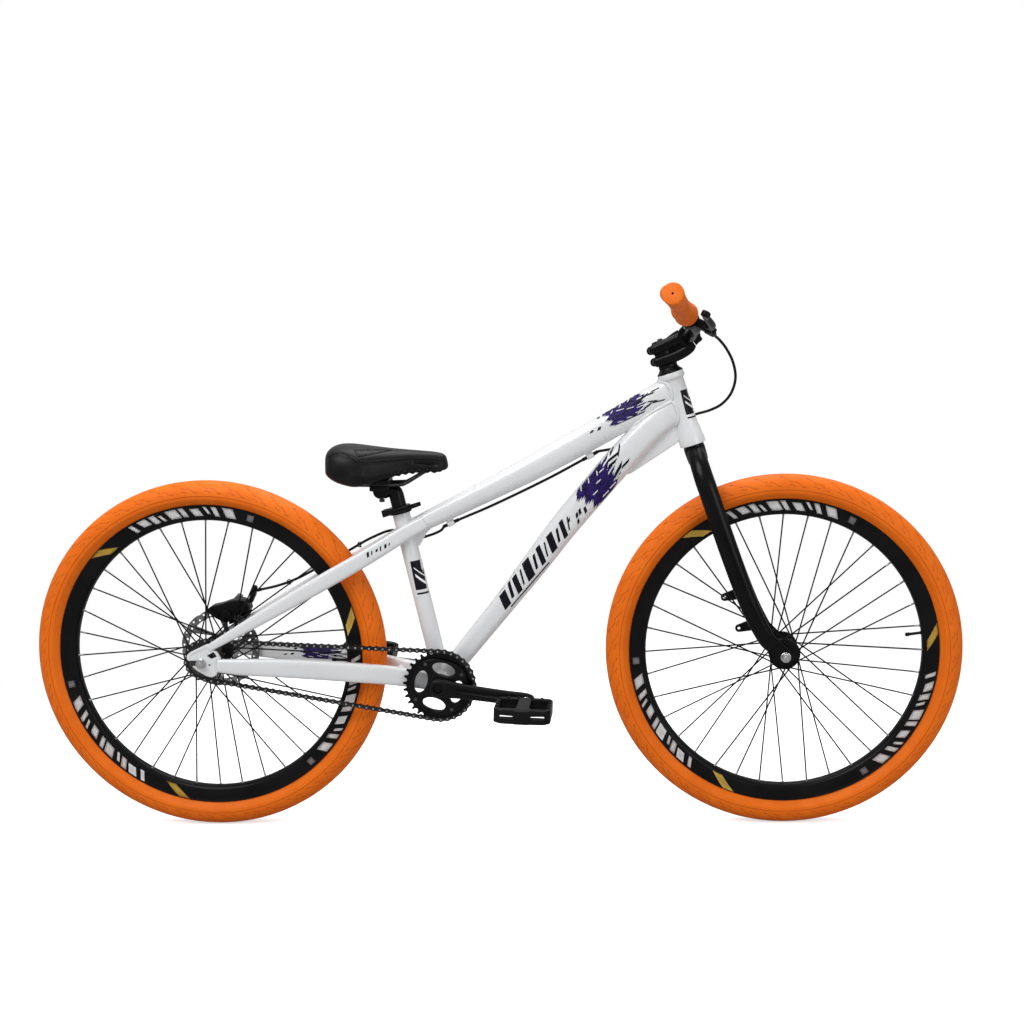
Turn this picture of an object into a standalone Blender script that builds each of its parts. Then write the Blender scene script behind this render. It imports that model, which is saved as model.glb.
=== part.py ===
"""Freeride bicycle with a rigid fork, one chainring and one cable disc brake at the rear.

Metres, +Z up, +X forwards, -Y is the drive side. The origin is on the ground, midway between the axles.
Side-view places are (x, z) pairs with x measured forwards from the rear axle.
"""

import math

import bmesh
import bpy
from mathutils import Matrix, Vector

for old in list(bpy.data.objects):
    bpy.data.objects.remove(old, do_unlink=True)

# Fits
GAP = 0.0003
BEARING_GAP = 0.0004
SLIDE_GAP = 0.0004

# Wheels
TYRE_RADIUS = 0.330
TYRE_HALF_WIDTH = 0.0255
TYRE_WALL = 0.0032
TYRE_NECK = 0.002
RIM_EDGE_RADIUS = 0.286
RIM_DEPTH = 0.031
RIM_HALF_WIDTH = 0.0145
RIM_BED_DEPTH = 0.009
RIM_WALL = 0.0018
WHEEL_SEGMENTS = 40
SPOKES_PER_SIDE = 18
SPOKE_CROSSES = 3
SPOKE_RADIUS = 0.0011
SPOKE_SIDES = 4
SPOKE_STAGGER = 0.0015
FLANGE_RADIUS = 0.029
FLANGE_HOLE_RADIUS = 0.0255
FLANGE_THICKNESS = 0.0044
HUB_BARREL_RADIUS = 0.0165
AXLE_RADIUS = 0.005
NUT_RADIUS = 0.0088
NUT_LENGTH = 0.0075
WASHER_RADIUS = 0.0095
WASHER_THICKNESS = 0.0016
VALVE_RADIUS = 0.0026
VALVE_LENGTH = 0.030
FRONT_VALVE_ANGLE = math.radians(7)
REAR_VALVE_ANGLE = math.radians(-3)

# Frame layout in the side view
WHEELBASE = 1.071
DRAWN_WHEELBASE = 1.071
DRAWN_AXLE_HEIGHT = 0.330
DRAWN_BB_HEIGHT = 0.2785
FRONT_REGION = 0.860
AXLE_HEIGHT = TYRE_RADIUS
HEAD_ANGLE = math.radians(72.7)
HEAD_BOTTOM = (0.9065, 0.716)
HEAD_LENGTH = 0.1365
SEAT_ANGLE = math.radians(77.9)
SEAT_TUBE_LENGTH = 0.3345
FRONT_OLD = 0.100
REAR_OLD = 0.135
DROPOUT_THICKNESS = 0.006

# Drive
LINK_PITCH = 0.0127
LINKS = 94
RING_TEETH = 32
COG_TEETH = 18
CHAIN_LINE = 0.047
BB_DROP = 0.0515
CRANK_LENGTH = 0.165
CRANK_SLOPE = math.radians(-7.7)
ROLLER_RADIUS = 0.0037
ROLLER_SIDES = 4
ROLLER_OVERLAP = 0.0003
PLATE_HALF_HEIGHT = 0.0042
PLATE_INNER_FACE = 0.0021
INNER_PLATE_FACE = 0.0031
OUTER_PLATE_FACE = 0.0044
TOOTH_HALF_THICKNESS = 0.0014

# Tube sections
HEAD_TUBE_RADIUS = 0.0205
HEAD_RING_RADIUS = 0.0243
HEAD_BORE = 0.0172
STEERER_RADIUS = 0.0143
SEAT_TUBE_RADIUS = 0.0159
SEATPOST_RADIUS = 0.0136
BB_SHELL_RADIUS = 0.0205
BB_SHELL_HALF = 0.034
BB_BORE = 0.0172
CUP_RADIUS = 0.0195
TUBE_WALL = 0.0022
BAR_RADIUS = 0.0111
BAR_WALL = 0.0022
BAR_SIDES = 10
TUBE_SIDES = 12


def rear_centre_distance():
    """The chainstay length at which a closed chain of whole links runs straight between both sprockets."""
    loose = (LINKS - (RING_TEETH + COG_TEETH) / 2) * LINK_PITCH / 2
    lift = ((RING_TEETH - COG_TEETH) / (2 * math.pi)) ** 2 * LINK_PITCH / 2
    return loose - lift * LINK_PITCH / loose


BB_HEIGHT = AXLE_HEIGHT - BB_DROP
BB_X = math.sqrt(rear_centre_distance() ** 2 - BB_DROP**2)


def place(x, y, z):
    """A point from its distance ahead of the rear axle, its side and its height."""
    return Vector((x - WHEELBASE / 2, y, z))


def drawn(x, y, z):
    """A place in the tables, which are drawn for one wheelbase and one wheel size.

    Heights follow the axles. From the head tube forwards all follows the front axle, and tubes stretch.
    """
    share = min(max((x - BB_X) / (FRONT_REGION - BB_X), 0), 1)
    return place(x + (WHEELBASE - DRAWN_WHEELBASE) * share, y, z + AXLE_HEIGHT - DRAWN_AXLE_HEIGHT)


REAR_AXLE = place(0, 0, AXLE_HEIGHT)
FRONT_AXLE = place(WHEELBASE, 0, AXLE_HEIGHT)
BOTTOM_BRACKET = place(BB_X, 0, BB_HEIGHT)
HEAD_UP = Vector((-math.cos(HEAD_ANGLE), 0, math.sin(HEAD_ANGLE)))
HEAD_AHEAD = Vector((math.sin(HEAD_ANGLE), 0, math.cos(HEAD_ANGLE)))
HEAD_FOOT = drawn(HEAD_BOTTOM[0], 0, HEAD_BOTTOM[1])
SEAT_UP = Vector((-math.cos(SEAT_ANGLE), 0, math.sin(SEAT_ANGLE)))
SEAT_AHEAD = Vector((math.sin(SEAT_ANGLE), 0, math.cos(SEAT_ANGLE)))
SIDE = Vector((0, 1, 0))

PARTS = bpy.data.collections.new("freeride_bicycle")
CUTTERS = bpy.data.collections.new("cutters")
for group in (PARTS, CUTTERS):
    bpy.context.scene.collection.children.link(group)
CUTTERS.hide_render = True


def on_head(up, ahead=0.0, side=0.0):
    """A point along the steering axis from the head tube's foot, ahead of it, and to a side."""
    return HEAD_FOOT + HEAD_UP * up + HEAD_AHEAD * ahead + SIDE * side


def on_seat(up, ahead=0.0, side=0.0):
    """A point along the seat tube's axis from the bottom bracket."""
    return BOTTOM_BRACKET + SEAT_UP * up + SEAT_AHEAD * ahead + SIDE * side


def material(name, colour, roughness, metallic):
    made = bpy.data.materials.new(name)
    made.use_nodes = True
    shader = made.node_tree.nodes["Principled BSDF"]
    shader.inputs["Base Color"].default_value = (*colour, 1.0)
    shader.inputs["Roughness"].default_value = roughness
    shader.inputs["Metallic"].default_value = metallic
    made.diffuse_color = (*colour, 1.0)
    return made


WHITE = material("white_paint", (0.86, 0.86, 0.86), 0.25, 0.0)
BLACK = material("black_paint", (0.012, 0.012, 0.013), 0.35, 0.2)
PLASTIC = material("black_plastic", (0.02, 0.02, 0.02), 0.55, 0.0)
ORANGE = material("orange_rubber", (0.95, 0.17, 0.006), 0.6, 0.0)
STEEL = material("bright_steel", (0.62, 0.62, 0.62), 0.28, 1.0)
DARK_STEEL = material("dark_steel", (0.05, 0.05, 0.055), 0.4, 0.9)
VINYL = material("black_vinyl", (0.018, 0.018, 0.019), 0.6, 0.0)


def finish(name, mesh, paint, hidden=False):
    obj = bpy.data.objects.new(name, mesh)
    mesh.materials.clear()
    mesh.materials.append(paint)
    (CUTTERS if hidden else PARTS).objects.link(obj)
    if hidden:
        obj.hide_render = True
        obj.display_type = "WIRE"
    return obj


def from_bmesh(name, bm, paint, hidden=False):
    bm.normal_update()
    bmesh.ops.recalc_face_normals(bm, faces=bm.faces)
    mesh = bpy.data.meshes.new(name)
    bm.to_mesh(mesh)
    bm.free()
    return finish(name, mesh, paint, hidden)


def combine(name, target, others, operation):
    for index, other in enumerate(others):
        modifier = target.modifiers.new(f"{operation.lower()}_{index}", "BOOLEAN")
        modifier.operation = operation
        modifier.solver = "EXACT"
        modifier.object = other
    return target


def cut(target, *cutters):
    return combine("cut", target, cutters, "DIFFERENCE")


def weld(target, *pieces):
    return combine("weld", target, pieces, "UNION")


def basis(along, side=SIDE):
    """Rotation whose Z is the given direction and whose Y is as near to the side axis as can be."""
    up = along.normalized()
    if abs(up.dot(side)) > 0.999:
        side = Vector((0, 0, 1))
    across = (side - up * side.dot(up)).normalized()
    return Matrix((across.cross(up), across, up)).transposed()


def turned(name, profile, origin, along, paint, hidden=False, steps=TUBE_SIDES):
    """A profile of (radius, height) pairs, outer side first and downwards, swept round an axis by a Screw."""
    mesh = bpy.data.meshes.new(name)
    points = [(radius, 0.0, height) for radius, height in profile]
    closed = min(radius for radius, _ in profile) > 0
    edges = [(i, i + 1) for i in range(len(points) - 1)]
    if closed:
        edges.append((len(points) - 1, 0))
    mesh.from_pydata(points, edges, [])
    obj = finish(name, mesh, paint, hidden)
    obj.matrix_world = Matrix.Translation(origin) @ basis(along).to_4x4()
    screw = obj.modifiers.new("turn", "SCREW")
    screw.axis = "Z"
    screw.steps = steps
    screw.render_steps = steps
    screw.use_merge_vertices = True
    screw.merge_threshold = 0.00001
    return obj


def rod(name, start, end, radius, paint, hidden=False, sides=12):
    """A plain round bar between two points."""
    along = end - start
    bm = bmesh.new()
    bmesh.ops.create_cone(
        bm, cap_ends=True, segments=sides, radius1=radius, radius2=radius, depth=along.length
    )
    bm.transform(Matrix.Translation((start + end) / 2) @ basis(along).to_4x4())
    return from_bmesh(name, bm, paint, hidden)


def block(name, centre, size, paint, hidden=False, turn=None, bevel=0.0):
    """A box with its edges rounded over."""
    bm = bmesh.new()
    bmesh.ops.create_cube(bm, size=1.0)
    bmesh.ops.scale(bm, vec=size, verts=bm.verts)
    if bevel:
        bmesh.ops.bevel(bm, geom=bm.edges[:], offset=bevel, segments=1, affect="EDGES")
    spin = turn.to_4x4() if turn else Matrix.Identity(4)
    bm.transform(Matrix.Translation(centre) @ spin)
    return from_bmesh(name, bm, paint, hidden)


def superellipse(centre, across, up, half_width, half_height, power, sides):
    ring = []
    for i in range(sides):
        angle = 2 * math.pi * (i + 0.5) / sides
        c, s = math.cos(angle), math.sin(angle)
        u = math.copysign(abs(c) ** (2 / power), c) * half_width
        v = math.copysign(abs(s) ** (2 / power), s) * half_height
        ring.append(centre + across * u + up * v)
    return ring


def loft(name, rings, paint, hidden=False, closed=False):
    """Skin bridged over a row of rings with equal counts: capped at both ends, or joined last to first."""
    bm = bmesh.new()
    loops = []
    for ring in rings:
        verts = [bm.verts.new(point) for point in ring]
        loops.append([bm.edges.new(pair) for pair in zip(verts, verts[1:] + verts[:1])])
    for first, second in zip(loops, loops[1:]):
        bmesh.ops.bridge_loops(bm, edges=first + second)
    if closed:
        bmesh.ops.bridge_loops(bm, edges=loops[-1] + loops[0])
    else:
        bmesh.ops.edgeloop_fill(bm, edges=loops[0])
        bmesh.ops.edgeloop_fill(bm, edges=loops[-1])
    return from_bmesh(name, bm, paint, hidden)


def tube_rings(stations, power, sides, grow):
    """Rings along (point, half width, half height) stations, each square to the way the tube runs there."""
    rings = []
    for i, (point, half_width, half_height) in enumerate(stations):
        before = stations[max(i - 1, 0)][0]
        after = stations[min(i + 1, len(stations) - 1)][0]
        turn = basis(after - before)
        across, up = turn.col[1], turn.col[0]
        rings.append(
            superellipse(point, across, up, half_width + grow, half_height + grow, power, sides)
        )
    return rings


def tube(name, stations, paint, power=2.0, wall=None, sides=TUBE_SIDES, grow=0.0, hidden=False):
    rings = tube_rings(stations, power, sides, grow)
    if wall is None:
        return loft(name, rings, paint, hidden)
    inner = tube_rings(stations, power, sides, -wall)
    return loft(name, rings + inner[::-1], paint, hidden, closed=True)


def flat(name, outline, side_from, side_to, paint, hidden=False, holes=()):
    """A plate cut to a side-view outline: a 2D curve, filled and extruded, then made a mesh."""
    curve = bpy.data.curves.new(name, "CURVE")
    curve.dimensions = "2D"
    curve.fill_mode = "BOTH"
    curve.extrude = abs(side_to - side_from) / 2
    for loop in (outline, *holes):
        spline = curve.splines.new("POLY")
        spline.points.add(len(loop) - 1)
        spline.use_cyclic_u = True
        for target, point in zip(spline.points, loop):
            target.co = (point.x, point.z, 0.0, 1.0)
    sketch = bpy.data.objects.new(name + "_sketch", curve)
    bpy.context.scene.collection.objects.link(sketch)
    graph = bpy.context.evaluated_depsgraph_get()
    mesh = bpy.data.meshes.new_from_object(sketch.evaluated_get(graph))
    bpy.data.objects.remove(sketch, do_unlink=True)
    bm = bmesh.new()
    bm.from_mesh(mesh)
    bmesh.ops.remove_doubles(bm, verts=bm.verts, dist=0.000001)
    upright = Matrix(((1, 0, 0, 0), (0, 0, -1, (side_from + side_to) / 2), (0, 1, 0, 0), (0, 0, 0, 1)))
    bm.transform(upright)
    return from_bmesh(name, bm, paint, hidden)


def arc(centre, radius, start, end, count):
    """Points of a side-view arc, with angles from +X towards +Z."""
    return [
        centre + Vector((math.cos(angle), 0, math.sin(angle))) * radius
        for angle in (start + (end - start) * i / (count - 1) for i in range(count))
    ]


def circle(centre, radius, count):
    return arc(centre, radius, 0, 2 * math.pi * (count - 1) / count, count)


def side_points(pairs):
    return [drawn(x, 0, z) for x, z in pairs]


# Sprockets and chain
def sprocket_radius(teeth):
    return LINK_PITCH / (2 * math.sin(math.pi / teeth))


def chain_path():
    """The pins' places round both sprockets, evenly spaced, with the direction of travel at each."""
    rear, front = REAR_AXLE, BOTTOM_BRACKET
    small, large = sprocket_radius(COG_TEETH), sprocket_radius(RING_TEETH)
    between = front - rear
    heading = math.atan2(between.z, between.x)
    lean = math.asin((large - small) / between.length)
    top, bottom = heading + math.pi / 2 + lean, heading - math.pi / 2 - lean
    run = math.sqrt(between.length**2 - (large - small) ** 2)
    front_wrap = large * (top - bottom)
    rear_wrap = small * (2 * math.pi - (top - bottom))
    total = 2 * run + front_wrap + rear_wrap

    def at(distance):
        distance %= total
        start, end = arc(rear, small, top, top, 2)[0], arc(front, large, top, top, 2)[0]
        if distance < run:
            return start.lerp(end, distance / run)
        distance -= run
        if distance < front_wrap:
            angle = top - distance / large
            return front + Vector((math.cos(angle), 0, math.sin(angle))) * large
        distance -= front_wrap
        start, end = arc(front, large, bottom, bottom, 2)[0], arc(rear, small, bottom, bottom, 2)[0]
        if distance < run:
            return start.lerp(end, distance / run)
        angle = bottom - (distance - run) / small
        return rear + Vector((math.cos(angle), 0, math.sin(angle))) * small

    return at, total


CHAIN_AT, CHAIN_LENGTH = chain_path()


def tooth_phase(centre, mean_angle):
    """The angle of the chain pin nearest to the middle of the wrap, where a gap between teeth must lie."""
    pins = [CHAIN_AT(CHAIN_LENGTH * i / LINKS) - centre for i in range(LINKS)]
    towards = Vector((math.cos(mean_angle), 0, math.sin(mean_angle)))
    nearest = max(pins, key=lambda pin: pin.normalized().dot(towards) - abs(pin.length - 0.05))
    return math.atan2(nearest.z, nearest.x)


def sprocket_outline(centre, teeth, phase):
    """Teeth as trapezoids that stand between the rollers."""
    radius = sprocket_radius(teeth)
    root = radius - ROLLER_RADIUS - GAP
    tip = radius + ROLLER_RADIUS * 0.75
    step = 2 * math.pi / teeth
    foot = (LINK_PITCH / 2 - ROLLER_RADIUS * 0.62) / radius
    head = 0.0009 / radius
    outline = []
    for i in range(teeth):
        middle = phase + (i + 0.5) * step
        for angle, reach in ((-foot, root), (-head, tip), (head, tip), (foot, root)):
            turn = middle + angle
            outline.append(centre + Vector((math.cos(turn), 0, math.sin(turn))) * reach)
    return outline


def chain_band(name, sign, hidden):
    """One side of the chain: a closed band, bent midway between pins, thicker at the outer plates."""
    rings = []
    step = CHAIN_LENGTH / LINKS
    near = -CHAIN_LINE + sign * PLATE_INNER_FACE
    for link in range(LINKS):
        start, end = CHAIN_AT(link * step), CHAIN_AT((link + 1) * step)
        travel = (end - start).normalized()
        out = Vector((-travel.z, 0, travel.x)) * PLATE_HALF_HEIGHT
        point = (start + end) / 2
        far = -CHAIN_LINE + sign * (OUTER_PLATE_FACE if link % 2 else INNER_PLATE_FACE)
        edge = (out + SIDE * near, out + SIDE * far, -out + SIDE * far, -out + SIDE * near)
        rings.append([point + corner for corner in edge])
    return loft(name, rings, DARK_STEEL, hidden, closed=True)


def chain_rollers(name):
    bm = bmesh.new()
    reach = PLATE_INNER_FACE + ROLLER_OVERLAP
    for link in range(LINKS):
        pin = CHAIN_AT(link * CHAIN_LENGTH / LINKS)
        travel = CHAIN_AT((link + 0.5) * CHAIN_LENGTH / LINKS) - CHAIN_AT((link - 0.5) * CHAIN_LENGTH / LINKS)
        spot = Matrix.Translation(pin - SIDE * CHAIN_LINE) @ basis(SIDE, travel).to_4x4()
        bmesh.ops.create_cone(
            bm,
            cap_ends=True,
            segments=ROLLER_SIDES,
            radius1=ROLLER_RADIUS,
            radius2=ROLLER_RADIUS,
            depth=2 * reach,
            matrix=spot,
        )
    return from_bmesh(name, bm, DARK_STEEL, hidden=True)


def make_chain():
    chain = chain_band("chain", 1, hidden=False)
    return weld(chain, chain_rollers("chain_rollers"), chain_band("chain_near_side", -1, hidden=True))


# Wheels
def wheel_ring(name, profile, centre, paint, hidden=False):
    return turned(name, profile, centre, -SIDE, paint, hidden, steps=WHEEL_SEGMENTS)


def make_rim(name, centre, valve_angle):
    """Box-section rim with its tyre bed, and the valve that stands through it."""
    inner = RIM_EDGE_RADIUS - RIM_DEPTH
    bed = RIM_EDGE_RADIUS - RIM_BED_DEPTH
    half = RIM_HALF_WIDTH
    lip = half - RIM_WALL
    profile = (
        (RIM_EDGE_RADIUS, half),
        (inner + 0.008, half * 0.90),
        (inner, 0.0),
        (inner + 0.008, -half * 0.90),
        (RIM_EDGE_RADIUS, -half),
        (RIM_EDGE_RADIUS, -lip),
        (bed, -lip),
        (bed, lip),
        (RIM_EDGE_RADIUS, lip),
    )
    rim = wheel_ring(name, profile[::-1], centre, BLACK)
    return weld(rim, valve_stem(name + "_valve", centre, valve_angle))


def make_tyre(name, centre):
    """A carcass with its beads inside the rim's lips, round outside and open towards the rim."""
    lip = RIM_HALF_WIDTH - RIM_WALL - GAP
    bead = RIM_EDGE_RADIUS - RIM_BED_DEPTH + GAP
    middle = TYRE_RADIUS - TYRE_HALF_WIDTH
    outer = [
        (middle + TYRE_HALF_WIDTH * math.sin(angle), TYRE_HALF_WIDTH * math.cos(angle))
        for angle in (math.radians(a) for a in (-18, 25, 60, 90, 120, 155, 198))
    ]
    hollow = TYRE_HALF_WIDTH - TYRE_WALL
    neck = RIM_EDGE_RADIUS + TYRE_NECK
    inner = [
        (middle + hollow * math.sin(angle), hollow * math.cos(angle))
        for angle in (math.radians(a) for a in (185, 90, -5))
    ]
    inner = [(neck, -lip + TYRE_WALL), *inner, (neck, lip - TYRE_WALL)]
    profile = (
        [(bead, lip), (RIM_EDGE_RADIUS + GAP, lip)]
        + outer
        + [(RIM_EDGE_RADIUS + GAP, -lip), (bead, -lip), (bead, -lip + TYRE_WALL)]
        + inner
        + [(bead, lip - TYRE_WALL)]
    )
    return wheel_ring(name, profile, centre, ORANGE)


def spoke_set(name, centre, flanges, lean):
    """The spokes that lean one way, from both flanges to the rim's inner face."""
    bm = bmesh.new()
    step = 2 * math.pi / SPOKES_PER_SIDE
    end_radius = RIM_EDGE_RADIUS - RIM_DEPTH + 0.002
    for index, flange in enumerate(flanges):
        half_step = index * step / 2
        for spoke in range(0, SPOKES_PER_SIDE, 2):
            shift = 0 if lean > 0 else step
            hole = spoke * step + half_step + shift
            target = hole + lean * SPOKE_CROSSES * step
            side = flange + lean * SPOKE_STAGGER
            start = centre + Vector((math.cos(hole), 0, math.sin(hole))) * FLANGE_HOLE_RADIUS
            end = centre + Vector((math.cos(target), 0, math.sin(target))) * end_radius
            start += SIDE * side
            end += SIDE * (math.copysign(0.0025, flange) + lean * SPOKE_STAGGER * 0.4)
            along = end - start
            spot = Matrix.Translation((start + end) / 2) @ basis(along).to_4x4()
            bmesh.ops.create_cone(
                bm,
                cap_ends=True,
                segments=SPOKE_SIDES,
                radius1=SPOKE_RADIUS,
                radius2=SPOKE_RADIUS,
                depth=along.length,
                matrix=spot,
            )
    return from_bmesh(name, bm, BLACK, hidden=True)


def make_hub(name, centre, near_flange, far_flange, near_end, far_end):
    """Hub shell with two flanges, bored for its axle, and every spoke of the wheel."""
    half = FLANGE_THICKNESS / 2
    barrel = HUB_BARREL_RADIUS
    bore = AXLE_RADIUS + BEARING_GAP
    profile = (
        (0.0125, far_end),
        (0.0125, far_flange + half),
        (FLANGE_RADIUS, far_flange + half),
        (FLANGE_RADIUS, far_flange - half),
        (barrel, far_flange - half * 3),
        (barrel, near_flange + half * 3),
        (FLANGE_RADIUS, near_flange + half),
        (FLANGE_RADIUS, near_flange - half),
        (0.0125, near_flange - half),
        (0.0125, near_end),
        (bore, near_end),
        (bore, far_end),
    )
    hub = turned(name, profile, centre, SIDE, BLACK, steps=14)
    flanges = (near_flange, far_flange)
    weld(
        hub,
        spoke_set(name + "_leading", centre, flanges, 1),
        spoke_set(name + "_trailing", centre, flanges, -1),
    )
    inner, outer = RIM_EDGE_RADIUS - RIM_DEPTH - GAP, RIM_EDGE_RADIUS
    half = RIM_HALF_WIDTH
    ring = ((outer, half), (outer, -half), (inner, -half), (inner, half))
    return cut(hub, wheel_ring(name + "_rim_cope", ring, centre, BLACK, hidden=True))


def valve_stem(name, centre, angle):
    out = Vector((math.cos(angle), 0, math.sin(angle)))
    top = centre + out * (RIM_EDGE_RADIUS - RIM_DEPTH + 0.004)
    profile = (
        (0.0, VALVE_LENGTH),
        (VALVE_RADIUS, VALVE_LENGTH),
        (VALVE_RADIUS, 0.016),
        (VALVE_RADIUS * 1.5, 0.014),
        (VALVE_RADIUS * 1.5, 0.0),
        (0.0, 0.0),
    )
    return turned(name, profile, top, -out, PLASTIC, hidden=True, steps=8)


def make_axle(name, centre, old):
    """Threaded axle with a washer and a nut outside each dropout."""
    seat = old / 2 + DROPOUT_THICKNESS + GAP
    half = (
        (AXLE_RADIUS, seat + WASHER_THICKNESS + NUT_LENGTH + 0.003),
        (AXLE_RADIUS, seat + WASHER_THICKNESS + NUT_LENGTH),
        (NUT_RADIUS, seat + WASHER_THICKNESS + NUT_LENGTH),
        (NUT_RADIUS, seat + WASHER_THICKNESS),
        (WASHER_RADIUS, seat + WASHER_THICKNESS),
        (WASHER_RADIUS, seat),
        (AXLE_RADIUS, seat),
    )
    end = half[0][1]
    other = tuple((radius, -height) for radius, height in half[::-1])
    profile = ((0.0, end), *half, *other, (0.0, -end))
    return turned(name, profile, centre, SIDE, STEEL, steps=10)


ROTOR_RADIUS = 0.0755
ROTOR_BAND = 0.0145
ROTOR_HALF_THICKNESS = 0.0009
ROTOR_SIDE = 0.052
ROTOR_ARMS = 6
ROTOR_HUB_RADIUS = 0.0265
ROTOR_BORE = 0.0131


def make_rotor():
    """Brake disc: a pierced band carried on slanted arms, bored in the middle for the hub's nose."""
    windows = []
    step = 2 * math.pi / ROTOR_ARMS
    for arm in range(ROTOR_ARMS):
        start = arm * step
        inner = arc(REAR_AXLE, ROTOR_HUB_RADIUS, start, start + step * 0.70, 4)
        outer = arc(REAR_AXLE, ROTOR_RADIUS - ROTOR_BAND, start + step * 1.28, start + step * 0.52, 5)
        windows.append(inner + outer)
        for hole in range(2):
            turn = start + step * (hole + 0.5) / 2
            spot = REAR_AXLE + Vector((math.cos(turn), 0, math.sin(turn))) * (
                ROTOR_RADIUS - ROTOR_BAND / 2
            )
            windows.append(circle(spot, 0.0026, 5))
    windows.append(circle(REAR_AXLE, ROTOR_BORE, 14))
    return flat(
        "brake_rotor",
        circle(REAR_AXLE, ROTOR_RADIUS, 40),
        ROTOR_SIDE - ROTOR_HALF_THICKNESS,
        ROTOR_SIDE + ROTOR_HALF_THICKNESS,
        STEEL,
        holes=windows,
    )


COG_BODY_RADIUS = 0.0245


def make_freewheel():
    """Freewheel: a toothed sprocket on a round body, bored to turn on the hub's drive-side nose."""
    phase = tooth_phase(REAR_AXLE, math.pi)
    plate = flat(
        "freewheel",
        sprocket_outline(REAR_AXLE, COG_TEETH, phase),
        -CHAIN_LINE - TOOTH_HALF_THICKNESS,
        -CHAIN_LINE + TOOTH_HALF_THICKNESS,
        DARK_STEEL,
        holes=[circle(REAR_AXLE, 0.0150, 14)],
    )
    profile = (
        (COG_BODY_RADIUS, -0.0375),
        (COG_BODY_RADIUS, -0.0530),
        (0.0131, -0.0530),
        (0.0131, -0.0375),
    )
    body = turned("freewheel_body", profile, REAR_AXLE, SIDE, DARK_STEEL, hidden=True, steps=16)
    return weld(plate, body)


# Frame
HEAD_TOP_RING = 0.012
HEAD_FOOT_RING = 0.034
BEARING_DEPTH = 0.009
BEARING_RADIUS = 0.0205


def head_tube(name, grow=0.0, hidden=False):
    profile = (
        (HEAD_RING_RADIUS + grow, HEAD_LENGTH),
        (HEAD_RING_RADIUS + grow, HEAD_LENGTH - HEAD_TOP_RING + 0.003),
        (HEAD_TUBE_RADIUS + grow, HEAD_LENGTH - HEAD_TOP_RING),
        (HEAD_TUBE_RADIUS + grow, HEAD_FOOT_RING),
        (HEAD_RING_RADIUS - 0.001 + grow, 0.012),
        (HEAD_RING_RADIUS - 0.001 + grow, 0.0),
    )
    if grow:
        closed = ((0.0, HEAD_LENGTH + grow), *profile, (0.0, -grow))
        return turned(name, closed, HEAD_FOOT, HEAD_UP, WHITE, hidden, steps=18)
    bored = profile + (
        (BEARING_RADIUS, 0.0),
        (BEARING_RADIUS, BEARING_DEPTH),
        (HEAD_BORE, BEARING_DEPTH),
        (HEAD_BORE, HEAD_LENGTH - BEARING_DEPTH),
        (BEARING_RADIUS, HEAD_LENGTH - BEARING_DEPTH),
        (BEARING_RADIUS, HEAD_LENGTH),
    )
    return turned(name, bored, HEAD_FOOT, HEAD_UP, WHITE, hidden, steps=18)


SEAT_TUBE_FOOT = 0.012


def seat_tube(name, grow=0.0, hidden=False):
    outer = SEAT_TUBE_RADIUS + grow
    if grow:
        profile = ((0.0, SEAT_TUBE_LENGTH), (outer, SEAT_TUBE_LENGTH), (outer, 0.0), (0.0, 0.0))
    else:
        bore = SEATPOST_RADIUS + SLIDE_GAP
        profile = (
            (outer, SEAT_TUBE_LENGTH),
            (outer, SEAT_TUBE_FOOT),
            (bore, SEAT_TUBE_FOOT),
            (bore, SEAT_TUBE_LENGTH),
        )
    return turned(name, profile, BOTTOM_BRACKET, SEAT_UP, WHITE, hidden, steps=20)


def bb_shell(name, grow=0.0, hidden=False):
    outer = BB_SHELL_RADIUS + grow
    half = BB_SHELL_HALF + grow
    if grow:
        profile = ((0.0, half), (outer, half), (outer, -half), (0.0, -half))
    else:
        profile = ((outer, half), (outer, -half), (BB_BORE, -half), (BB_BORE, half))
    return turned(name, profile, BOTTOM_BRACKET, SIDE, WHITE, hidden, steps=24)


def top_tube(name, grow=0.0, hidden=False, wall=TUBE_WALL):
    """Deep at the head tube and slim at the seat tube, with a slight sag along its length."""
    stations = [
        (drawn(0.877, 0, 0.8190), 0.0185, 0.0262),
        (drawn(0.845, 0, 0.8025), 0.0190, 0.0257),
        (drawn(0.731, 0, 0.7390), 0.0200, 0.0248),
        (drawn(0.622, 0, 0.6810), 0.0195, 0.0228),
        (drawn(0.538, 0, 0.6395), 0.0182, 0.0202),
        (drawn(0.456, 0, 0.6005), 0.0165, 0.0180),
        (drawn(0.374, 0, 0.5620), 0.0150, 0.0152),
    ]
    return tube(name, stations, WHITE, 2.4, None if grow else wall, 12, grow, hidden)


def down_tube(name, grow=0.0, hidden=False, wall=TUBE_WALL):
    """Squarish and bent forwards under the top tube at the head, tapering to the bottom bracket."""
    stations = [
        (drawn(0.884, 0, 0.7855), 0.0182, 0.0240),
        (drawn(0.854, 0, 0.7660), 0.0200, 0.0250),
        (drawn(0.826, 0, 0.7435), 0.0230, 0.0258),
        (drawn(0.772, 0, 0.6875), 0.0240, 0.0268),
        (drawn(0.735, 0, 0.6455), 0.0240, 0.0262),
        (drawn(0.669, 0, 0.5690), 0.0235, 0.0252),
        (drawn(0.612, 0, 0.4960), 0.0225, 0.0235),
        (drawn(0.550, 0, 0.4185), 0.0210, 0.0202),
        (drawn(BB_X + 0.006, 0, DRAWN_BB_HEIGHT + 0.008), 0.0200, 0.0185),
    ]
    return tube(name, stations, WHITE, 3.0, None if grow else wall, 12, grow, hidden)


def stay_stations(rows, sign):
    return [(drawn(x, sign * side, z), width, height) for x, side, z, width, height in rows]


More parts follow.
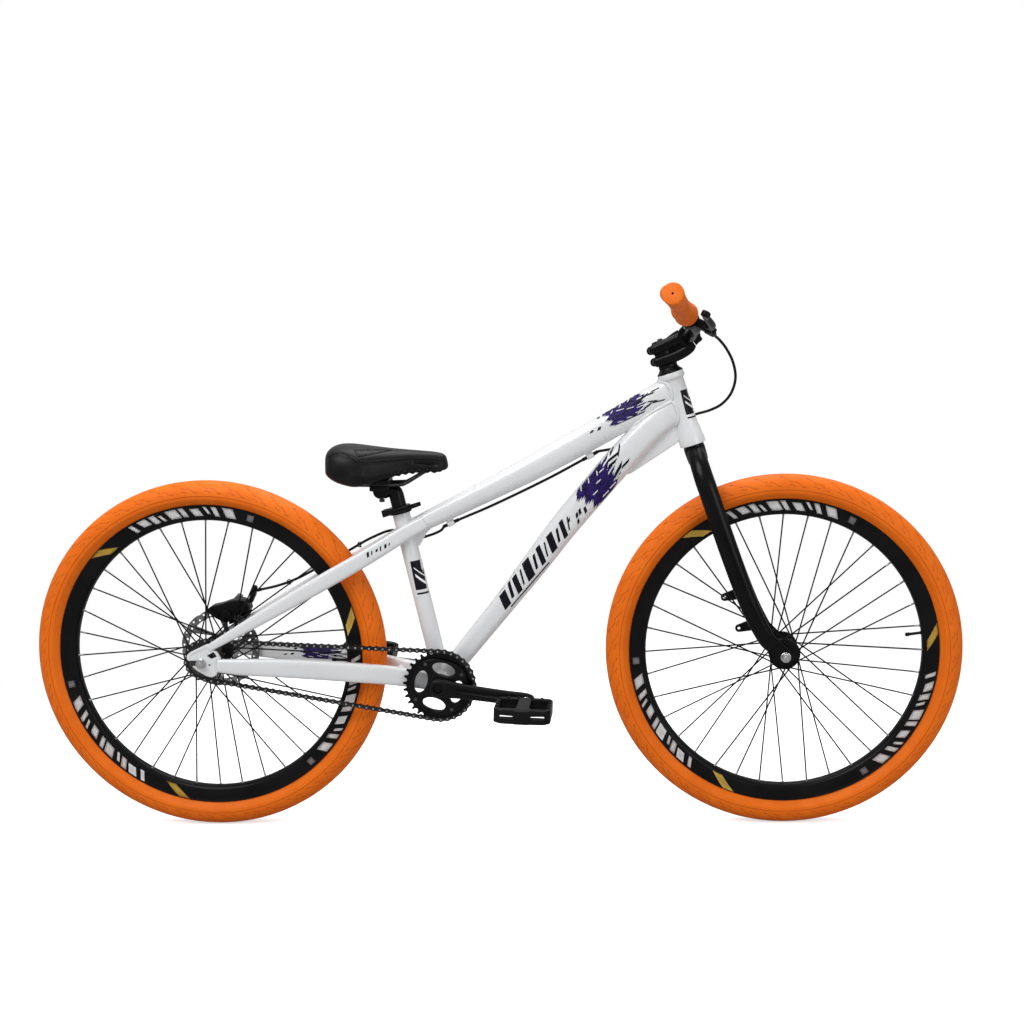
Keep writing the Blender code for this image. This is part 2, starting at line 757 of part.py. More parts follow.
def chainstay(name, sign, grow=0.0, hidden=False):
    """Box section, tall and flat, from the dropout past the tyre to the bottom bracket."""
    rows = (
        (0.030, 0.0705, 0.3250, 0.0070, 0.0120),
        (0.075, 0.0700, 0.3220, 0.0080, 0.0150),
        (0.155, 0.0600, 0.3165, 0.0085, 0.0170),
        (0.252, 0.0490, 0.3070, 0.0085, 0.0180),
        (0.310, 0.0405, 0.3000, 0.0085, 0.0178),
        (0.345, 0.0325, 0.2945, 0.0090, 0.0175),
        (0.385, 0.0280, 0.2875, 0.0095, 0.0170),
        (BB_X, 0.0260, DRAWN_BB_HEIGHT, 0.0078, 0.0160),
    )
    return tube(name, stay_stations(rows, sign), WHITE, 4.0, sides=12, grow=grow, hidden=hidden)


def seatstay(name, sign, grow=0.0, hidden=False):
    """Runs from the dropout beside the seat tube and into the flank of the top tube."""
    rows = (
        (0.016, 0.0705, 0.3585, 0.0060, 0.0068),
        (0.037, 0.0700, 0.3705, 0.0068, 0.0080),
        (0.124, 0.0615, 0.4190, 0.0078, 0.0125),
        (0.230, 0.0500, 0.4775, 0.0084, 0.0150),
        (0.293, 0.0400, 0.5120, 0.0086, 0.0148),
        (0.335, 0.0300, 0.5360, 0.0086, 0.0145),
        (0.372, 0.0205, 0.5580, 0.0082, 0.0140),
        (0.412, 0.0130, 0.5790, 0.0070, 0.0120),
    )
    return tube(name, stay_stations(rows, sign), WHITE, 3.2, sides=12, grow=grow, hidden=hidden)


DROPOUT_OUTLINE = (
    (-0.0270, 0.3400),
    (-0.0255, 0.3465),
    (-0.0200, 0.3510),
    (0.0130, 0.3665),
    (0.0200, 0.3560),
    (0.0295, 0.3520),
    (0.0370, 0.3370),
    (0.0290, 0.3370),
    (0.0290, 0.3130),
    (0.0260, 0.3065),
    (0.0160, 0.3035),
    (0.0060, 0.3075),
    (-0.0080, 0.3160),
    (-0.0165, 0.3235),
)
SLOT_HALF = 0.0055


def dropout(name, sign, hidden=False, grow=0.0):
    """Plate with an axle slot open to the rear, a lightening window and a small eyelet."""
    outline = side_points(DROPOUT_OUTLINE)
    middle = REAR_OLD / 2 + DROPOUT_THICKNESS / 2
    reach = DROPOUT_THICKNESS / 2 + grow
    low, high = sorted((sign * (middle - reach), sign * (middle + reach)))
    eyelet = circle(drawn(0.0150, 0, 0.3265), 0.0020, 8)
    window = side_points(((0.0120, 0.3445), (0.0245, 0.3505), (0.0285, 0.3430), (0.0175, 0.3385)))
    plate = flat(name, outline, low, high, WHITE, hidden, holes=() if grow else (eyelet, window))
    if grow:
        return plate
    slot = arc(REAR_AXLE, SLOT_HALF, -math.pi / 2, math.pi / 2, 9)
    slot += side_points(((-0.040, DRAWN_AXLE_HEIGHT + SLOT_HALF), (-0.040, DRAWN_AXLE_HEIGHT - SLOT_HALF)))
    cutter = flat(name + "_slot", slot, low - 0.01, high + 0.01, WHITE, hidden=True)
    return cut(plate, cutter)


def make_frame():
    """Tubes, plates and bosses, each coped to the next with a hairline of clearance."""
    head_grown = head_tube("head_tube_cope", GAP, True)
    seat_grown = seat_tube("seat_tube_cope", GAP, True)
    shell_grown = bb_shell("bb_shell_cope", GAP, True)
    down_grown = down_tube("down_tube_cope", GAP, True)
    top_grown = top_tube("top_tube_cope", GAP, True)
    reach = SIDE * (BB_SHELL_HALF + 0.012)
    ends = (BOTTOM_BRACKET - reach, BOTTOM_BRACKET + reach)
    cups_grown = rod("cup_clearance", *ends, CUP_RADIUS + GAP, WHITE, True, 20)
    head_tube("head_tube")
    bb_shell("bb_shell")
    cut(seat_tube("seat_tube"), shell_grown)
    cut(weld(down_tube("down_tube"), head_gusset()), head_grown, shell_grown, seat_grown)
    lugs, bores = cable_stops()
    cut(weld(top_tube("top_tube"), *lugs), head_grown, down_grown, seat_grown, *bores)
    for side, sign in (("right", -1), ("left", 1)):
        plate_grown = dropout(f"{side}_dropout_cope", sign, True, GAP)
        dropout(f"{side}_dropout", sign)
        stay = chainstay(f"{side}_chainstay", sign)
        cut(stay, plate_grown, shell_grown, cups_grown, seat_grown, down_grown)
        stay = seatstay(f"{side}_seatstay", sign)
        cut(stay, plate_grown, seat_grown, top_grown)
    make_bridges()
    make_seat_gusset(seat_grown, top_grown)


BRIDGE_RADIUS = 0.0075


def make_bridges():
    """The cross tubes that tie each pair of stays together, clear of the tyre."""
    for name, (x, z), reach, builder in (
        ("chainstay_bridge", (0.352, 0.2935), 0.034, chainstay),
        ("seatstay_bridge", (0.3130, 0.5235), 0.040, seatstay),
    ):
        bridge = rod(name, drawn(x, -reach, z), drawn(x, reach, z), BRIDGE_RADIUS, WHITE)
        cut(bridge, *[builder(f"{name}_cope_{i}", s, GAP, True) for i, s in enumerate((-1, 1))])


GUSSET_HALF = 0.009
SEAT_GUSSET_HALF = 0.006
STOP_RADIUS = 0.0052
STOP_HALF_LENGTH = 0.0065
FRONT_STOP = (0.7185, 0.6970)
REAR_STOP = (0.4590, 0.5750)
HOUSING_RADIUS = 0.0025
FRONT_STOP_WAY = (0.109, 0.0575)
REAR_STOP_WAY = (0.082, 0.039)


HEAD_GUSSET = (
    (0.780, 0.662),
    (0.792, 0.664),
    (0.876, 0.7185),
    (0.893, 0.733),
    (0.890, 0.775),
    (0.840, 0.750),
    (0.790, 0.690),
)
SEAT_GUSSET = ((0.375, 0.535), (0.399, 0.533), (0.412, 0.556), (0.445, 0.590), (0.395, 0.575))


def head_gusset():
    """Plate that fills the crotch under the down tube's bend, welded to it."""
    outline = side_points(HEAD_GUSSET)
    return flat("head_gusset", outline, -GUSSET_HALF, GUSSET_HALF, WHITE, hidden=True)


def make_seat_gusset(seat_grown, top_grown):
    half = SEAT_GUSSET_HALF
    plate = flat("seat_gusset", side_points(SEAT_GUSSET), -half, half, WHITE)
    return cut(plate, seat_grown, top_grown)


def cable_stops():
    """Two drilled lugs for the brake housing, brazed under the top tube."""
    lugs = []
    bores = []
    half = STOP_HALF_LENGTH
    for name, (x, z), slope in (
        ("front_cable_stop", FRONT_STOP, FRONT_STOP_WAY),
        ("rear_cable_stop", REAR_STOP, REAR_STOP_WAY),
    ):
        along = Vector((slope[0], 0, slope[1])).normalized()
        up = Vector((-along.z, 0, along.x))
        centre = drawn(x, 0, z)
        lugs.append(rod(name, centre - along * half, centre + along * half, STOP_RADIUS, WHITE, True, 10))
        foot = centre + up * 0.0060
        size = (2 * half, 0.0046, 0.0120)
        turn = basis(up)
        lugs.append(block(name + "_foot", foot, size, WHITE, True, turn))
        reach = along * half * 1.2
        bore = HOUSING_RADIUS + GAP
        bores.append(rod(name + "_bore", centre - reach, centre + reach, bore, WHITE, True, 8))
    return lugs, bores


# Front end
SKIRT_HEIGHT = 0.0095
SPACER_HEIGHT = 0.0060
STEM_LOW = HEAD_LENGTH + 0.0185
STEM_HIGH = STEM_LOW + 0.0385
STEM_RADIUS = 0.0185
STEERER_TOP = STEM_HIGH - 0.003
BAR_CENTRE = (0.9000, 0.9120)
BAR_CLAMP_RADIUS = 0.0127
BAR_CLAMP_HALF = 0.0240
STEM_CLAMP_RADIUS = 0.0205
CROWN_RADIUS = 0.0215
CROWN_TOP = -0.0055
CROWN_BOTTOM = -0.036
LEG_STATIONS = (
    (-0.012, 0.000, 0.0120, 0.0120, 0.0150),
    (-0.024, 0.000, 0.0250, 0.0130, 0.0165),
    (-0.042, 0.000, 0.0400, 0.0132, 0.0172),
    (-0.066, 0.000, 0.0505, 0.0132, 0.0175),
    (-0.100, 0.001, 0.0550, 0.0130, 0.0175),
    (-0.200, 0.003, 0.0560, 0.0128, 0.0175),
    (-0.275, 0.006, 0.0560, 0.0125, 0.0172),
    (-0.330, 0.011, 0.0555, 0.0118, 0.0165),
    (-0.374, 0.019, 0.0545, 0.0100, 0.0155),
    (-0.392, 0.026, 0.0535, 0.0060, 0.0130),
)
TAB_UPPER = (0.975, 0.432)
TAB_LOWER = (1.002, 0.372)


def fork_leg(name, sign, grow=0.0, hidden=False):
    stations = [
        (on_head(up, ahead, sign * side), width, height) for up, ahead, side, width, height in LEG_STATIONS
    ]
    return tube(name, stations, BLACK, 2.0, grow=grow, hidden=hidden)


def fork_dropout(name, sign):
    """Forged end that holds the axle in a slot open downwards."""
    middle = FRONT_OLD / 2 + DROPOUT_THICKNESS / 2
    low, high = sorted((sign * (middle - 0.003), sign * (middle + 0.003)))
    top = [on_head(-0.372, 0.030), on_head(-0.372, 0.008)]
    outline = top + arc(FRONT_AXLE, 0.0145, math.radians(195), math.radians(385), 9)
    return flat(name, outline, low, high, BLACK, hidden=True)


def axle_slot(name, sign):
    middle = FRONT_OLD / 2 + DROPOUT_THICKNESS / 2
    low, high = sorted((sign * (middle - 0.008), sign * (middle + 0.008)))
    slot = arc(FRONT_AXLE, SLOT_HALF, 0, math.pi, 9)
    drop = FRONT_AXLE - Vector((0, 0, 0.03))
    slot += [drop - Vector((SLOT_HALF, 0, 0)), drop + Vector((SLOT_HALF, 0, 0))]
    return flat(name, slot, low, high, BLACK, hidden=True)


def make_fork():
    half = STEERER_RADIUS
    profile = (
        (half, STEERER_TOP),
        (half, -0.002),
        (0.0190, -0.002),
        (0.0190, CROWN_TOP),
        (CROWN_RADIUS, CROWN_TOP - 0.002),
        (CROWN_RADIUS, CROWN_BOTTOM + 0.003),
        (CROWN_RADIUS - 0.003, CROWN_BOTTOM),
        (half - 0.0024, CROWN_BOTTOM),
        (half - 0.0024, STEERER_TOP),
    )
    turned("fork_steerer", profile, HEAD_FOOT, HEAD_UP, BLACK, steps=16)
    grown = (
        (0.0, CROWN_TOP + 0.01),
        (CROWN_RADIUS + GAP, CROWN_TOP + 0.01),
        (CROWN_RADIUS + GAP, CROWN_BOTTOM - 0.01),
        (0.0, CROWN_BOTTOM - 0.01),
    )
    crown_grown = turned("fork_crown_cope", grown, HEAD_FOOT, HEAD_UP, BLACK, hidden=True, steps=16)
    for side, sign in (("right", -1), ("left", 1)):
        leg = fork_leg(f"fork_{side}_leg", sign)
        weld(leg, fork_dropout(f"fork_{side}_end", sign))
        if sign > 0:
            weld(leg, *disc_tabs())
        cut(leg, crown_grown, axle_slot(f"fork_{side}_slot", sign))


def disc_tabs():
    """Two drilled ears for a disc caliper behind the left leg, left bare on this machine."""
    tabs = []
    for name, (x, z) in (("upper_disc_tab", TAB_UPPER), ("lower_disc_tab", TAB_LOWER)):
        eye = drawn(x - 0.010, 0, z - 0.012)
        outline = [drawn(x + 0.016, 0, z + 0.006), drawn(x + 0.016, 0, z - 0.016)]
        outline += arc(eye, 0.007, math.radians(280), math.radians(110), 6)
        hole = circle(eye, 0.003, 8)
        tabs.append(flat(name, outline, 0.0505, 0.0570, BLACK, hidden=True, holes=[hole]))
    return tabs


def make_headset():
    """Bearings pressed in the head tube, the crown race ring below and the dust skirt and spacer above."""
    bore = STEERER_RADIUS + BEARING_GAP
    outer = BEARING_RADIUS - GAP
    for name, low, high in (
        ("lower_headset_bearing", 0.0015, BEARING_DEPTH - GAP),
        ("upper_headset_bearing", HEAD_LENGTH - BEARING_DEPTH + GAP, HEAD_LENGTH - 0.0005),
    ):
        profile = ((outer, high), (outer, low), (bore, low), (bore, high))
        turned(name, profile, HEAD_FOOT, HEAD_UP, STEEL, steps=18)
    start = HEAD_LENGTH + GAP
    skirt = (
        (0.0172, start + SKIRT_HEIGHT + SPACER_HEIGHT),
        (0.0172, start + SKIRT_HEIGHT),
        (0.0195, start + 0.0050),
        (0.0235, start + 0.0015),
        (0.0235, start),
        (bore, start),
        (bore, start + SKIRT_HEIGHT + SPACER_HEIGHT),
    )
    turned("headset_cover", skirt, HEAD_FOOT, HEAD_UP, BLACK, steps=16)


def make_stem():
    """Steerer clamp with two bolt bosses behind, a ribbed body rising forwards, and half of the bar clamp."""
    bore = STEERER_RADIUS + GAP
    profile = (
        (STEM_RADIUS, STEM_HIGH),
        (STEM_RADIUS, STEM_LOW),
        (bore, STEM_LOW),
        (bore, STEM_HIGH),
    )
    stem = turned("stem", profile, HEAD_FOOT, HEAD_UP, BLACK, steps=16)
    centre = drawn(BAR_CENTRE[0], 0, BAR_CENTRE[1])
    root = on_head((STEM_LOW + STEM_HIGH) / 2)
    stations = [
        (root + (centre - root) * 0.10, 0.0150, 0.0190),
        (root + (centre - root) * 0.55, 0.0165, 0.0180),
        (root + (centre - root) * 0.82, 0.0225, 0.0170),
    ]
    body = tube("stem_body", stations, BLACK, 3.0, sides=12, hidden=True)
    clamp = rod(
        "stem_bar_clamp",
        centre - SIDE * BAR_CLAMP_HALF,
        centre + SIDE * BAR_CLAMP_HALF,
        STEM_CLAMP_RADIUS,
        BLACK,
        hidden=True,
        sides=16,
    )
    bosses = []
    for index, up in enumerate((STEM_LOW + 0.0085, STEM_HIGH - 0.0085)):
        low, high = on_head(up, -0.0215, -0.0125), on_head(up, -0.0215, 0.0125)
        bosses.append(rod(f"stem_boss_{index}", low, high, 0.0075, BLACK, hidden=True, sides=10))
    weld(stem, body, clamp, *bosses)
    steerer = rod("steerer_cope", on_head(STEM_LOW - 0.02), on_head(STEM_HIGH + 0.02), bore, BLACK, True, 16)
    bar = rod(
        "bar_cope",
        centre - SIDE * 0.05,
        centre + SIDE * 0.05,
        BAR_CLAMP_RADIUS + GAP,
        BLACK,
        hidden=True,
        sides=16,
    )
    ahead = (centre - root).normalized()
    split = block(
        "stem_split", centre + ahead * 0.0305, (0.06, 0.08, 0.06), BLACK, hidden=True, turn=basis(ahead)
    )
    slot = block(
        "stem_slot",
        on_head((STEM_LOW + STEM_HIGH) / 2, -0.025),
        (0.030, 0.0025, 0.08),
        BLACK,
        hidden=True,
        turn=basis(HEAD_UP),
    )
    cap_room = rod("cap_cope", on_head(STEM_HIGH), on_head(STEM_HIGH + 0.03), 0.0168, BLACK, True, 16)
    cut(stem, steerer, bar, split, slot, cap_room)
    plate = rod(
        "stem_faceplate",
        centre - SIDE * (BAR_CLAMP_HALF - 0.001),
        centre + SIDE * (BAR_CLAMP_HALF - 0.001),
        STEM_CLAMP_RADIUS,
        BLACK,
        sides=16,
    )
    back = block(
        "faceplate_back", centre - ahead * 0.0285, (0.06, 0.08, 0.06), BLACK, hidden=True, turn=basis(ahead)
    )
    cut(plate, bar, back)
    cap_foot = STEM_HIGH + GAP
    cap = (
        (0.0, cap_foot + 0.0065),
        (0.0045, cap_foot + 0.0065),
        (0.0050, cap_foot + 0.0045),
        (0.0150, cap_foot + 0.0040),
        (0.0165, cap_foot + 0.0020),
        (0.0165, cap_foot),
        (0.0, cap_foot),
    )
    turned("stem_cap", cap, HEAD_FOOT, HEAD_UP, BLACK, steps=16)


GRIP_INNER = (0.892, 0.205, 0.9530)
GRIP_OUTER = (0.868, 0.330, 0.9880)


def bar_points():
    """The handlebar's centre line from its middle to the left end."""
    middle = drawn(BAR_CENTRE[0], 0, BAR_CENTRE[1])
    inner, outer = drawn(*GRIP_INNER), drawn(*GRIP_OUTER)
    along = (outer - inner).normalized()
    return [
        middle,
        middle + SIDE * 0.030,
        middle + Vector((0.0012, 0.048, 0.0015)),
        middle + Vector((0.0050, 0.078, 0.0100)),
        inner - along * 0.088,
        inner - along * 0.060,
        inner,
        outer,
    ]


def mirrored(point):
    return Vector((point.x, -point.y, point.z))


def make_handlebar():
    half = bar_points()
    radii = [BAR_CLAMP_RADIUS, BAR_CLAMP_RADIUS, BAR_RADIUS + 0.0006] + [BAR_RADIUS] * 5
    points = [mirrored(point) for point in half[:0:-1]] + half
    sizes = radii[:0:-1] + radii
    rings = []
    inner_rings = []
    for i, (point, radius) in enumerate(zip(points, sizes)):
        along = points[min(i + 1, len(points) - 1)] - points[max(i - 1, 0)]
        turn = basis(along, Vector((0, 0, 1)))
        rings.append(superellipse(point, turn.col[0], turn.col[1], radius, radius, 2.0, BAR_SIDES))
        bore = radius - BAR_WALL
        inner_rings.append(superellipse(point, turn.col[0], turn.col[1], bore, bore, 2.0, BAR_SIDES))
    loft("handlebar", rings + inner_rings[::-1], BLACK, closed=True)


GRIP_WAIST = 0.0152
GRIP_INNER_FLANGE = 0.0205
GRIP_END_FLANGE = 0.0182
GRIP_CAP = 0.0035


def make_grips():
    """Rubber sleeves with a waist, a rounded flange inboard and a capped end with a small hole."""
    for side, sign in (("right", -1), ("left", 1)):
        inner = drawn(GRIP_INNER[0], sign * GRIP_INNER[1], GRIP_INNER[2])
        outer = drawn(GRIP_OUTER[0], sign * GRIP_OUTER[1], GRIP_OUTER[2])
        along = outer - inner
        length = along.length
        bore = BAR_RADIUS + GAP
        profile = (
            (GRIP_END_FLANGE, length + GAP + GRIP_CAP),
            (GRIP_END_FLANGE, length - 0.005),
            (GRIP_WAIST, length - 0.012),
            (GRIP_WAIST, length * 0.60),
            (GRIP_WAIST + 0.0018, length * 0.26),
            (GRIP_INNER_FLANGE, 0.008),
            (GRIP_INNER_FLANGE - 0.002, 0.0),
            (bore, 0.0),
            (bore, length + GAP),
            (0.0018, length + GAP),
            (0.0018, length + GAP + GRIP_CAP),
        )
        turned(f"{side}_grip", profile, inner, along, ORANGE, steps=14)


PERCH_FROM_GRIP = 0.030
PERCH_HALF_WIDTH = 0.0085
PERCH_RADIUS = 0.0162
LEVER_AHEAD = 0.034
LEVER_HALF_THICKNESS = 0.0035
FORK_HALF = 0.0040


def lever_frame():
    """Centre of the brake perch on the bar, the way outwards there, and the lever's way forwards."""
    inner = drawn(GRIP_INNER[0], -GRIP_INNER[1], GRIP_INNER[2])
    outer = drawn(GRIP_OUTER[0], -GRIP_OUTER[1], GRIP_OUTER[2])
    out = (outer - inner).normalized()
    lean = Vector((0.80, 0, -0.42))
    ahead = (lean - out * lean.dot(out)).normalized()
    return inner - out * PERCH_FROM_GRIP, out, ahead


def lever_point(out_by, ahead_by, up_by=0.0):
    centre, out, ahead = lever_frame()
    return centre + out * out_by + ahead * ahead_by + ahead.cross(out) * up_by


def solid_from(name, corners, half, up, paint, hidden=False):
    """A plate of the given thickness from an outline in any plane."""
    rings = [[corner - up * half for corner in corners], [corner + up * half for corner in corners]]
    return loft(name, rings, paint, hidden)


PIVOT_AT = (-0.004, 0.036)
CABLE_EXIT = (-0.030, 0.040)


def make_brake_lever():
    centre, out, ahead = lever_frame()
    up = ahead.cross(out)
    perch = turned(
        "brake_lever_perch",
        (
            (PERCH_RADIUS, PERCH_HALF_WIDTH),
            (PERCH_RADIUS, -PERCH_HALF_WIDTH),
            (BAR_RADIUS + GAP, -PERCH_HALF_WIDTH),
            (BAR_RADIUS + GAP, PERCH_HALF_WIDTH),
        ),
        centre,
        out,
        BLACK,
        steps=16,
    )
    arm_outline = [
        lever_point(*pair)
        for pair in (
            (-0.0075, 0.0130),
            (0.0075, 0.0130),
            (0.0060, 0.0300),
            (0.0035, 0.0430),
            (-0.0110, 0.0440),
            (-0.0250, 0.0450),
            (-0.0250, 0.0340),
            (-0.0120, 0.0290),
        )
    ]
    arm = solid_from("brake_perch_arm", arm_outline, 0.0075, up, BLACK, hidden=True)
    barrel = rod(
        "brake_barrel", lever_point(-0.020, 0.0395), lever_point(-0.0360, 0.0405), 0.0052, BLACK, True, 10
    )
    weld(perch, arm, barrel)
    pivot = lever_point(*PIVOT_AT)
    mouth = block(
        "brake_perch_mouth",
        lever_point(PIVOT_AT[0] + 0.001, PIVOT_AT[1] + 0.003),
        (0.024, 0.026, 2 * (LEVER_HALF_THICKNESS + GAP)),
        BLACK,
        hidden=True,
        turn=Matrix((ahead, out, up)).transposed(),
    )
    cut(perch, mouth)
    weld(perch, rod("brake_lever_pin", pivot - up * 0.0085, pivot + up * 0.0085, 0.0024, STEEL, True, 10))
    outline = [
        lever_point(*pair)
        for pair in (
            (-0.0085, 0.0330),
            (-0.0020, 0.0300),
            (0.0120, 0.0330),
            (0.0300, 0.0420),
            (0.0550, 0.0450),
            (0.0900, 0.0430),
            (0.1120, 0.0440),
            (0.1180, 0.0480),
            (0.1150, 0.0520),
            (0.0850, 0.0510),
            (0.0500, 0.0540),
            (0.0250, 0.0520),
            (0.0080, 0.0450),
            (-0.0060, 0.0420),
        )
    ]
    lever = solid_from("brake_lever", outline, LEVER_HALF_THICKNESS, up, BLACK)
    cut(lever, rod("lever_pin_hole", pivot - up * 0.02, pivot + up * 0.02, 0.0024 + GAP, BLACK, True, 10))


# Drive train
SPINDLE_RADIUS = 0.0085
SPINDLE_END_RADIUS = 0.0066
SPINDLE_HALF = 0.0630
ARM_INNER = 0.0560
ARM_OUTER = 0.0720
SPIDER_RADIUS = 0.052
BOLT_CIRCLE = 0.0490
RING_INNER = 0.0440
SPIDER_ARMS = 4
SPIDER_TURN = math.radians(28)
RING_BOLT_RADIUS = 0.0046
RING_BOLT_REACH = 0.0040
BOLT_HEAD_RADIUS = 0.0086
BOLT_WELL_RADIUS = 0.0092
RING_HALF_THICKNESS = 0.0014
SPIDER_OUTER = CHAIN_LINE + RING_HALF_THICKNESS + GAP
PEDAL_AXLE_END = 0.1700
PEDAL_FLATS_RADIUS = 0.0070
PEDAL_HALF_LENGTH = 0.0505
PEDAL_HALF_HEIGHT = 0.0125
PEDAL_INNER = 0.0960
PEDAL_OUTER = 0.1880
PEDAL_AXLE_RADIUS = 0.0045
PEDAL_TILT = {-1: math.radians(-3), 1: math.radians(-8)}
CRANK_AHEAD = Vector((math.cos(CRANK_SLOPE), 0, math.sin(CRANK_SLOPE)))


def make_bottom_bracket():
    """Sealed cartridge with a lipped cup at each end, and its spindle with a bolt in each slimmer end."""
    lip = BB_SHELL_HALF + GAP
    bore = SPINDLE_RADIUS + BEARING_GAP
    core = BB_BORE - GAP
    profile = (
        (CUP_RADIUS, lip + 0.004),
        (CUP_RADIUS, lip),
        (core, lip),
        (core, -lip),
        (CUP_RADIUS, -lip),
        (CUP_RADIUS, -lip - 0.004),
        (bore, -lip - 0.004),
        (bore, lip + 0.004),
    )
    turned("bottom_bracket", profile, BOTTOM_BRACKET, SIDE, DARK_STEEL, steps=16)
    shoulder = SPIDER_OUTER - 0.002
    half = (
        (0.0060, SPINDLE_HALF + 0.0060),
        (BOLT_HEAD_RADIUS, SPINDLE_HALF + 0.0045),
        (BOLT_HEAD_RADIUS, SPINDLE_HALF),
        (SPINDLE_END_RADIUS, SPINDLE_HALF),
        (SPINDLE_END_RADIUS, shoulder),
        (SPINDLE_RADIUS, shoulder - 0.002),
    )
    other = tuple((radius, -height) for radius, height in half[::-1])
    profile = ((0.0, half[0][1]), *half, *other, (0.0, -half[0][1]))
    turned("crank_spindle", profile, BOTTOM_BRACKET, SIDE, STEEL, steps=10)


def crank_arm(name, sign):
    """Forged arm: a thick boss on the spindle, a waisted arm leaning outwards and a round pedal eye."""
    middle = (ARM_INNER + ARM_OUTER) / 2
    towards = CRANK_AHEAD * -sign
    stations = []
    for share, half_width, half_height, flare in (
        (-0.085, 0.0060, 0.0090, 0.000),
        (-0.050, 0.0078, 0.0155, 0.000),
        (0.080, 0.0080, 0.0165, 0.000),
        (0.300, 0.0068, 0.0140, 0.002),
        (0.700, 0.0062, 0.0128, 0.005),
        (0.960, 0.0062, 0.0135, 0.007),
        (1.045, 0.0058, 0.0110, 0.007),
        (1.082, 0.0050, 0.0060, 0.007),
    ):
        point = BOTTOM_BRACKET + towards * CRANK_LENGTH * share + SIDE * sign * (middle + flare)
        stations.append((point, half_width, half_height))
    return tube(name, stations, BLACK, 3.0, sides=10)


def pedal_centre(sign):
    return BOTTOM_BRACKET + CRANK_AHEAD * -sign * CRANK_LENGTH


def make_cranks():
    for side, sign in (("right", -1), ("left", 1)):
        arm = crank_arm(f"{side}_crank_arm", sign)
        if sign < 0:
            weld(arm, spider())
        low, high = sign * 0.040, sign * SPINDLE_HALF
        hole = rod(
            f"{side}_crank_bore",
            BOTTOM_BRACKET + SIDE * low,
            BOTTOM_BRACKET + SIDE * high,
            SPINDLE_END_RADIUS + 2 * GAP,
            BLACK,
            True,
            10,
        )
        bolt_hole = rod(
            f"{side}_crank_bolt_hole",
            BOTTOM_BRACKET + SIDE * sign * (SPINDLE_HALF - GAP),
            BOTTOM_BRACKET + SIDE * sign * (ARM_OUTER + 0.01),
            BOLT_WELL_RADIUS,
            BLACK,
            True,
            10,
        )
        cut(arm, hole, bolt_hole)
        profile = (
            (0.0, PEDAL_AXLE_END),
            (PEDAL_AXLE_RADIUS, PEDAL_AXLE_END),
            (PEDAL_AXLE_RADIUS, PEDAL_INNER - 0.0010),
            (PEDAL_FLATS_RADIUS, PEDAL_INNER - 0.0020),
            (PEDAL_FLATS_RADIUS, ARM_INNER + 0.0050),
            (0.0, ARM_INNER + 0.0050),
        )
        spot = pedal_centre(sign)
        weld(arm, turned(f"{side}_pedal_axle", profile, spot, SIDE * sign, STEEL, hidden=True, steps=8))
    chainring()


def spider():
    """Four tapered legs that carry the chainring on their inner faces, with wide bays between them."""
    outline = []
    step = 2 * math.pi / SPIDER_ARMS
    for index in range(SPIDER_ARMS):
        middle = SPIDER_TURN + index * step
        leg = [(-0.62, 0.0230), (-0.24, 0.0330), (-0.165, 0.0490), (-0.09, 0.0560)]
        leg += [(0.09, 0.0560), (0.165, 0.0490), (0.24, 0.0330)]
        for turn, reach in leg:
            angle = middle + turn
            outline.append(BOTTOM_BRACKET + Vector((math.cos(angle), 0, math.sin(angle))) * reach)
    return flat("crank_spider", outline, -SPIDER_OUTER - 0.0085, -SPIDER_OUTER, BLACK, hidden=True)


def bolt_places():
    step = 2 * math.pi / SPIDER_ARMS
    return [
        BOTTOM_BRACKET
        + Vector((math.cos(SPIDER_TURN + i * step), 0, math.sin(SPIDER_TURN + i * step))) * BOLT_CIRCLE
        for i in range(SPIDER_ARMS)
    ]


def chainring():
    """Toothed ring with four bolts, their heads set against the inner face."""
    phase = tooth_phase(BOTTOM_BRACKET, 0.0)
    ring = flat(
        "chainring",
        sprocket_outline(BOTTOM_BRACKET, RING_TEETH, phase),
        -CHAIN_LINE - RING_HALF_THICKNESS,
        -CHAIN_LINE + RING_HALF_THICKNESS,
        BLACK,
        holes=[circle(BOTTOM_BRACKET, RING_INNER, 32)],
    )
    heads = []
    for index, spot in enumerate(bolt_places()):
        start = spot - SIDE * CHAIN_LINE
        end = start + SIDE * RING_BOLT_REACH
        heads.append(rod(f"ring_bolt_{index}", start, end, RING_BOLT_RADIUS, STEEL, True, 8))
    return weld(ring, *heads)


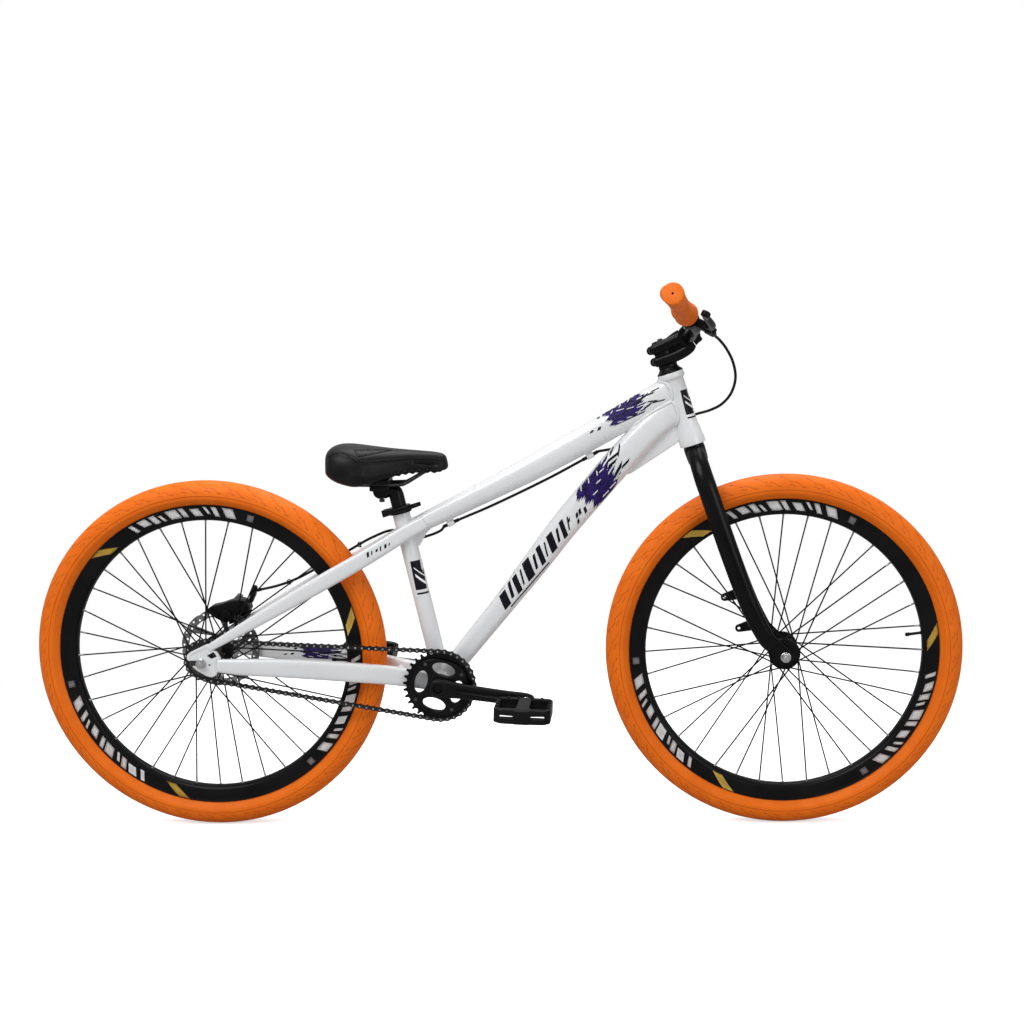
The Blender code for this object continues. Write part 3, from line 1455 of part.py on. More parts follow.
def pedal(name, sign):
    """Platform with a barrel for its axle, two windows through it and two slots in its outer wall."""
    centre = pedal_centre(sign)
    tilt = Matrix.Rotation(-PEDAL_TILT[sign], 3, "Y")
    half = PEDAL_HALF_LENGTH
    corners = []
    low, high = PEDAL_INNER, PEDAL_OUTER
    for x, y in (
        (-half + 0.008, low),
        (half - 0.008, low),
        (half, low + 0.010),
        (half, high - 0.014),
        (half - 0.010, high - 0.004),
        (0.015, high),
        (-0.015, high),
        (-half + 0.010, high - 0.004),
        (-half, high - 0.014),
        (-half, low + 0.010),
    ):
        corners.append(Vector((x, sign * y, 0)))
    rings = []
    for height, shrink in (
        (-PEDAL_HALF_HEIGHT, 0.93),
        (-PEDAL_HALF_HEIGHT * 0.6, 1.0),
        (PEDAL_HALF_HEIGHT * 0.6, 1.0),
        (PEDAL_HALF_HEIGHT, 0.97),
    ):
        rings.append([Vector((c.x * shrink, c.y, height)) for c in corners])
    body = loft(name, rings, PLASTIC)
    cutters = []
    mid_side = sign * (low + high) / 2
    for index, x in enumerate((-0.0275, 0.0275)):
        spot = Vector((x, mid_side - sign * 0.004, 0))
        cutters.append(block(f"{name}_window_{index}", spot, (0.029, 0.056, 0.06), PLASTIC, True))
        spot = Vector((x, sign * high, 0))
        cutters.append(block(f"{name}_slot_{index}", spot, (0.026, 0.050, 0.0065), PLASTIC, True))
    bore = rod(
        f"{name}_bore",
        Vector((0, sign * 0.05, 0)),
        Vector((0, sign * (high - 0.010), 0)),
        PEDAL_AXLE_RADIUS + BEARING_GAP,
        PLASTIC,
        True,
        12,
    )
    cutters.append(bore)
    cut(body, *cutters)
    spot = Matrix.Translation(centre) @ tilt.to_4x4()
    for piece in (body, *cutters):
        piece.matrix_world = spot
    return body


def make_pedals():
    for side, sign in (("right", -1), ("left", 1)):
        pedal(f"{side}_pedal", sign)


# Seat
COLLAR_RADIUS = 0.0205
BOLT_BEHIND = 0.0262
CAM_SIDE = -0.0192
CAM_RADIUS = 0.0048
COLLAR_LOW = SEAT_TUBE_LENGTH - 0.011
COLLAR_HIGH = SEAT_TUBE_LENGTH + 0.0025
POST_INSERTION = 0.1195
POST_FOOT = SEAT_TUBE_LENGTH - POST_INSERTION
POST_TOP = SEAT_TUBE_LENGTH + 0.026


def make_collar():
    """Split collar round the seat tube's top, with two lugs behind, its bolt and the quick-release lever."""
    bore = SEAT_TUBE_RADIUS + GAP
    lip = SEATPOST_RADIUS + SLIDE_GAP
    profile = (
        (COLLAR_RADIUS, COLLAR_HIGH),
        (COLLAR_RADIUS, COLLAR_LOW),
        (bore, COLLAR_LOW),
        (bore, SEAT_TUBE_LENGTH + GAP),
        (lip, SEAT_TUBE_LENGTH + GAP),
        (lip, COLLAR_HIGH),
    )
    collar = turned("seat_collar", profile, BOTTOM_BRACKET, SEAT_UP, BLACK, steps=16)
    middle = (COLLAR_LOW + COLLAR_HIGH) / 2
    turn = basis(SEAT_UP)
    lugs = block(
        "collar_lugs", on_seat(middle, -0.0250), (0.014, 0.020, 0.0125), BLACK, True, turn, bevel=0.002
    )
    weld(collar, lugs)
    slit = block("collar_slit", on_seat(middle, -0.0245), (0.026, 0.003, 0.03), BLACK, True, turn)
    cut(collar, slit)
    bolt = rod(
        "collar_bolt",
        on_seat(middle, -BOLT_BEHIND, CAM_SIDE + CAM_RADIUS + GAP),
        on_seat(middle, -BOLT_BEHIND, 0.0185),
        0.0025,
        STEEL,
        True,
        10,
    )
    weld(collar, bolt)
    path = (
        (-BOLT_BEHIND, -0.0200),
        (-0.0150, -0.0245),
        (0.0000, -0.0265),
        (0.0160, -0.0265),
        (0.0320, -0.0225),
        (0.0420, -0.0150),
    )
    stations = [
        (on_seat(middle + 0.002 + 0.05 * max(ahead, 0), ahead, side), 0.0022, 0.0048) for ahead, side in path
    ]
    lever = flat_lever("seat_lever", stations)
    barrel = rod(
        "seat_lever_cam",
        on_seat(middle - 0.0062, -BOLT_BEHIND, CAM_SIDE),
        on_seat(middle + 0.0062, -BOLT_BEHIND, CAM_SIDE),
        CAM_RADIUS,
        BLACK,
        True,
        10,
    )
    weld(lever, barrel)


def flat_lever(name, stations):
    """A strap whose broad face stays along the seat tube's axis."""
    rings = []
    for i, (point, half_thickness, half_height) in enumerate(stations):
        before = stations[max(i - 1, 0)][0]
        after = stations[min(i + 1, len(stations) - 1)][0]
        along = (after - before).normalized()
        up = (SEAT_UP - along * SEAT_UP.dot(along)).normalized()
        rings.append(superellipse(point, along.cross(up), up, half_thickness, half_height, 2.6, 10))
    return loft(name, rings, BLACK)


CLAMP_CENTRE = (0.3350, 0.6400)
CLAMP_RISE = 0.013762
CLAMP_BACK = 0.021219
CLAMP_BOLT_RADIUS = 0.003
RAIL_RADIUS = 0.0035
RAIL_HALF_GAP = 0.0220
RAIL_HEIGHT = 0.6505


def above_post(x, y, z):
    """A place of the saddle or its clamp, which follow the top of the post."""
    drawn_clamp = drawn(CLAMP_CENTRE[0], 0, CLAMP_CENTRE[1])
    return drawn(x, y, z) + on_seat(POST_TOP + CLAMP_RISE, -CLAMP_BACK) - drawn_clamp


def make_seatpost():
    """Straight post with a cast head that leans back to the rail clamp."""
    profile = (
        (SEATPOST_RADIUS, POST_TOP),
        (SEATPOST_RADIUS, POST_FOOT),
        (SEATPOST_RADIUS - 0.0025, POST_FOOT),
        (SEATPOST_RADIUS - 0.0025, POST_TOP - 0.012),
    )
    post = turned(
        "seatpost",
        ((0.0, POST_TOP), *profile, (0.0, POST_TOP - 0.012)),
        BOTTOM_BRACKET,
        SEAT_UP,
        BLACK,
        steps=12,
    )
    clamp = above_post(CLAMP_CENTRE[0], 0, CLAMP_CENTRE[1])
    stations = [
        (on_seat(POST_TOP - 0.010), 0.0125, 0.0125),
        (on_seat(POST_TOP + 0.004, -0.001), 0.0125, 0.0125),
        (on_seat(POST_TOP + 0.009, -0.010), 0.0130, 0.0095),
        (clamp + Vector((0.004, 0, -0.010)), 0.0160, 0.0075),
        (clamp + Vector((-0.008, 0, -0.008)), 0.0160, 0.0060),
    ]
    weld(post, tube("seatpost_head", stations, BLACK, 2.4, sides=10, hidden=True))
    spot = clamp + Vector((-0.003, 0, 0.0040))
    lower = block("rail_clamp_lower", spot, (0.036, 0.054, 0.011), BLACK, True, bevel=0.002)
    spot = clamp + Vector((-0.003, 0, 0.0155))
    upper = block("rail_clamp_upper", spot, (0.034, 0.054, 0.0105), BLACK, bevel=0.002)
    low, high = clamp + Vector((-0.003, 0, -0.0240)), clamp + Vector((-0.003, 0, 0.0235))
    bolt = rod("rail_clamp_bolt", low, high, CLAMP_BOLT_RADIUS, STEEL, True, 8)
    rails = rail_loop("rail_cope", GAP, True)
    cut(weld(post, lower), rails)
    weld(post, bolt)
    low, high = clamp + Vector((-0.003, 0, 0)), clamp + Vector((-0.003, 0, 0.05))
    hole = rod("clamp_bolt_hole", low, high, CLAMP_BOLT_RADIUS + GAP, BLACK, True, 10)
    cut(upper, rails, hole)


RAIL_HALF = (
    (0.4330, 0.0040, 0.6840),
    (0.4250, 0.0110, 0.6790),
    (0.4080, 0.0160, 0.6690),
    (0.3800, 0.0208, 0.6530),
    (0.3650, RAIL_HALF_GAP, RAIL_HEIGHT),
    (0.3000, RAIL_HALF_GAP, RAIL_HEIGHT),
    (0.2850, 0.0240, 0.6540),
    (0.2680, 0.0290, 0.6670),
    (0.2600, 0.0310, 0.6740),
)


def rail_loop(name, grow=0.0, hidden=False):
    """One bent bar: both rails, level in the clamp, joined under the nose and rising to the shell behind."""
    path = [(x, -y, z) for x, y, z in RAIL_HALF[::-1]] + list(RAIL_HALF)
    radius = RAIL_RADIUS + grow
    return tube(name, [(above_post(*row), radius, radius) for row in path], STEEL, sides=8, hidden=hidden)


SADDLE_ROWS = (
    (0.2325, 0.030, 0.7050, 0.6780),
    (0.2375, 0.050, 0.7190, 0.6640),
    (0.2500, 0.066, 0.7262, 0.6560),
    (0.2700, 0.0735, 0.7270, 0.6515),
    (0.2950, 0.0740, 0.7245, 0.6505),
    (0.3200, 0.0650, 0.7210, 0.6540),
    (0.3500, 0.0480, 0.7175, 0.6630),
    (0.3850, 0.0330, 0.7145, 0.6700),
    (0.4200, 0.0250, 0.7120, 0.6720),
    (0.4450, 0.0215, 0.7085, 0.6715),
    (0.4560, 0.0150, 0.7010, 0.6760),
)
SADDLE_DISH = 0.004


def saddle_ring(x, half_width, top, bottom):
    """A cross-section with a domed crown, full shoulders and a skirt that turns in at its foot."""
    crown = top - bottom
    pairs = (
        (-0.78, 0.0),
        (-0.97, 0.16),
        (-1.0, 0.40),
        (-0.93, 0.70),
        (-0.72, 0.90),
        (-0.40, 0.98),
        (-0.12, 1.0 - SADDLE_DISH / crown),
        (0.12, 1.0 - SADDLE_DISH / crown),
        (0.40, 0.98),
        (0.72, 0.90),
        (0.93, 0.70),
        (1.0, 0.40),
        (0.97, 0.16),
        (0.78, 0.0),
    )
    return [above_post(x, half_width * side, bottom + crown * lift) for side, lift in pairs]


SHELL_HEIGHT = 0.004


def make_saddle():
    """Padded cover over a thin shell whose hollow underside takes the rails' ends."""
    cover = loft("saddle_cover", [saddle_ring(*row) for row in SADDLE_ROWS], VINYL)
    hollow_rows = [(x, width * 0.80, top - 0.030, bottom) for x, width, top, bottom in SADDLE_ROWS[2:-1]]
    under = []
    shell = []
    for x, width, top, bottom in hollow_rows:
        roof = max(bottom + 0.018, min(top, bottom + 0.030))
        under.append(
            [
                above_post(x, -width, bottom - 0.02),
                above_post(x, -width * 0.9, roof),
                above_post(x, width * 0.9, roof),
                above_post(x, width, bottom - 0.02),
            ]
        )
        inner, height = width * 0.9 - GAP * 2, roof - GAP
        shell.append(
            [
                above_post(x, -inner, height - SHELL_HEIGHT),
                above_post(x, -inner, height),
                above_post(x, inner, height),
                above_post(x, inner, height - SHELL_HEIGHT),
            ]
        )
    cut(cover, loft("saddle_hollow", under, VINYL, hidden=True))
    loft("saddle_shell", shell, PLASTIC)
    ceiling = loft("rail_top_cope", grown_shell(hollow_rows), PLASTIC, hidden=True)
    cut(rail_loop("saddle_rail"), ceiling)


def grown_shell(rows):
    rings = []
    for x, width, top, bottom in rows:
        roof = max(bottom + 0.018, min(top, bottom + 0.030))
        inner, height = width * 0.9, roof
        low = height - SHELL_HEIGHT - GAP * 2
        rings.append(
            [
                above_post(x, -inner, low),
                above_post(x, -inner, height + 0.02),
                above_post(x, inner, height + 0.02),
                above_post(x, inner, low),
            ]
        )
    return rings


# Brake at the rear
CALIPER_OUTLINE = (
    (-0.0200, 0.4030),
    (-0.0130, 0.4130),
    (0.0060, 0.4165),
    (0.0260, 0.4235),
    (0.0480, 0.4265),
    (0.0600, 0.4180),
    (0.0640, 0.4040),
    (0.0480, 0.4000),
    (0.0300, 0.3935),
    (0.0160, 0.3800),
    (-0.0040, 0.3900),
)
CALIPER_NEAR = 0.0385
CALIPER_FAR = 0.0680
PAD_THICKNESS = 0.0026
PAD_GAP = 0.0006
MOVING_PAD_GAP = 0.0012
SLOT_NEAR = ROTOR_SIDE - ROTOR_HALF_THICKNESS - PAD_GAP - PAD_THICKNESS - GAP
SLOT_FAR = ROTOR_SIDE + ROTOR_HALF_THICKNESS + MOVING_PAD_GAP + PAD_THICKNESS + 2 * GAP
PAD_CENTRE = (0.0175, 0.3945)
PAD_HALF = 0.0095
CALIPER_ARM_PIVOT = (0.0180, 0.4020)
CALIPER_ARM_THICKNESS = 0.005
CALIPER_ARM_OUTLINE = (
    (0.009, -0.003),
    (0.009, 0.005),
    (0.005, 0.036),
    (-0.005, 0.036),
    (-0.009, 0.005),
    (-0.009, -0.003),
    (-0.004, -0.009),
    (0.004, -0.009),
)
CALIPER_BRACKET = (
    (0.0150, 0.3720),
    (0.0480, 0.3840),
    (0.0600, 0.3960),
    (0.0600, 0.4080),
    (0.0300, 0.4080),
    (0.0150, 0.3900),
)
BRACKET_HALF = 0.0030
EAR_WIDTH = 0.0080
CALIPER_EAR = ((0.0535, 0.4165), (0.0600, 0.4120), (0.0690, 0.4300), (0.0690, 0.4420), (0.0625, 0.4420))


def make_caliper():
    """Caliper body bridging the rotor, one pad each side, and the cable arm on the outboard face."""
    body = flat("brake_caliper", side_points(CALIPER_OUTLINE), CALIPER_NEAR, CALIPER_FAR, BLACK)
    reach = ROTOR_RADIUS + 0.0018
    slot = rod(
        "caliper_slot",
        REAR_AXLE + SIDE * SLOT_NEAR,
        REAR_AXLE + SIDE * SLOT_FAR,
        reach,
        BLACK,
        True,
        48,
    )
    middle = CALIPER_FAR - BRACKET_HALF
    outline = side_points(CALIPER_BRACKET)
    low, high = middle - BRACKET_HALF, middle + BRACKET_HALF
    weld(body, flat("caliper_bracket", outline, low, high, BLACK, hidden=True))
    outline = side_points(CALIPER_EAR)
    low, high = CALIPER_FAR - EAR_WIDTH / 2, CALIPER_FAR + EAR_WIDTH
    weld(body, flat("caliper_ear", outline, low, high, BLACK, hidden=True))
    cut(body, slot, seatstay("caliper_cope", 1, GAP, True))
    for name, low in (
        ("inner_brake_pad", SLOT_NEAR + GAP),
        ("outer_brake_pad", SLOT_FAR - GAP - PAD_THICKNESS),
    ):
        centre = drawn(PAD_CENTRE[0], 0, PAD_CENTRE[1])
        flat(name, circle(centre, PAD_HALF, 12), low, low + PAD_THICKNESS, STEEL)
    pivot = drawn(CALIPER_ARM_PIVOT[0], 0, CALIPER_ARM_PIVOT[1])
    low = CALIPER_FAR + GAP
    tip = drawn(0.0420, 0, 0.4330)
    along = (tip - pivot).normalized()
    square = Vector((-along.z, 0, along.x))
    outline = [pivot + square * across + along * ahead for across, ahead in CALIPER_ARM_OUTLINE]
    flat("caliper_arm", outline, low, low + CALIPER_ARM_THICKNESS, BLACK)


FRONT_LOOP = (
    (0.9250, -0.128, 0.9020),
    (0.9500, -0.106, 0.8930),
    (0.9700, -0.086, 0.8690),
    (0.9790, -0.070, 0.8400),
    (0.9735, -0.050, 0.8120),
    (0.9580, -0.028, 0.7910),
    (0.9370, -0.004, 0.7780),
    (0.9150, 0.018, 0.7700),
    (0.8930, 0.0300, 0.7620),
    (0.8600, 0.0335, 0.7460),
    (0.8250, 0.0335, 0.7310),
    (0.7950, 0.0310, 0.7200),
    (0.7650, 0.0280, 0.7080),
    (0.7460, 0.0110, 0.7060),
)


def spline_points(route, count):
    """Evenly shared points on a smooth curve through the route's own points."""
    points = [drawn(*row) if not isinstance(row, Vector) else row for row in route]
    padded = [points[0] * 2 - points[1], *points, points[-1] * 2 - points[-2]]
    smooth = []
    spans = len(points) - 1
    for i in range(count):
        at = i * spans / (count - 1)
        span = min(int(at), spans - 1)
        t = at - span
        a, b, c, d = padded[span : span + 4]
        smooth.append(
            0.5
            * (
                2 * b
                + (c - a) * t
                + (2 * a - 5 * b + 4 * c - d) * t * t
                + (3 * b - a - 3 * c + d) * t**3
            )
        )
    return smooth


def cable(name, route, count):
    """Round housing on a smooth route, as a curve with a round bevel and filled caps."""
    curve = bpy.data.curves.new(name, "CURVE")
    curve.dimensions = "3D"
    curve.bevel_depth = HOUSING_RADIUS
    curve.bevel_resolution = 1
    curve.use_fill_caps = True
    spline = curve.splines.new("POLY")
    points = spline_points(route, count)
    spline.points.add(len(points) - 1)
    for target, point in zip(spline.points, points):
        target.co = (*point, 1.0)
    obj = bpy.data.objects.new(name, curve)
    curve.materials.append(PLASTIC)
    PARTS.objects.link(obj)
    return obj


def stop_face(spot, slope, sign):
    """The point at which a housing meets an end of a cable stop."""
    along = Vector((slope[0], 0, slope[1])).normalized()
    return drawn(spot[0], 0, spot[1]) + along * sign * (STOP_HALF_LENGTH + GAP), along


def make_cables():
    front_end, front_way = stop_face(FRONT_STOP, FRONT_STOP_WAY, 1)
    mid_start, _ = stop_face(FRONT_STOP, FRONT_STOP_WAY, -1)
    mid_end, _ = stop_face(REAR_STOP, REAR_STOP_WAY, 1)
    rear_start, rear_way = stop_face(REAR_STOP, REAR_STOP_WAY, -1)
    lever_end = lever_point(-0.0368, 0.0405)
    _, out, _ = lever_frame()
    route = [lever_end, lever_end - out * 0.012] + [drawn(*row) for row in FRONT_LOOP]
    route += [front_end + front_way * 0.010, front_end]
    cable("brake_cable_front", route, 40)
    sag = Vector((0, 0, -0.004))
    route = [mid_start, mid_start.lerp(mid_end, 0.3) + sag, mid_start.lerp(mid_end, 0.7) + sag, mid_end]
    cable("brake_cable_middle", route, 12)
    rows = (
        (0.4380, 0.0080, 0.5600),
        (0.4150, 0.0235, 0.5490),
        (0.3850, 0.0330, 0.5420),
        (0.3450, 0.0440, 0.5560),
        (0.3000, 0.0560, 0.5405),
        (0.2500, 0.0625, 0.5130),
        (0.2000, 0.0660, 0.4860),
        (0.1500, 0.0720, 0.4600),
        (0.1100, 0.0740, 0.4455),
        (0.0696, 0.0725, 0.4370),
    )
    route = [rear_start, rear_start - rear_way * 0.008] + [drawn(*row) for row in rows]
    cable("brake_cable_rear", route, 30)


def group_on(name, at, children):
    """An empty on the joint's axis that carries the pieces which move with it."""
    holder = bpy.data.objects.new(name, None)
    holder.empty_display_size = 0.05
    holder.location = at
    PARTS.objects.link(holder)
    for child in children:
        piece = bpy.data.objects[child]
        piece.parent = holder
        piece.matrix_parent_inverse = Matrix.Translation(-at)


def main():
    make_frame()
    make_fork()
    make_headset()
    make_stem()
    make_handlebar()
    make_grips()
    make_brake_lever()
    make_bottom_bracket()
    make_cranks()
    make_pedals()
    make_chain()
    make_freewheel()
    make_rotor()
    make_collar()
    make_seatpost()
    make_saddle()
    make_caliper()
    make_cables()
    for end, centre, old, flanges, ends, valve in (
        ("front", FRONT_AXLE, FRONT_OLD, (-0.030, 0.028), (-0.0465, 0.0465), FRONT_VALVE_ANGLE),
        ("rear", REAR_AXLE, REAR_OLD, (-0.030, 0.0335), (-0.0605, 0.0605), REAR_VALVE_ANGLE),
    ):
        make_tyre(f"{end}_tyre", centre)
        make_rim(f"{end}_rim", centre, valve)
        make_hub(f"{end}_hub_and_spokes", centre, *flanges, *ends)
        make_axle(f"{end}_axle", centre, old)
    group_on("front_wheel_axis", FRONT_AXLE, ("front_tyre", "front_rim", "front_hub_and_spokes"))
    wheel = ("rear_tyre", "rear_rim", "rear_hub_and_spokes", "brake_rotor")
    group_on("rear_wheel_axis", REAR_AXLE, wheel)


main()
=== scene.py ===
"""Looks for the freeride bicycle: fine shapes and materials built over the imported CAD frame."""

import math

import bmesh
import bpy
from mathutils import Matrix, Vector
from mathutils.bvhtree import BVHTree


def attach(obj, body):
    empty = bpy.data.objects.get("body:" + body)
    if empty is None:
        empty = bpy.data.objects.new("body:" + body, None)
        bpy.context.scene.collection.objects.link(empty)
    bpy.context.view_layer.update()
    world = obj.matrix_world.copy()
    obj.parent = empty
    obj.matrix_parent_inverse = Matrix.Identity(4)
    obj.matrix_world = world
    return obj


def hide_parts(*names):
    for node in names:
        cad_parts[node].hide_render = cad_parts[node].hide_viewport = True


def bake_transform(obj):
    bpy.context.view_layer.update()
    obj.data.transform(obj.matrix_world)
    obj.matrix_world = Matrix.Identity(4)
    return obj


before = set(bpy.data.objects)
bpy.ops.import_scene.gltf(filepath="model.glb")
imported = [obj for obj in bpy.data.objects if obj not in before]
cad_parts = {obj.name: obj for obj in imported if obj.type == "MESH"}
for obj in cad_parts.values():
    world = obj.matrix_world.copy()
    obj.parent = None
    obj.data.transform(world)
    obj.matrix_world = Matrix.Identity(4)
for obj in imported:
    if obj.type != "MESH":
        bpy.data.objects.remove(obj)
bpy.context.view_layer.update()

# Layout shared with the CAD part, in metres
WHEELBASE = 1.071
AXLE_HEIGHT = 0.330
BB_X = 0.43419264
BB_HEIGHT = 0.2785
HEAD_ANGLE = math.radians(72.7)
SEAT_ANGLE = math.radians(77.9)
HEAD_LENGTH = 0.1365
SEAT_TUBE_LENGTH = 0.3345
CHAIN_LINE = 0.047
SIDE = Vector((0, 1, 0))


def place(x, y, z):
    return Vector((x - WHEELBASE / 2, y, z))


REAR_AXLE = place(0, 0, AXLE_HEIGHT)
FRONT_AXLE = place(WHEELBASE, 0, AXLE_HEIGHT)
BOTTOM_BRACKET = place(BB_X, 0, BB_HEIGHT)
HEAD_FOOT = place(0.9065, 0, 0.716)
HEAD_UP = Vector((-math.cos(HEAD_ANGLE), 0, math.sin(HEAD_ANGLE)))
HEAD_AHEAD = Vector((math.sin(HEAD_ANGLE), 0, math.cos(HEAD_ANGLE)))
SEAT_UP = Vector((-math.cos(SEAT_ANGLE), 0, math.sin(SEAT_ANGLE)))
SEAT_AHEAD = Vector((math.sin(SEAT_ANGLE), 0, math.cos(SEAT_ANGLE)))


def on_head(up, ahead=0.0, side=0.0):
    return HEAD_FOOT + HEAD_UP * up + HEAD_AHEAD * ahead + SIDE * side


def on_seat(up, ahead=0.0, side=0.0):
    return BOTTOM_BRACKET + SEAT_UP * up + SEAT_AHEAD * ahead + SIDE * side


# Materials
class Nodes:
    """A small helper that wires shader nodes by name."""

    def __init__(self, name):
        self.mat = bpy.data.materials.new(name)
        self.mat.use_nodes = True
        self.tree = self.mat.node_tree
        self.shader = self.tree.nodes["Principled BSDF"]

    def new(self, kind, **settings):
        node = self.tree.nodes.new(kind)
        for key, value in settings.items():
            setattr(node, key, value)
        return node

    def link(self, output, target):
        self.tree.links.new(output, target)

    def math(self, operation, first, second):
        node = self.new("ShaderNodeMath", operation=operation)
        for index, value in enumerate((first, second)):
            if isinstance(value, (int, float)):
                node.inputs[index].default_value = value
            else:
                self.link(value, node.inputs[index])
        return node.outputs[0]

    def mix(self, factor, first, second):
        node = self.new("ShaderNodeMix", data_type="RGBA")
        for socket, value in ((node.inputs[0], factor), (node.inputs[6], first), (node.inputs[7], second)):
            if isinstance(value, (tuple, list)):
                socket.default_value = (*value, 1.0)
            elif isinstance(value, (int, float)):
                socket.default_value = value
            else:
                self.link(value, socket)
        return node.outputs[2]

    def coords(self):
        return self.new("ShaderNodeTexCoord").outputs["Object"]

    def noise(self, scale, detail, roughness):
        node = self.new("ShaderNodeTexNoise")
        node.inputs["Scale"].default_value = scale
        node.inputs["Detail"].default_value = detail
        node.inputs["Roughness"].default_value = roughness
        self.link(self.coords(), node.inputs["Vector"])
        return node.outputs["Fac"]

    def ramp(self, value, low, high, start=0.0, end=1.0):
        node = self.new("ShaderNodeMapRange", interpolation_type="SMOOTHSTEP")
        self.link(value, node.inputs["Value"])
        for key, number in (("From Min", low), ("From Max", high), ("To Min", start), ("To Max", end)):
            node.inputs[key].default_value = number
        return node.outputs[0]

    def bump(self, height, distance):
        node = self.new("ShaderNodeBump")
        node.inputs["Distance"].default_value = distance
        node.inputs["Strength"].default_value = 1.0
        self.link(height, node.inputs["Height"])
        self.link(node.outputs[0], self.shader.inputs["Normal"])

    def put(self, **values):
        names = {"colour": "Base Color", "roughness": "Roughness", "metallic": "Metallic", "coat": "Coat Weight",
                 "coat_rough": "Coat Roughness", "specular": "Specular IOR Level"}
        for key, value in values.items():
            socket = self.shader.inputs[names[key]]
            if isinstance(value, tuple):
                socket.default_value = (*value, 1.0)
            elif isinstance(value, (int, float)):
                socket.default_value = value
            else:
                self.link(value, socket)
        return self


def finish_of(name, base, other, rough, metallic=0.0, grain=400.0, bump=0.00003, patch=14.0, coat=0.0,
              specular=0.5, cut=None):
    """A surface with two close tones in soft patches, uneven gloss, a fine grain and, with a cut colour, painted shade
    darkening the grooves marked in the groove attribute.
    """
    m = Nodes(name)
    broad = m.noise(patch, 4.0, 0.6)
    fine_grain = m.noise(grain, 3.0, 0.6)
    colour = m.mix(m.ramp(broad, 0.35, 0.65), base, other)
    # The cut colour is painted shade: it darkens the recessed grooves of the groove attribute towards a deeper tone.
    if cut:
        groove = m.new("ShaderNodeAttribute", attribute_name="groove").outputs["Fac"]
        colour = m.mix(m.ramp(groove, 0.15, 0.8), colour, cut)
    mixed = m.math("ADD", m.math("MULTIPLY", broad, 0.5), m.math("MULTIPLY", fine_grain, 0.5))
    m.put(colour=colour, roughness=m.ramp(mixed, 0.35, 0.65, rough[0], rough[1]), metallic=metallic, coat=coat,
          specular=specular, coat_rough=0.12)
    m.bump(fine_grain, bump)
    return m.mat


WHITE = finish_of("white_gloss_paint", (0.80, 0.81, 0.82), (0.76, 0.77, 0.785), (0.22, 0.32),
                  grain=900, bump=0.000006, patch=6, coat=0.6)
BLACK = finish_of("black_gloss_paint", (0.0022, 0.0022, 0.0025), (0.0045, 0.0045, 0.005),
                  (0.16, 0.26), grain=700, bump=0.00001, specular=0.14)
ALLOY = finish_of("black_anodised_alloy", (0.003, 0.003, 0.0034), (0.006, 0.006, 0.0066),
                  (0.24, 0.36), 0.05, grain=1400, bump=0.00001, specular=0.15)
PLASTIC = finish_of("moulded_black_plastic", (0.003, 0.003, 0.003), (0.006, 0.006, 0.006),
                    (0.34, 0.48), grain=1100, bump=0.00004, specular=0.14)
STEEL = finish_of("bright_steel", (0.60, 0.60, 0.61), (0.48, 0.48, 0.50), (0.20, 0.36), 1.0,
                  grain=1200, bump=0.00001)
DARK_STEEL = finish_of("oiled_dark_steel", (0.045, 0.042, 0.040), (0.085, 0.082, 0.080), (0.28, 0.46),
                       0.9, grain=900, bump=0.00002)
SPOKE = finish_of("black_steel_spokes", (0.004, 0.004, 0.0045), (0.008, 0.008, 0.009), (0.3, 0.4),
                  specular=0.12)
CABLE = finish_of("black_cable_housing", (0.006, 0.006, 0.006), (0.010, 0.010, 0.010), (0.32, 0.44),
                  grain=600, specular=0.15)
SILVER = finish_of("brushed_silver_alloy", (0.42, 0.42, 0.43), (0.34, 0.34, 0.35), (0.30, 0.42), 0.9,
                   grain=1300, bump=0.00001)
GRIP = finish_of("orange_grip_rubber", (0.88, 0.172, 0.003), (0.83, 0.152, 0.002), (0.52, 0.66),
                 grain=900, bump=0.00001, patch=30, specular=0.3)
# The tyre's cut colour is painted shade: a deeper orange laid into the tread grooves and along a line by each sidewall
# ridge.
TYRE = finish_of("orange_tyre_rubber", (0.88, 0.172, 0.003), (0.83, 0.152, 0.002), (0.5, 0.68),
                 grain=700, bump=0.00005, patch=22, specular=0.25, cut=(0.46, 0.072, 0.002))
RIM_PAINT = finish_of("black_rim_paint", (0.0035, 0.0035, 0.004), (0.006, 0.006, 0.0065),
                      (0.26, 0.38), grain=500, bump=0.00001, specular=0.12)
NIPPLE = finish_of("plated_nipples", (0.34, 0.34, 0.35), (0.26, 0.26, 0.27), (0.3, 0.42), 0.9)
CHAIN_METAL = finish_of("dark_chain_plates", (0.016, 0.016, 0.016), (0.030, 0.029, 0.028), (0.3, 0.44),
                        0.6, grain=1200)
BOLT_METAL = finish_of("worn_bolt_heads", (0.13, 0.13, 0.135), (0.08, 0.08, 0.085), (0.28, 0.4), 0.9)
ROTOR_METAL = finish_of("ground_rotor_steel", (0.30, 0.30, 0.31), (0.20, 0.20, 0.21), (0.24, 0.40),
                        1.0, grain=1500, bump=0.00001, patch=40)
PAD_METAL = finish_of("sintered_pad", (0.16, 0.13, 0.11), (0.10, 0.085, 0.075), (0.6, 0.8), 0.3,
                      grain=1800, bump=0.00008)
VINYL = finish_of("saddle_vinyl", (0.005, 0.005, 0.005), (0.009, 0.009, 0.009), (0.32, 0.44), grain=1700,
                  bump=0.00009, patch=30, specular=0.17)
VINYL_DARK = finish_of("saddle_piping", (0.002, 0.002, 0.002), (0.004, 0.004, 0.004), (0.4, 0.5),
                       grain=1700, bump=0.00004, specular=0.12)
THREAD = finish_of("saddle_thread", (0.05, 0.05, 0.05), (0.035, 0.035, 0.035), (0.6, 0.8), grain=3000,
                   bump=0.00004)
RAIL_METAL = finish_of("dark_rail_steel", (0.04, 0.04, 0.042), (0.065, 0.065, 0.067), (0.3, 0.42),
                       0.9, grain=1200)
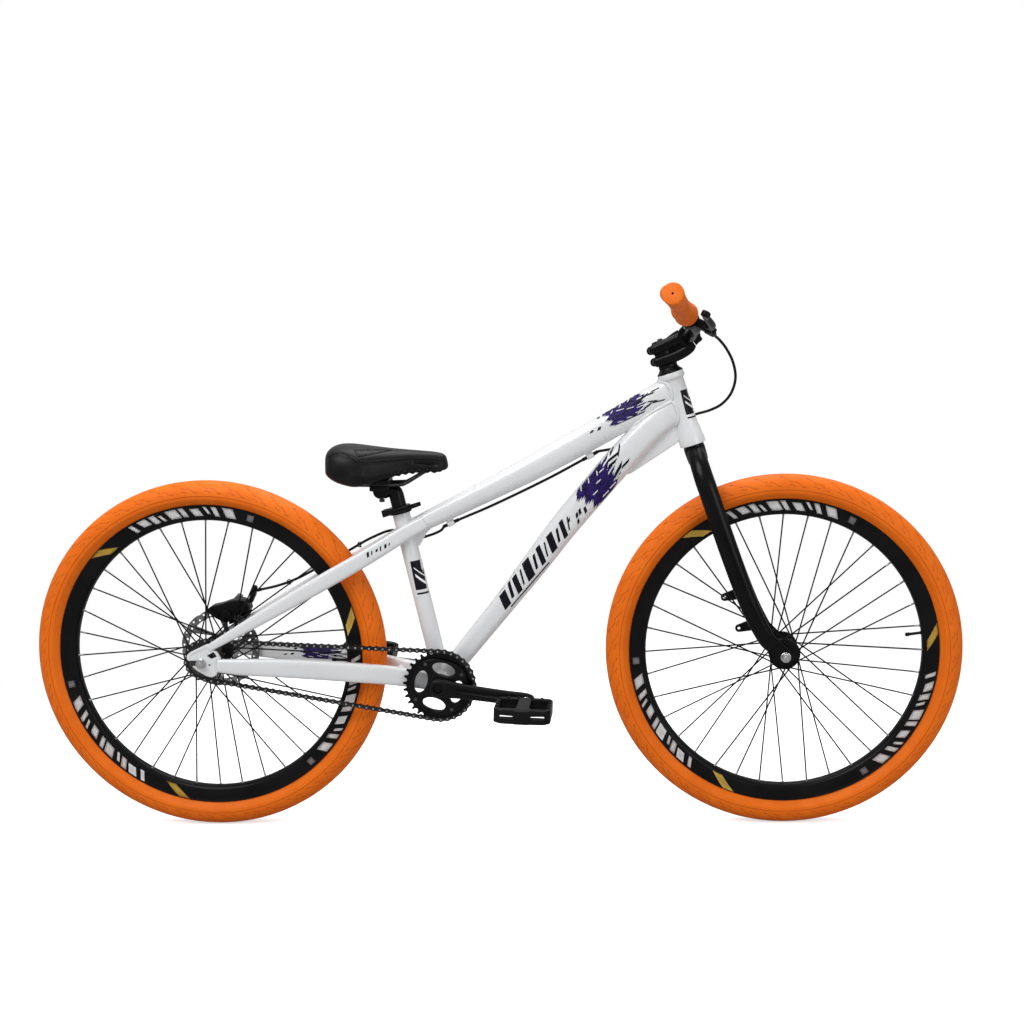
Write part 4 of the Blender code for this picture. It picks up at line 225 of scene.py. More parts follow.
PRINT_WHITE = finish_of("white_print", (0.96, 0.96, 0.96), (0.92, 0.92, 0.92), (0.3, 0.42), bump=0.000005)
PRINT_GREY = finish_of("grey_print", (0.34, 0.34, 0.35), (0.27, 0.27, 0.28), (0.3, 0.42), bump=0.000005)
PRINT_YELLOW = finish_of("yellow_print", (0.84, 0.60, 0.11), (0.74, 0.51, 0.08), (0.3, 0.42), bump=0.000005)
PRINT_INDIGO = finish_of("indigo_print", (0.026, 0.008, 0.135), (0.010, 0.006, 0.055), (0.26, 0.38), patch=90,
                         bump=0.000005, specular=0.2)
PRINT_BLACK = finish_of("black_print", (0.005, 0.004, 0.010), (0.010, 0.009, 0.014), (0.26, 0.38), bump=0.000005,
                        specular=0.15)


PRINTS = {"white": PRINT_WHITE, "grey": PRINT_GREY, "yellow": PRINT_YELLOW, "indigo": PRINT_INDIGO,
          "black": PRINT_BLACK}


# Mesh tools
def mm(*values):
    """Lengths written in millimetres, in tuples of any depth, as metres."""
    return tuple(mm(*value) if isinstance(value, tuple) else value / 1000 for value in values)


def add_object(name, data):
    obj = bpy.data.objects.new(name, data)
    bpy.context.scene.collection.objects.link(obj)
    return obj


def evaluated(obj):
    """A new mesh with the object's modifiers applied."""
    return bpy.data.meshes.new_from_object(obj.evaluated_get(bpy.context.evaluated_depsgraph_get()))


def make(name, mesh, mat, body=None, replaces=(), sharp=35.0):
    mesh.shade_smooth()
    if sharp:
        mesh.set_sharp_from_angle(angle=math.radians(sharp))
    mesh.materials.clear()
    mesh.materials.append(mat)
    obj = add_object(name, mesh)
    if body:
        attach(obj, body)
    if replaces:
        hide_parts(*replaces)
    return obj


def fine(node, mesh, mat, body="frame", sharp=35.0):
    """The fine piece that takes the place of one CAD node."""
    return make(node + "_fine", mesh, mat, body, [node], sharp)


def from_bmesh(name, bm):
    bm.normal_update()
    bmesh.ops.recalc_face_normals(bm, faces=bm.faces)
    mesh = bpy.data.meshes.new(name)
    bm.to_mesh(mesh)
    bm.free()
    return mesh


def join(name, meshes):
    bm = bmesh.new()
    for mesh in meshes:
        bm.from_mesh(mesh)
    mesh = bpy.data.meshes.new(name)
    bm.to_mesh(mesh)
    bm.free()
    return mesh


def basis(along):
    """A turn whose last axis runs along the given way, and whose second lies as near the side as it can."""
    up = along.normalized()
    side = Vector((0, 0, 1)) if abs(up.dot(SIDE)) > 0.999 else SIDE
    across = (side - up * side.dot(up)).normalized()
    return Matrix((across.cross(up), across, up)).transposed()


def lathe(name, profile, origin, along, steps=64, closed=None):
    """Turned mesh from (radius, height) pairs; a profile that misses the axis closes into a ring."""
    turn = basis(along)
    ring = min(r for r, _ in profile) > 1e-6 if closed is None else closed
    bm = bmesh.new()
    rows = []
    for radius, height in profile:
        if radius < 1e-6:
            rows.append([bm.verts.new(origin + turn @ Vector((0, 0, height)))])
            continue
        row = []
        for i in range(steps):
            angle = 2 * math.pi * i / steps
            spot = Vector((radius * math.cos(angle), radius * math.sin(angle), height))
            row.append(bm.verts.new(origin + turn @ spot))
        rows.append(row)
    pairs = list(zip(rows, rows[1:]))
    if ring:
        pairs.append((rows[-1], rows[0]))
    for a, b in pairs:
        for i in range(steps):
            j = (i + 1) % steps
            quad = [a[i % len(a)], a[j % len(a)], b[j % len(b)], b[i % len(b)]]
            face = list(dict.fromkeys(quad))
            if len(face) > 2:
                bm.faces.new(face)
    return from_bmesh(name, bm)


def eased(bore, radius, low, high, ease):
    """Profile of a ring, or of a bar with no bore, with its outer corners cut by ease."""
    return [(bore, low), (radius - ease, low), (radius, low + ease), (radius, high - ease), (radius - ease, high),
            (bore, high)]


def rings_mesh(name, rings, closed=False):
    bm = bmesh.new()
    rows = [[bm.verts.new(p) for p in ring] for ring in rings]
    pairs = list(zip(rows, rows[1:]))
    if closed:
        pairs.append((rows[-1], rows[0]))
    n = len(rows[0])
    for a, b in pairs:
        for i in range(n):
            j = (i + 1) % n
            bm.faces.new((a[i], a[j], b[j], b[i]))
    if not closed:
        bm.faces.new(rows[0])
        bm.faces.new(rows[-1])
    return from_bmesh(name, bm)


def spline(a, b, c, d, t):
    """Catmull-Rom between b and c."""
    return (b * 2 + (c - a) * t + (a * 2 - b * 5 + c * 4 - d) * t ** 2 + (b * 3 - a - c * 3 + d) * t ** 3) * 0.5


def smooth_rows(rows, per):
    """A spline through rows of (Vector, number, number...), with extra rows between each pair."""
    out = []
    last = len(rows) - 1
    for k in range(last * per + 1):
        span = min(k // per, last - 1)
        values = []
        for a, b, c, d in zip(rows[max(span - 1, 0)], rows[span], rows[span + 1], rows[min(span + 2, last)]):
            if span == 0:
                a = b * 2 - c
            if span == last - 1:
                d = c * 2 - b
            values.append(spline(a, b, c, d, k / per - span))
        out.append(tuple(values))
    return out


def section(centre, across, up, half_width, half_height, power, sides):
    ring = []
    for i in range(sides):
        angle = 2 * math.pi * (i + 0.5) / sides
        c, s = math.cos(angle), math.sin(angle)
        u = math.copysign(abs(c) ** (2 / power), c) * half_width
        v = math.copysign(abs(s) ** (2 / power), s) * half_height
        ring.append(centre + across * u + up * v)
    return ring


def tube_rings(rows, power=2.0, sides=40):
    rings = []
    for i, row in enumerate(rows):
        point, half_width, half_height = row[:3]
        along = rows[min(i + 1, len(rows) - 1)][0] - rows[max(i - 1, 0)][0]
        turn = basis(along)
        shape = row[3] if len(row) > 3 else power
        rings.append(section(point, turn.col[1], turn.col[0], half_width, half_height, shape, sides))
    return rings


def wire(name, points, radius, sides=12, closed=False, radii=None):
    """Round bar along a path, with a frame carried along so that it never twists."""
    count = len(points)
    rings = []
    side = None
    for i, point in enumerate(points):
        if closed:
            along = points[(i + 1) % count] - points[i - 1]
        else:
            along = points[min(i + 1, count - 1)] - points[max(i - 1, 0)]
        along.normalize()
        if side is None:
            side = along.orthogonal().normalized()
        side = (side - along * side.dot(along)).normalized()
        other = along.cross(side)
        r = radii[i] if radii else radius
        rings.append([point + (side * math.cos(2 * math.pi * k / sides)
                               + other * math.sin(2 * math.pi * k / sides)) * r for k in range(sides)])
    return rings_mesh(name, rings, closed)


def rod(name, start, end, radius, sides=24, chamfer=0.0):
    length = (end - start).length
    return lathe(name, eased(0, radius, 0, length, min(chamfer, radius * 0.9, length / 2.1)), start, end - start,
                 sides)


def plate(name, outline, y0, y1, holes=(), bevel=0.0, frame_at=None):
    """A plate with eased edges, cut from a side-view outline (or from (x, y) pairs in a frame of its own)."""
    curve = bpy.data.curves.new(name, "CURVE")
    curve.dimensions = "2D"
    curve.fill_mode = "BOTH"
    curve.extrude = max(abs(y1 - y0) / 2 - bevel, 0)
    curve.bevel_depth = bevel
    curve.bevel_resolution = 2
    curve.offset = -bevel
    for loop in (outline, *holes):
        spline = curve.splines.new("POLY")
        spline.points.add(len(loop) - 1)
        spline.use_cyclic_u = True
        for target, point in zip(spline.points, loop):
            x, z = (point.x, point.z) if isinstance(point, Vector) else point
            target.co = (x, z, 0, 1)
    sketch = add_object(name, curve)
    mesh = evaluated(sketch)
    bpy.data.objects.remove(sketch, do_unlink=True)
    if frame_at is None:
        frame_at = Matrix(((1, 0, 0, 0), (0, 0, -1, (y0 + y1) / 2), (0, 1, 0, 0), (0, 0, 0, 1)))
    mesh.transform(frame_at)
    return mesh


def arc(centre, radius, start, end, count):
    return [centre + Vector((math.cos(a), 0, math.sin(a))) * radius
            for a in (start + (end - start) * i / (count - 1) for i in range(count))]


def circle(centre, radius, count=32):
    return arc(centre, radius, 0, 2 * math.pi * (count - 1) / count, count)


def rounded(points, radius, steps=4):
    """The outline with each corner turned into a short arc."""
    out = []
    n = len(points)
    for i in range(n):
        a, b, c = points[i - 1], points[i], points[(i + 1) % n]
        r = min(radius, (a - b).length * 0.45, (c - b).length * 0.45)
        p, q = b + (a - b).normalized() * r, b + (c - b).normalized() * r
        for k in range(steps + 1):
            t = k / steps
            out.append(p * (1 - t) ** 2 + b * 2 * t * (1 - t) + q * t * t)
    return out


def box(name, centre, size, turn=None, bevel=0.001, segments=2):
    bm = bmesh.new()
    bmesh.ops.create_cube(bm, size=1.0)
    bmesh.ops.scale(bm, vec=size, verts=bm.verts)
    if bevel:
        bmesh.ops.bevel(bm, geom=bm.edges[:], offset=bevel, segments=segments, profile=0.5, affect="EDGES")
    bm.transform(Matrix.Translation(centre) @ (turn.to_4x4() if turn else Matrix.Identity(4)))
    return from_bmesh(name, bm)


def carve(mesh, *cutters, operation="DIFFERENCE"):
    """The mesh after exact Booleans with other meshes."""
    holder = add_object("carve", mesh)
    helpers = [add_object("cutter", cutter) for cutter in cutters]
    for helper in helpers:
        modifier = holder.modifiers.new("cut", "BOOLEAN")
        modifier.operation, modifier.solver, modifier.object = operation, "EXACT", helper
    result = evaluated(holder)
    for helper in [holder, *helpers]:
        bpy.data.objects.remove(helper, do_unlink=True)
    return result


# Camera, light and floor
PICTURE = 1024
FOCAL_PIXELS = 1483.94
CENTRE_PIXELS = (599.78, 518.77)
CAMERA_AT = place(0.838487, -2.699, 0.992245)
CAMERA_YAW, CAMERA_PITCH, CAMERA_ROLL = 0.0386811, -0.151383, -0.0161186
SENSOR = 36
BACKDROP, AMBIENT = 1.0, 0.46
LAMPS = (
    ("key", (-1.4, -2.2, 3.2), (0, 0, 0.5), 2.0, 74),
    ("fill", (2.6, -2.4, 1.4), (0, 0, 0.5), 1.6, 20),
    ("top", (0.2, 0.8, 3.2), (0, 0, 0.4), 2.4, 60),
)


def make_camera():
    flat = math.cos(CAMERA_PITCH)
    forward = Vector((-math.sin(CAMERA_YAW) * flat, math.cos(CAMERA_YAW) * flat, math.sin(CAMERA_PITCH)))
    level = Vector((math.cos(CAMERA_YAW), math.sin(CAMERA_YAW), 0))
    upright = level.cross(forward)
    right = level * math.cos(CAMERA_ROLL) + upright * math.sin(CAMERA_ROLL)
    up = upright * math.cos(CAMERA_ROLL) - level * math.sin(CAMERA_ROLL)
    data = bpy.data.cameras.new("camera")
    camera = add_object("camera", data)
    camera.matrix_world = Matrix.Translation(CAMERA_AT) @ Matrix((right, up, -forward)).transposed().to_4x4()
    data.sensor_width = SENSOR
    data.lens = FOCAL_PIXELS / PICTURE * SENSOR
    data.shift_x = (PICTURE / 2 - CENTRE_PIXELS[0]) / PICTURE
    data.shift_y = (CENTRE_PIXELS[1] - PICTURE / 2) / PICTURE
    data.clip_end = 50
    bpy.context.scene.camera = camera


def make_lights():
    """A white world that is brighter to the camera than to the object, and three soft lamps."""
    world = bpy.data.worlds.new("studio")
    bpy.context.scene.world = world
    world.use_nodes = True
    tree = world.node_tree
    back = tree.nodes["Background"]
    path = tree.nodes.new("ShaderNodeLightPath")
    seen = tree.nodes.new("ShaderNodeMath")
    seen.operation = "MAXIMUM"
    tree.links.new(path.outputs["Is Camera Ray"], seen.inputs[0])
    tree.links.new(path.outputs["Is Transmission Ray"], seen.inputs[1])
    pick = tree.nodes.new("ShaderNodeMapRange")
    tree.links.new(seen.outputs[0], pick.inputs["Value"])
    pick.inputs["To Min"].default_value = AMBIENT
    pick.inputs["To Max"].default_value = BACKDROP
    tree.links.new(pick.outputs[0], back.inputs["Strength"])
    back.inputs["Color"].default_value = (1, 1, 1, 1)
    for name, at, aim, size, power in LAMPS:
        light = bpy.data.lights.new(name, "AREA")
        light.size, light.energy = size, power
        lamp = add_object(name, light)
        lamp.location = at
        lamp.rotation_euler = (Vector(aim) - Vector(at)).to_track_quat("-Z", "Y").to_euler()


def make_floor():
    """A pale floor that shows soft shadows near the object and fades to white further out."""
    bm = bmesh.new()
    bmesh.ops.create_grid(bm, x_segments=1, y_segments=1, size=9)
    floor = add_object("floor", from_bmesh("floor", bm))
    m = Nodes("pale_floor")
    m.put(colour=(0.84, 0.84, 0.84), roughness=0.9, specular=0.0)
    glow, white = m.new("ShaderNodeEmission"), m.new("ShaderNodeEmission")
    glow.inputs["Strength"].default_value = 0.60
    dim = m.new("ShaderNodeBsdfDiffuse")
    dim.inputs["Color"].default_value = (0.42, 0.42, 0.42, 1)
    reach = m.new("ShaderNodeVectorMath", operation="LENGTH")
    m.link(m.coords(), reach.inputs[0])
    away = m.ramp(reach.outputs["Value"], 0.95, 1.75)
    add, path = m.new("ShaderNodeAddShader"), m.new("ShaderNodeLightPath")
    fade, mix = m.new("ShaderNodeMixShader"), m.new("ShaderNodeMixShader")
    for source, target in ((m.shader.outputs[0], add.inputs[0]), (glow.outputs[0], add.inputs[1]),
                           (away, fade.inputs[0]), (add.outputs[0], fade.inputs[1]),
                           (white.outputs[0], fade.inputs[2]), (path.outputs["Is Camera Ray"], mix.inputs[0]),
                           (dim.outputs[0], mix.inputs[1]), (fade.outputs[0], mix.inputs[2]),
                           (mix.outputs[0], m.tree.nodes["Material Output"].inputs["Surface"])):
        m.link(source, target)
    floor.data.materials.append(m.mat)


make_camera()
make_lights()
make_floor()
bpy.context.scene.view_settings.view_transform = "Standard"


# Frame
FRAME = "frame"
SIDES = (("right", -1), ("left", 1))
CABLE_STOPS = {"front": ((0.7185, 0.6970), (0.109, 0.0575)), "rear": ((0.4590, 0.5750), (0.082, 0.039))}
STOP_HALF = 0.0065
SEAT_TUBE_RADIUS = 0.0159
TOP_TUBE = mm((877, 0, 819, 18.5, 26.2), (845, 0, 802.5, 19, 25.7), (731, 0, 739, 20, 24.8),
              (622, 0, 681, 19.5, 22.8), (538, 0, 639.5, 18.2, 20.2), (456, 0, 600.5, 16.5, 18),
              (374, 0, 562, 15, 15.2))
DOWN_TUBE = mm(
    (884, 0, 785.5, 18.2, 24),
    (854, 0, 766, 20, 25),
    (826, 0, 743.5, 23, 25.8),
    (772, 0, 687.5, 24, 26.8),
    (735, 0, 645.5, 24, 26.2),
    (669, 0, 569, 23.5, 25.2),
    (612, 0, 496, 22.5, 23.5),
    (550, 0, 418.5, 21, 20.2),
) + ((BB_X + 0.006, 0, BB_HEIGHT + 0.008, 0.0200, 0.0185),)
CHAINSTAY = mm(
    (30, 70.5, 325, 7, 12),
    (75, 70, 322, 8, 15),
    (155, 60, 316.5, 8.5, 17),
    (252, 49, 307, 8.5, 18),
    (310, 40.5, 300, 8.5, 17.8),
    (345, 32.5, 294.5, 9, 17.5),
    (385, 28, 287.5, 9.5, 17),
) + ((BB_X, 0.0260, BB_HEIGHT, 0.0078, 0.0160),)
SEATSTAY = mm((16, 70.5, 358.5, 6, 6.8), (37, 70, 370.5, 6.8, 8), (124, 61.5, 419, 7.8, 12.5),
              (230, 50, 477.5, 8.4, 15), (293, 40, 512, 8.6, 14.8), (335, 30, 536, 8.6, 14.5),
              (372, 20.5, 558, 8.2, 14), (412, 13, 579, 7, 12))
DROPOUT = mm((-27, 340), (-25.5, 346.5), (-20, 351), (13, 366.5), (20, 356), (29.5, 352), (37, 337), (29, 337),
             (29, 313), (26, 306.5), (16, 303.5), (6, 307.5), (-8, 316), (-16.5, 323.5))
HEAD_GUSSET = mm((780, 662), (792, 664), (876, 718.5), (893, 733), (890, 775), (840, 750), (790, 690))
SEAT_GUSSET = mm((375, 535), (399, 533), (412, 556), (445, 590), (395, 575))


def side_points(pairs):
    return [place(x, 0, z) for x, z in pairs]


def table_rings(table, power, sides, sign=1):
    rows = [(place(x, sign * y, z), width, height) for x, y, z, width, height in table]
    return tube_rings(smooth_rows(rows, 6), power, sides)


def tree_of(*meshes):
    bm = bmesh.new()
    for mesh in meshes:
        bm.from_mesh(mesh)
    tree = BVHTree.FromBMesh(bm)
    bm.free()
    return tree


def crossing(rings, target, start, step):
    """Where each long line of a tube first enters the target, walked from one ring on."""
    loop = []
    for i in range(len(rings[0])):
        k = start
        while 0 <= k + step < len(rings):
            way = rings[k + step][i] - rings[k][i]
            hit = target.ray_cast(rings[k][i], way.normalized(), way.length)[0]
            if hit is not None:
                loop.append(hit)
                break
            k += step
    return loop


def resample(loop, spacing, closed=True):
    points = loop + loop[:1] if closed else loop
    lengths = [0.0]
    for a, b in zip(points, points[1:]):
        lengths.append(lengths[-1] + (b - a).length)
    count = max(int(lengths[-1] / spacing), 8)
    out, k = [], 0
    for i in range(count if closed else count + 1):
        at = min(lengths[-1] * i / count, lengths[-1])
        while k < len(lengths) - 2 and lengths[k + 1] < at:
            k += 1
        span = max(lengths[k + 1] - lengths[k], 1e-9)
        out.append(points[k].lerp(points[k + 1], (at - lengths[k]) / span))
    return out


def bead(loop, radius):
    """A weld bead: overlapping scales of metal along a seam."""
    if len(loop) < 4:
        return None
    points = resample(loop, 0.0009)
    for _ in range(2):
        points = [(points[i - 1] + points[i] * 2 + points[(i + 1) % len(points)]) / 4 for i in range(len(points))]
    radii = [radius * (0.90 + 0.20 * ((i % 4) / 3.0)) for i in range(len(points))]
    return wire("bead", points, radius, 8, True, radii)


def make_frame():
    bore = 0.0172
    head = lathe("head_tube_fine", [(0.0205, 0), (0.0230, 0), (0.0238, 0.0008), (0.0238, 0.0115), (0.0232, 0.0135),
                                    (0.0212, 0.0325), (0.0205, 0.0345), (0.0205, HEAD_LENGTH - 0.0135),
                                    (0.0209, HEAD_LENGTH - 0.0125), (0.0237, HEAD_LENGTH - 0.0105),
                                    (0.0243, HEAD_LENGTH - 0.0090), (0.0243, HEAD_LENGTH - 0.0010),
                                    (0.0236, HEAD_LENGTH), (0.0205, HEAD_LENGTH), (0.0205, HEAD_LENGTH - 0.009),
                                    (bore, HEAD_LENGTH - 0.009), (bore, 0.009), (0.0205, 0.009)], HEAD_FOOT, HEAD_UP,
                 96)
    seat = lathe("seat_tube_fine", [(SEAT_TUBE_RADIUS, 0.012), (SEAT_TUBE_RADIUS, SEAT_TUBE_LENGTH - 0.0006),
                                    (0.0154, SEAT_TUBE_LENGTH), (0.0140, SEAT_TUBE_LENGTH), (0.0140, 0.012)],
                 BOTTOM_BRACKET, SEAT_UP, 64)
    shell = lathe("bb_shell_fine", eased(0.0172, 0.0205, -0.034, 0.034, 0.0006), BOTTOM_BRACKET, SIDE, 72)
    top_rings = table_rings(TOP_TUBE, 2.4, 56)
    down_rings = table_rings(DOWN_TUBE, 3.0, 64)
    top = rings_mesh("top_tube_fine", top_rings)
    down = rings_mesh("down_tube_fine", down_rings)
    beads = []
    seat_rings = [[on_seat(up) + basis(SEAT_UP) @ (Vector((math.cos(a), math.sin(a), 0)) * SEAT_TUBE_RADIUS)
                   for a in (2 * math.pi * i / 48 for i in range(48))] for up in (0.07, 0.05, 0.035, 0.02, 0.012)]
    for rings, target, start, step, radius in (
        (top_rings, tree_of(head), 10, -1, 0.0034),
        (down_rings, tree_of(head, top), 15, -1, 0.0034),
        (top_rings, tree_of(seat), len(top_rings) - 9, 1, 0.0027),
        (down_rings, tree_of(shell), len(down_rings) - 10, 1, 0.0022),
        (seat_rings, tree_of(shell, down), 0, 1, 0.0020),
    ):
        beads.append(bead(crossing(rings, target, start, step), radius))
    head_gusset = plate("head_gusset_fine", rounded(side_points(HEAD_GUSSET), 0.004), -0.009, 0.009, bevel=0.002)
    seat_gusset = plate("seat_gusset_fine", rounded(side_points(SEAT_GUSSET), 0.003), -0.006, 0.006, bevel=0.0014)
    for node, meshes in (("head_tube", [head]), ("top_tube", [top, *make_stops()]),
                         ("down_tube", [down, head_gusset]), ("seat_tube", [seat]), ("bb_shell", [shell]),
                         ("seat_gusset", [seat_gusset])):
        fine(node, join(node, meshes), WHITE)
    main_tubes = tree_of(seat, top)
    shell_tree = tree_of(shell, down)
    for side, sign in SIDES:
        rings = table_rings(CHAINSTAY, 4.0, 40, sign)
        beads.append(bead(crossing(rings, shell_tree, len(rings) - 12, 1), 0.0018))
        fine(f"{side}_chainstay", rings_mesh("stay", rings), WHITE)
        rings = table_rings(SEATSTAY, 3.2, 40, sign)
        beads.append(bead(crossing(rings, main_tubes, len(rings) - 14, 1), 0.0018))
        fine(f"{side}_seatstay", rings_mesh("stay", rings), WHITE)
        make_dropout(side, sign)
    for name, (x, z), reach in (("chainstay_bridge", (0.352, 0.2935), 0.032),
                                ("seatstay_bridge", (0.3130, 0.5235), 0.038)):
        bridge = rod(name, place(x, -reach, z), place(x, reach, z), 0.0075, 40)
        fine(name, bridge, WHITE)
    make("weld_beads", join("weld_beads", [b for b in beads if b]), WHITE, FRAME, sharp=60)
    return top, down, head, seat


def make_stops():
    """The two cable stops under the top tube: a barrel and its foot."""
    lugs = []
    for (x, z), slope in CABLE_STOPS.values():
        along = Vector((slope[0], 0, slope[1])).normalized()
        up = Vector((-along.z, 0, along.x))
        profile = eased(0.0028, 0.0052, -STOP_HALF, STOP_HALF, 0.0006)
        lugs.append(lathe("stop", profile, place(x, 0, z), along, 32))
        lugs.append(box("stop_foot", place(x, 0, z) + up * 0.0066, (0.013, 0.0046, 0.0094), basis(up), 0.0008))
    return lugs


def make_dropout(side, sign):
    low, high = sorted((sign * 0.0675, sign * 0.0735))
    outline = side_points(DROPOUT)
    slot = arc(REAR_AXLE, 0.0055, -math.pi / 2, math.pi / 2, 17)
    slot += side_points(((-0.040, AXLE_HEIGHT + 0.0055), (-0.040, AXLE_HEIGHT - 0.0055)))
    window = rounded(side_points(mm((10.5, 344), (24, 351.5), (30, 342.5), (18, 337.5))), 0.002)
    eyelet = circle(place(0.0150, 0, 0.3265), 0.0020, 20)
    mesh = plate("dropout", rounded(outline, 0.003), low, high, [eyelet, window], 0.0007)
    face = low if sign < 0 else high
    pocket = rounded(side_points(mm((-20, 343.2), (-16.5, 347.8), (9.5, 360.2), (12.5, 354), (-1, 346.2),
                                    (-8.5, 342.5))), 0.0015)
    mesh = carve(mesh, plate("slot", slot, low - 0.01, high + 0.01),
                 plate("pocket", pocket, face - 0.0014, face + 0.0014))
    fine(f"{side}_dropout", mesh, WHITE)


TUBES = make_frame()


def smooth_loop(points, per=5):
    """A closed spline through the points."""
    n = len(points)
    return [spline(points[i - 1], points[i], points[(i + 1) % n], points[(i + 2) % n], k / per)
            for i in range(n) for k in range(per)]


def smooth_path(points, per=8):
    return [row[0] for row in smooth_rows([(p,) for p in points], per)]


def hex_bolt(at, along, radius=0.0042, height=0.004, steps=32):
    """A cap bolt with a socket in its head."""
    r, h = radius, height
    return lathe("bolt", [(0, h * 0.45), (r * 0.52, h * 0.45), (r * 0.52, h), (r * 0.85, h), (r, h * 0.85), (r, 0),
                          (0, 0)], at, along, steps)


# Fork and steering
LEG = mm((-12, 0, 12, 12, 15), (-24, 0, 25, 13, 16.5), (-42, 0, 40, 13.2, 17.2), (-66, 0, 50.5, 13.2, 17.5),
         (-100, 1, 55, 13, 17.5), (-200, 3, 56, 12.8, 17.5), (-275, 6, 56, 12.5, 17.2), (-330, 11, 55.5, 11.8, 16.5),
         (-374, 19, 54.5, 10, 15.5), (-392, 26, 53.5, 6, 13))
STEERER_TOP = HEAD_LENGTH + 0.054
STEM_LOW = HEAD_LENGTH + 0.0185
STEM_HIGH = STEM_LOW + 0.0385
BAR_CENTRE = place(0.9000, 0, 0.9120)
CLAMP_BOLTS = (STEM_LOW + 0.0085, STEM_HIGH - 0.0085)


def make_fork():
    steerer = lathe("steerer", [(0.0119, -0.036), (0.0150, -0.036), (0.0172, -0.0345), (0.0184, -0.031),
                                (0.0190, -0.024), (0.0196, -0.0085), (0.0192, -0.0062), (0.0190, -0.0055),
                                (0.0190, -0.0022), (0.0143, -0.0020), (0.0143, STEERER_TOP), (0.0119, STEERER_TOP)],
                    HEAD_FOOT, HEAD_UP, 72)
    fine("fork_steerer", steerer, BLACK, "fork")
    crown = tree_of(steerer)
    for side, sign in SIDES:
        rows = [(on_head(up, ahead, sign * y), w, h) for up, ahead, y, w, h in LEG]
        rings = tube_rings(smooth_rows(rows, 6), 2.0, 48)
        parts = [rings_mesh("leg", rings)]
        seam = bead(crossing(rings, crown, 14, -1), 0.0018)
        if seam:
            parts.append(seam)
        low, high = sorted((sign * 0.050, sign * 0.056))
        top = [on_head(-0.366, 0.031), on_head(-0.366, 0.007)]
        outline = top + arc(FRONT_AXLE, 0.0145, math.radians(195), math.radians(385), 28)
        slot = arc(FRONT_AXLE, 0.0055, 0, math.pi, 17)
        slot += [FRONT_AXLE + Vector((-0.0055, 0, -0.03)), FRONT_AXLE + Vector((0.0055, 0, -0.03))]
        end = carve(plate("end", outline, low, high, bevel=0.0009), plate("slot", slot, low - 0.01, high + 0.01))
        parts.append(end)
        if sign > 0:
            for x, z in ((0.975, 0.432), (1.002, 0.372)):
                eye = place(x - 0.010, 0, z - 0.012)
                tab = [place(x + 0.016, 0, z + 0.006), place(x + 0.016, 0, z - 0.016)]
                tab += arc(eye, 0.007, math.radians(280), math.radians(110), 14)
                parts.append(plate("tab", tab, 0.0505, 0.0570, [circle(eye, 0.003, 24)], 0.0006))
        else:
            spot = on_head(-0.345, 0.013 - 0.0165, sign * 0.055)
            parts.append(hex_bolt(spot + HEAD_AHEAD * 0.002, -HEAD_AHEAD, 0.0032, 0.004))
        fine(f"fork_{side}_leg", join("leg", parts), BLACK, "fork", 50)
    cover = lathe("cover", mm((14.7, 0), (23.5, 0), (23.8, 0.4), (23.8, 1.4), (22.8, 2.6), (20, 5), (17.8, 8.5),
                              (17.2, 9.5), (16.9, 9.9), (17.3, 10.4), (17.3, 15), (16.9, 15.5), (14.7, 15.5)),
                  on_head(HEAD_LENGTH + 0.0003), HEAD_UP, 72)
    fine("headset_cover", cover, ALLOY, "fork")


# Share of the way to the bar, half width, half height
STEM_ROWS = ((0.16, 0.0125, 0.0190), (0.35, 0.0130, 0.0200), (0.60, 0.0150, 0.0210), (0.80, 0.0175, 0.0205))
STEM_RIBS = mm(
    ((829.6, 12.5, 885), (832, 12.5, 886), (837.4, 12.6, 888.2), (853, 13.2, 894.8), (876, 14.2, 905.2),
     (890, 14.8, 910.8), (894.5, 15, 912.5)),
    ((835.8, 12.5, 864), (838.2, 12.5, 864.8), (843.6, 12.6, 866.4), (860, 13.2, 871.2), (883, 14.2, 880),
     (900, 14.8, 890.5), (907.5, 15, 898.5)),
)
RIB_SIZES = mm((3, 3.5), (6.2, 7.2), (7.8, 9.2), (8, 9.8), (8, 10), (7.8, 9.6), (5.8, 7))


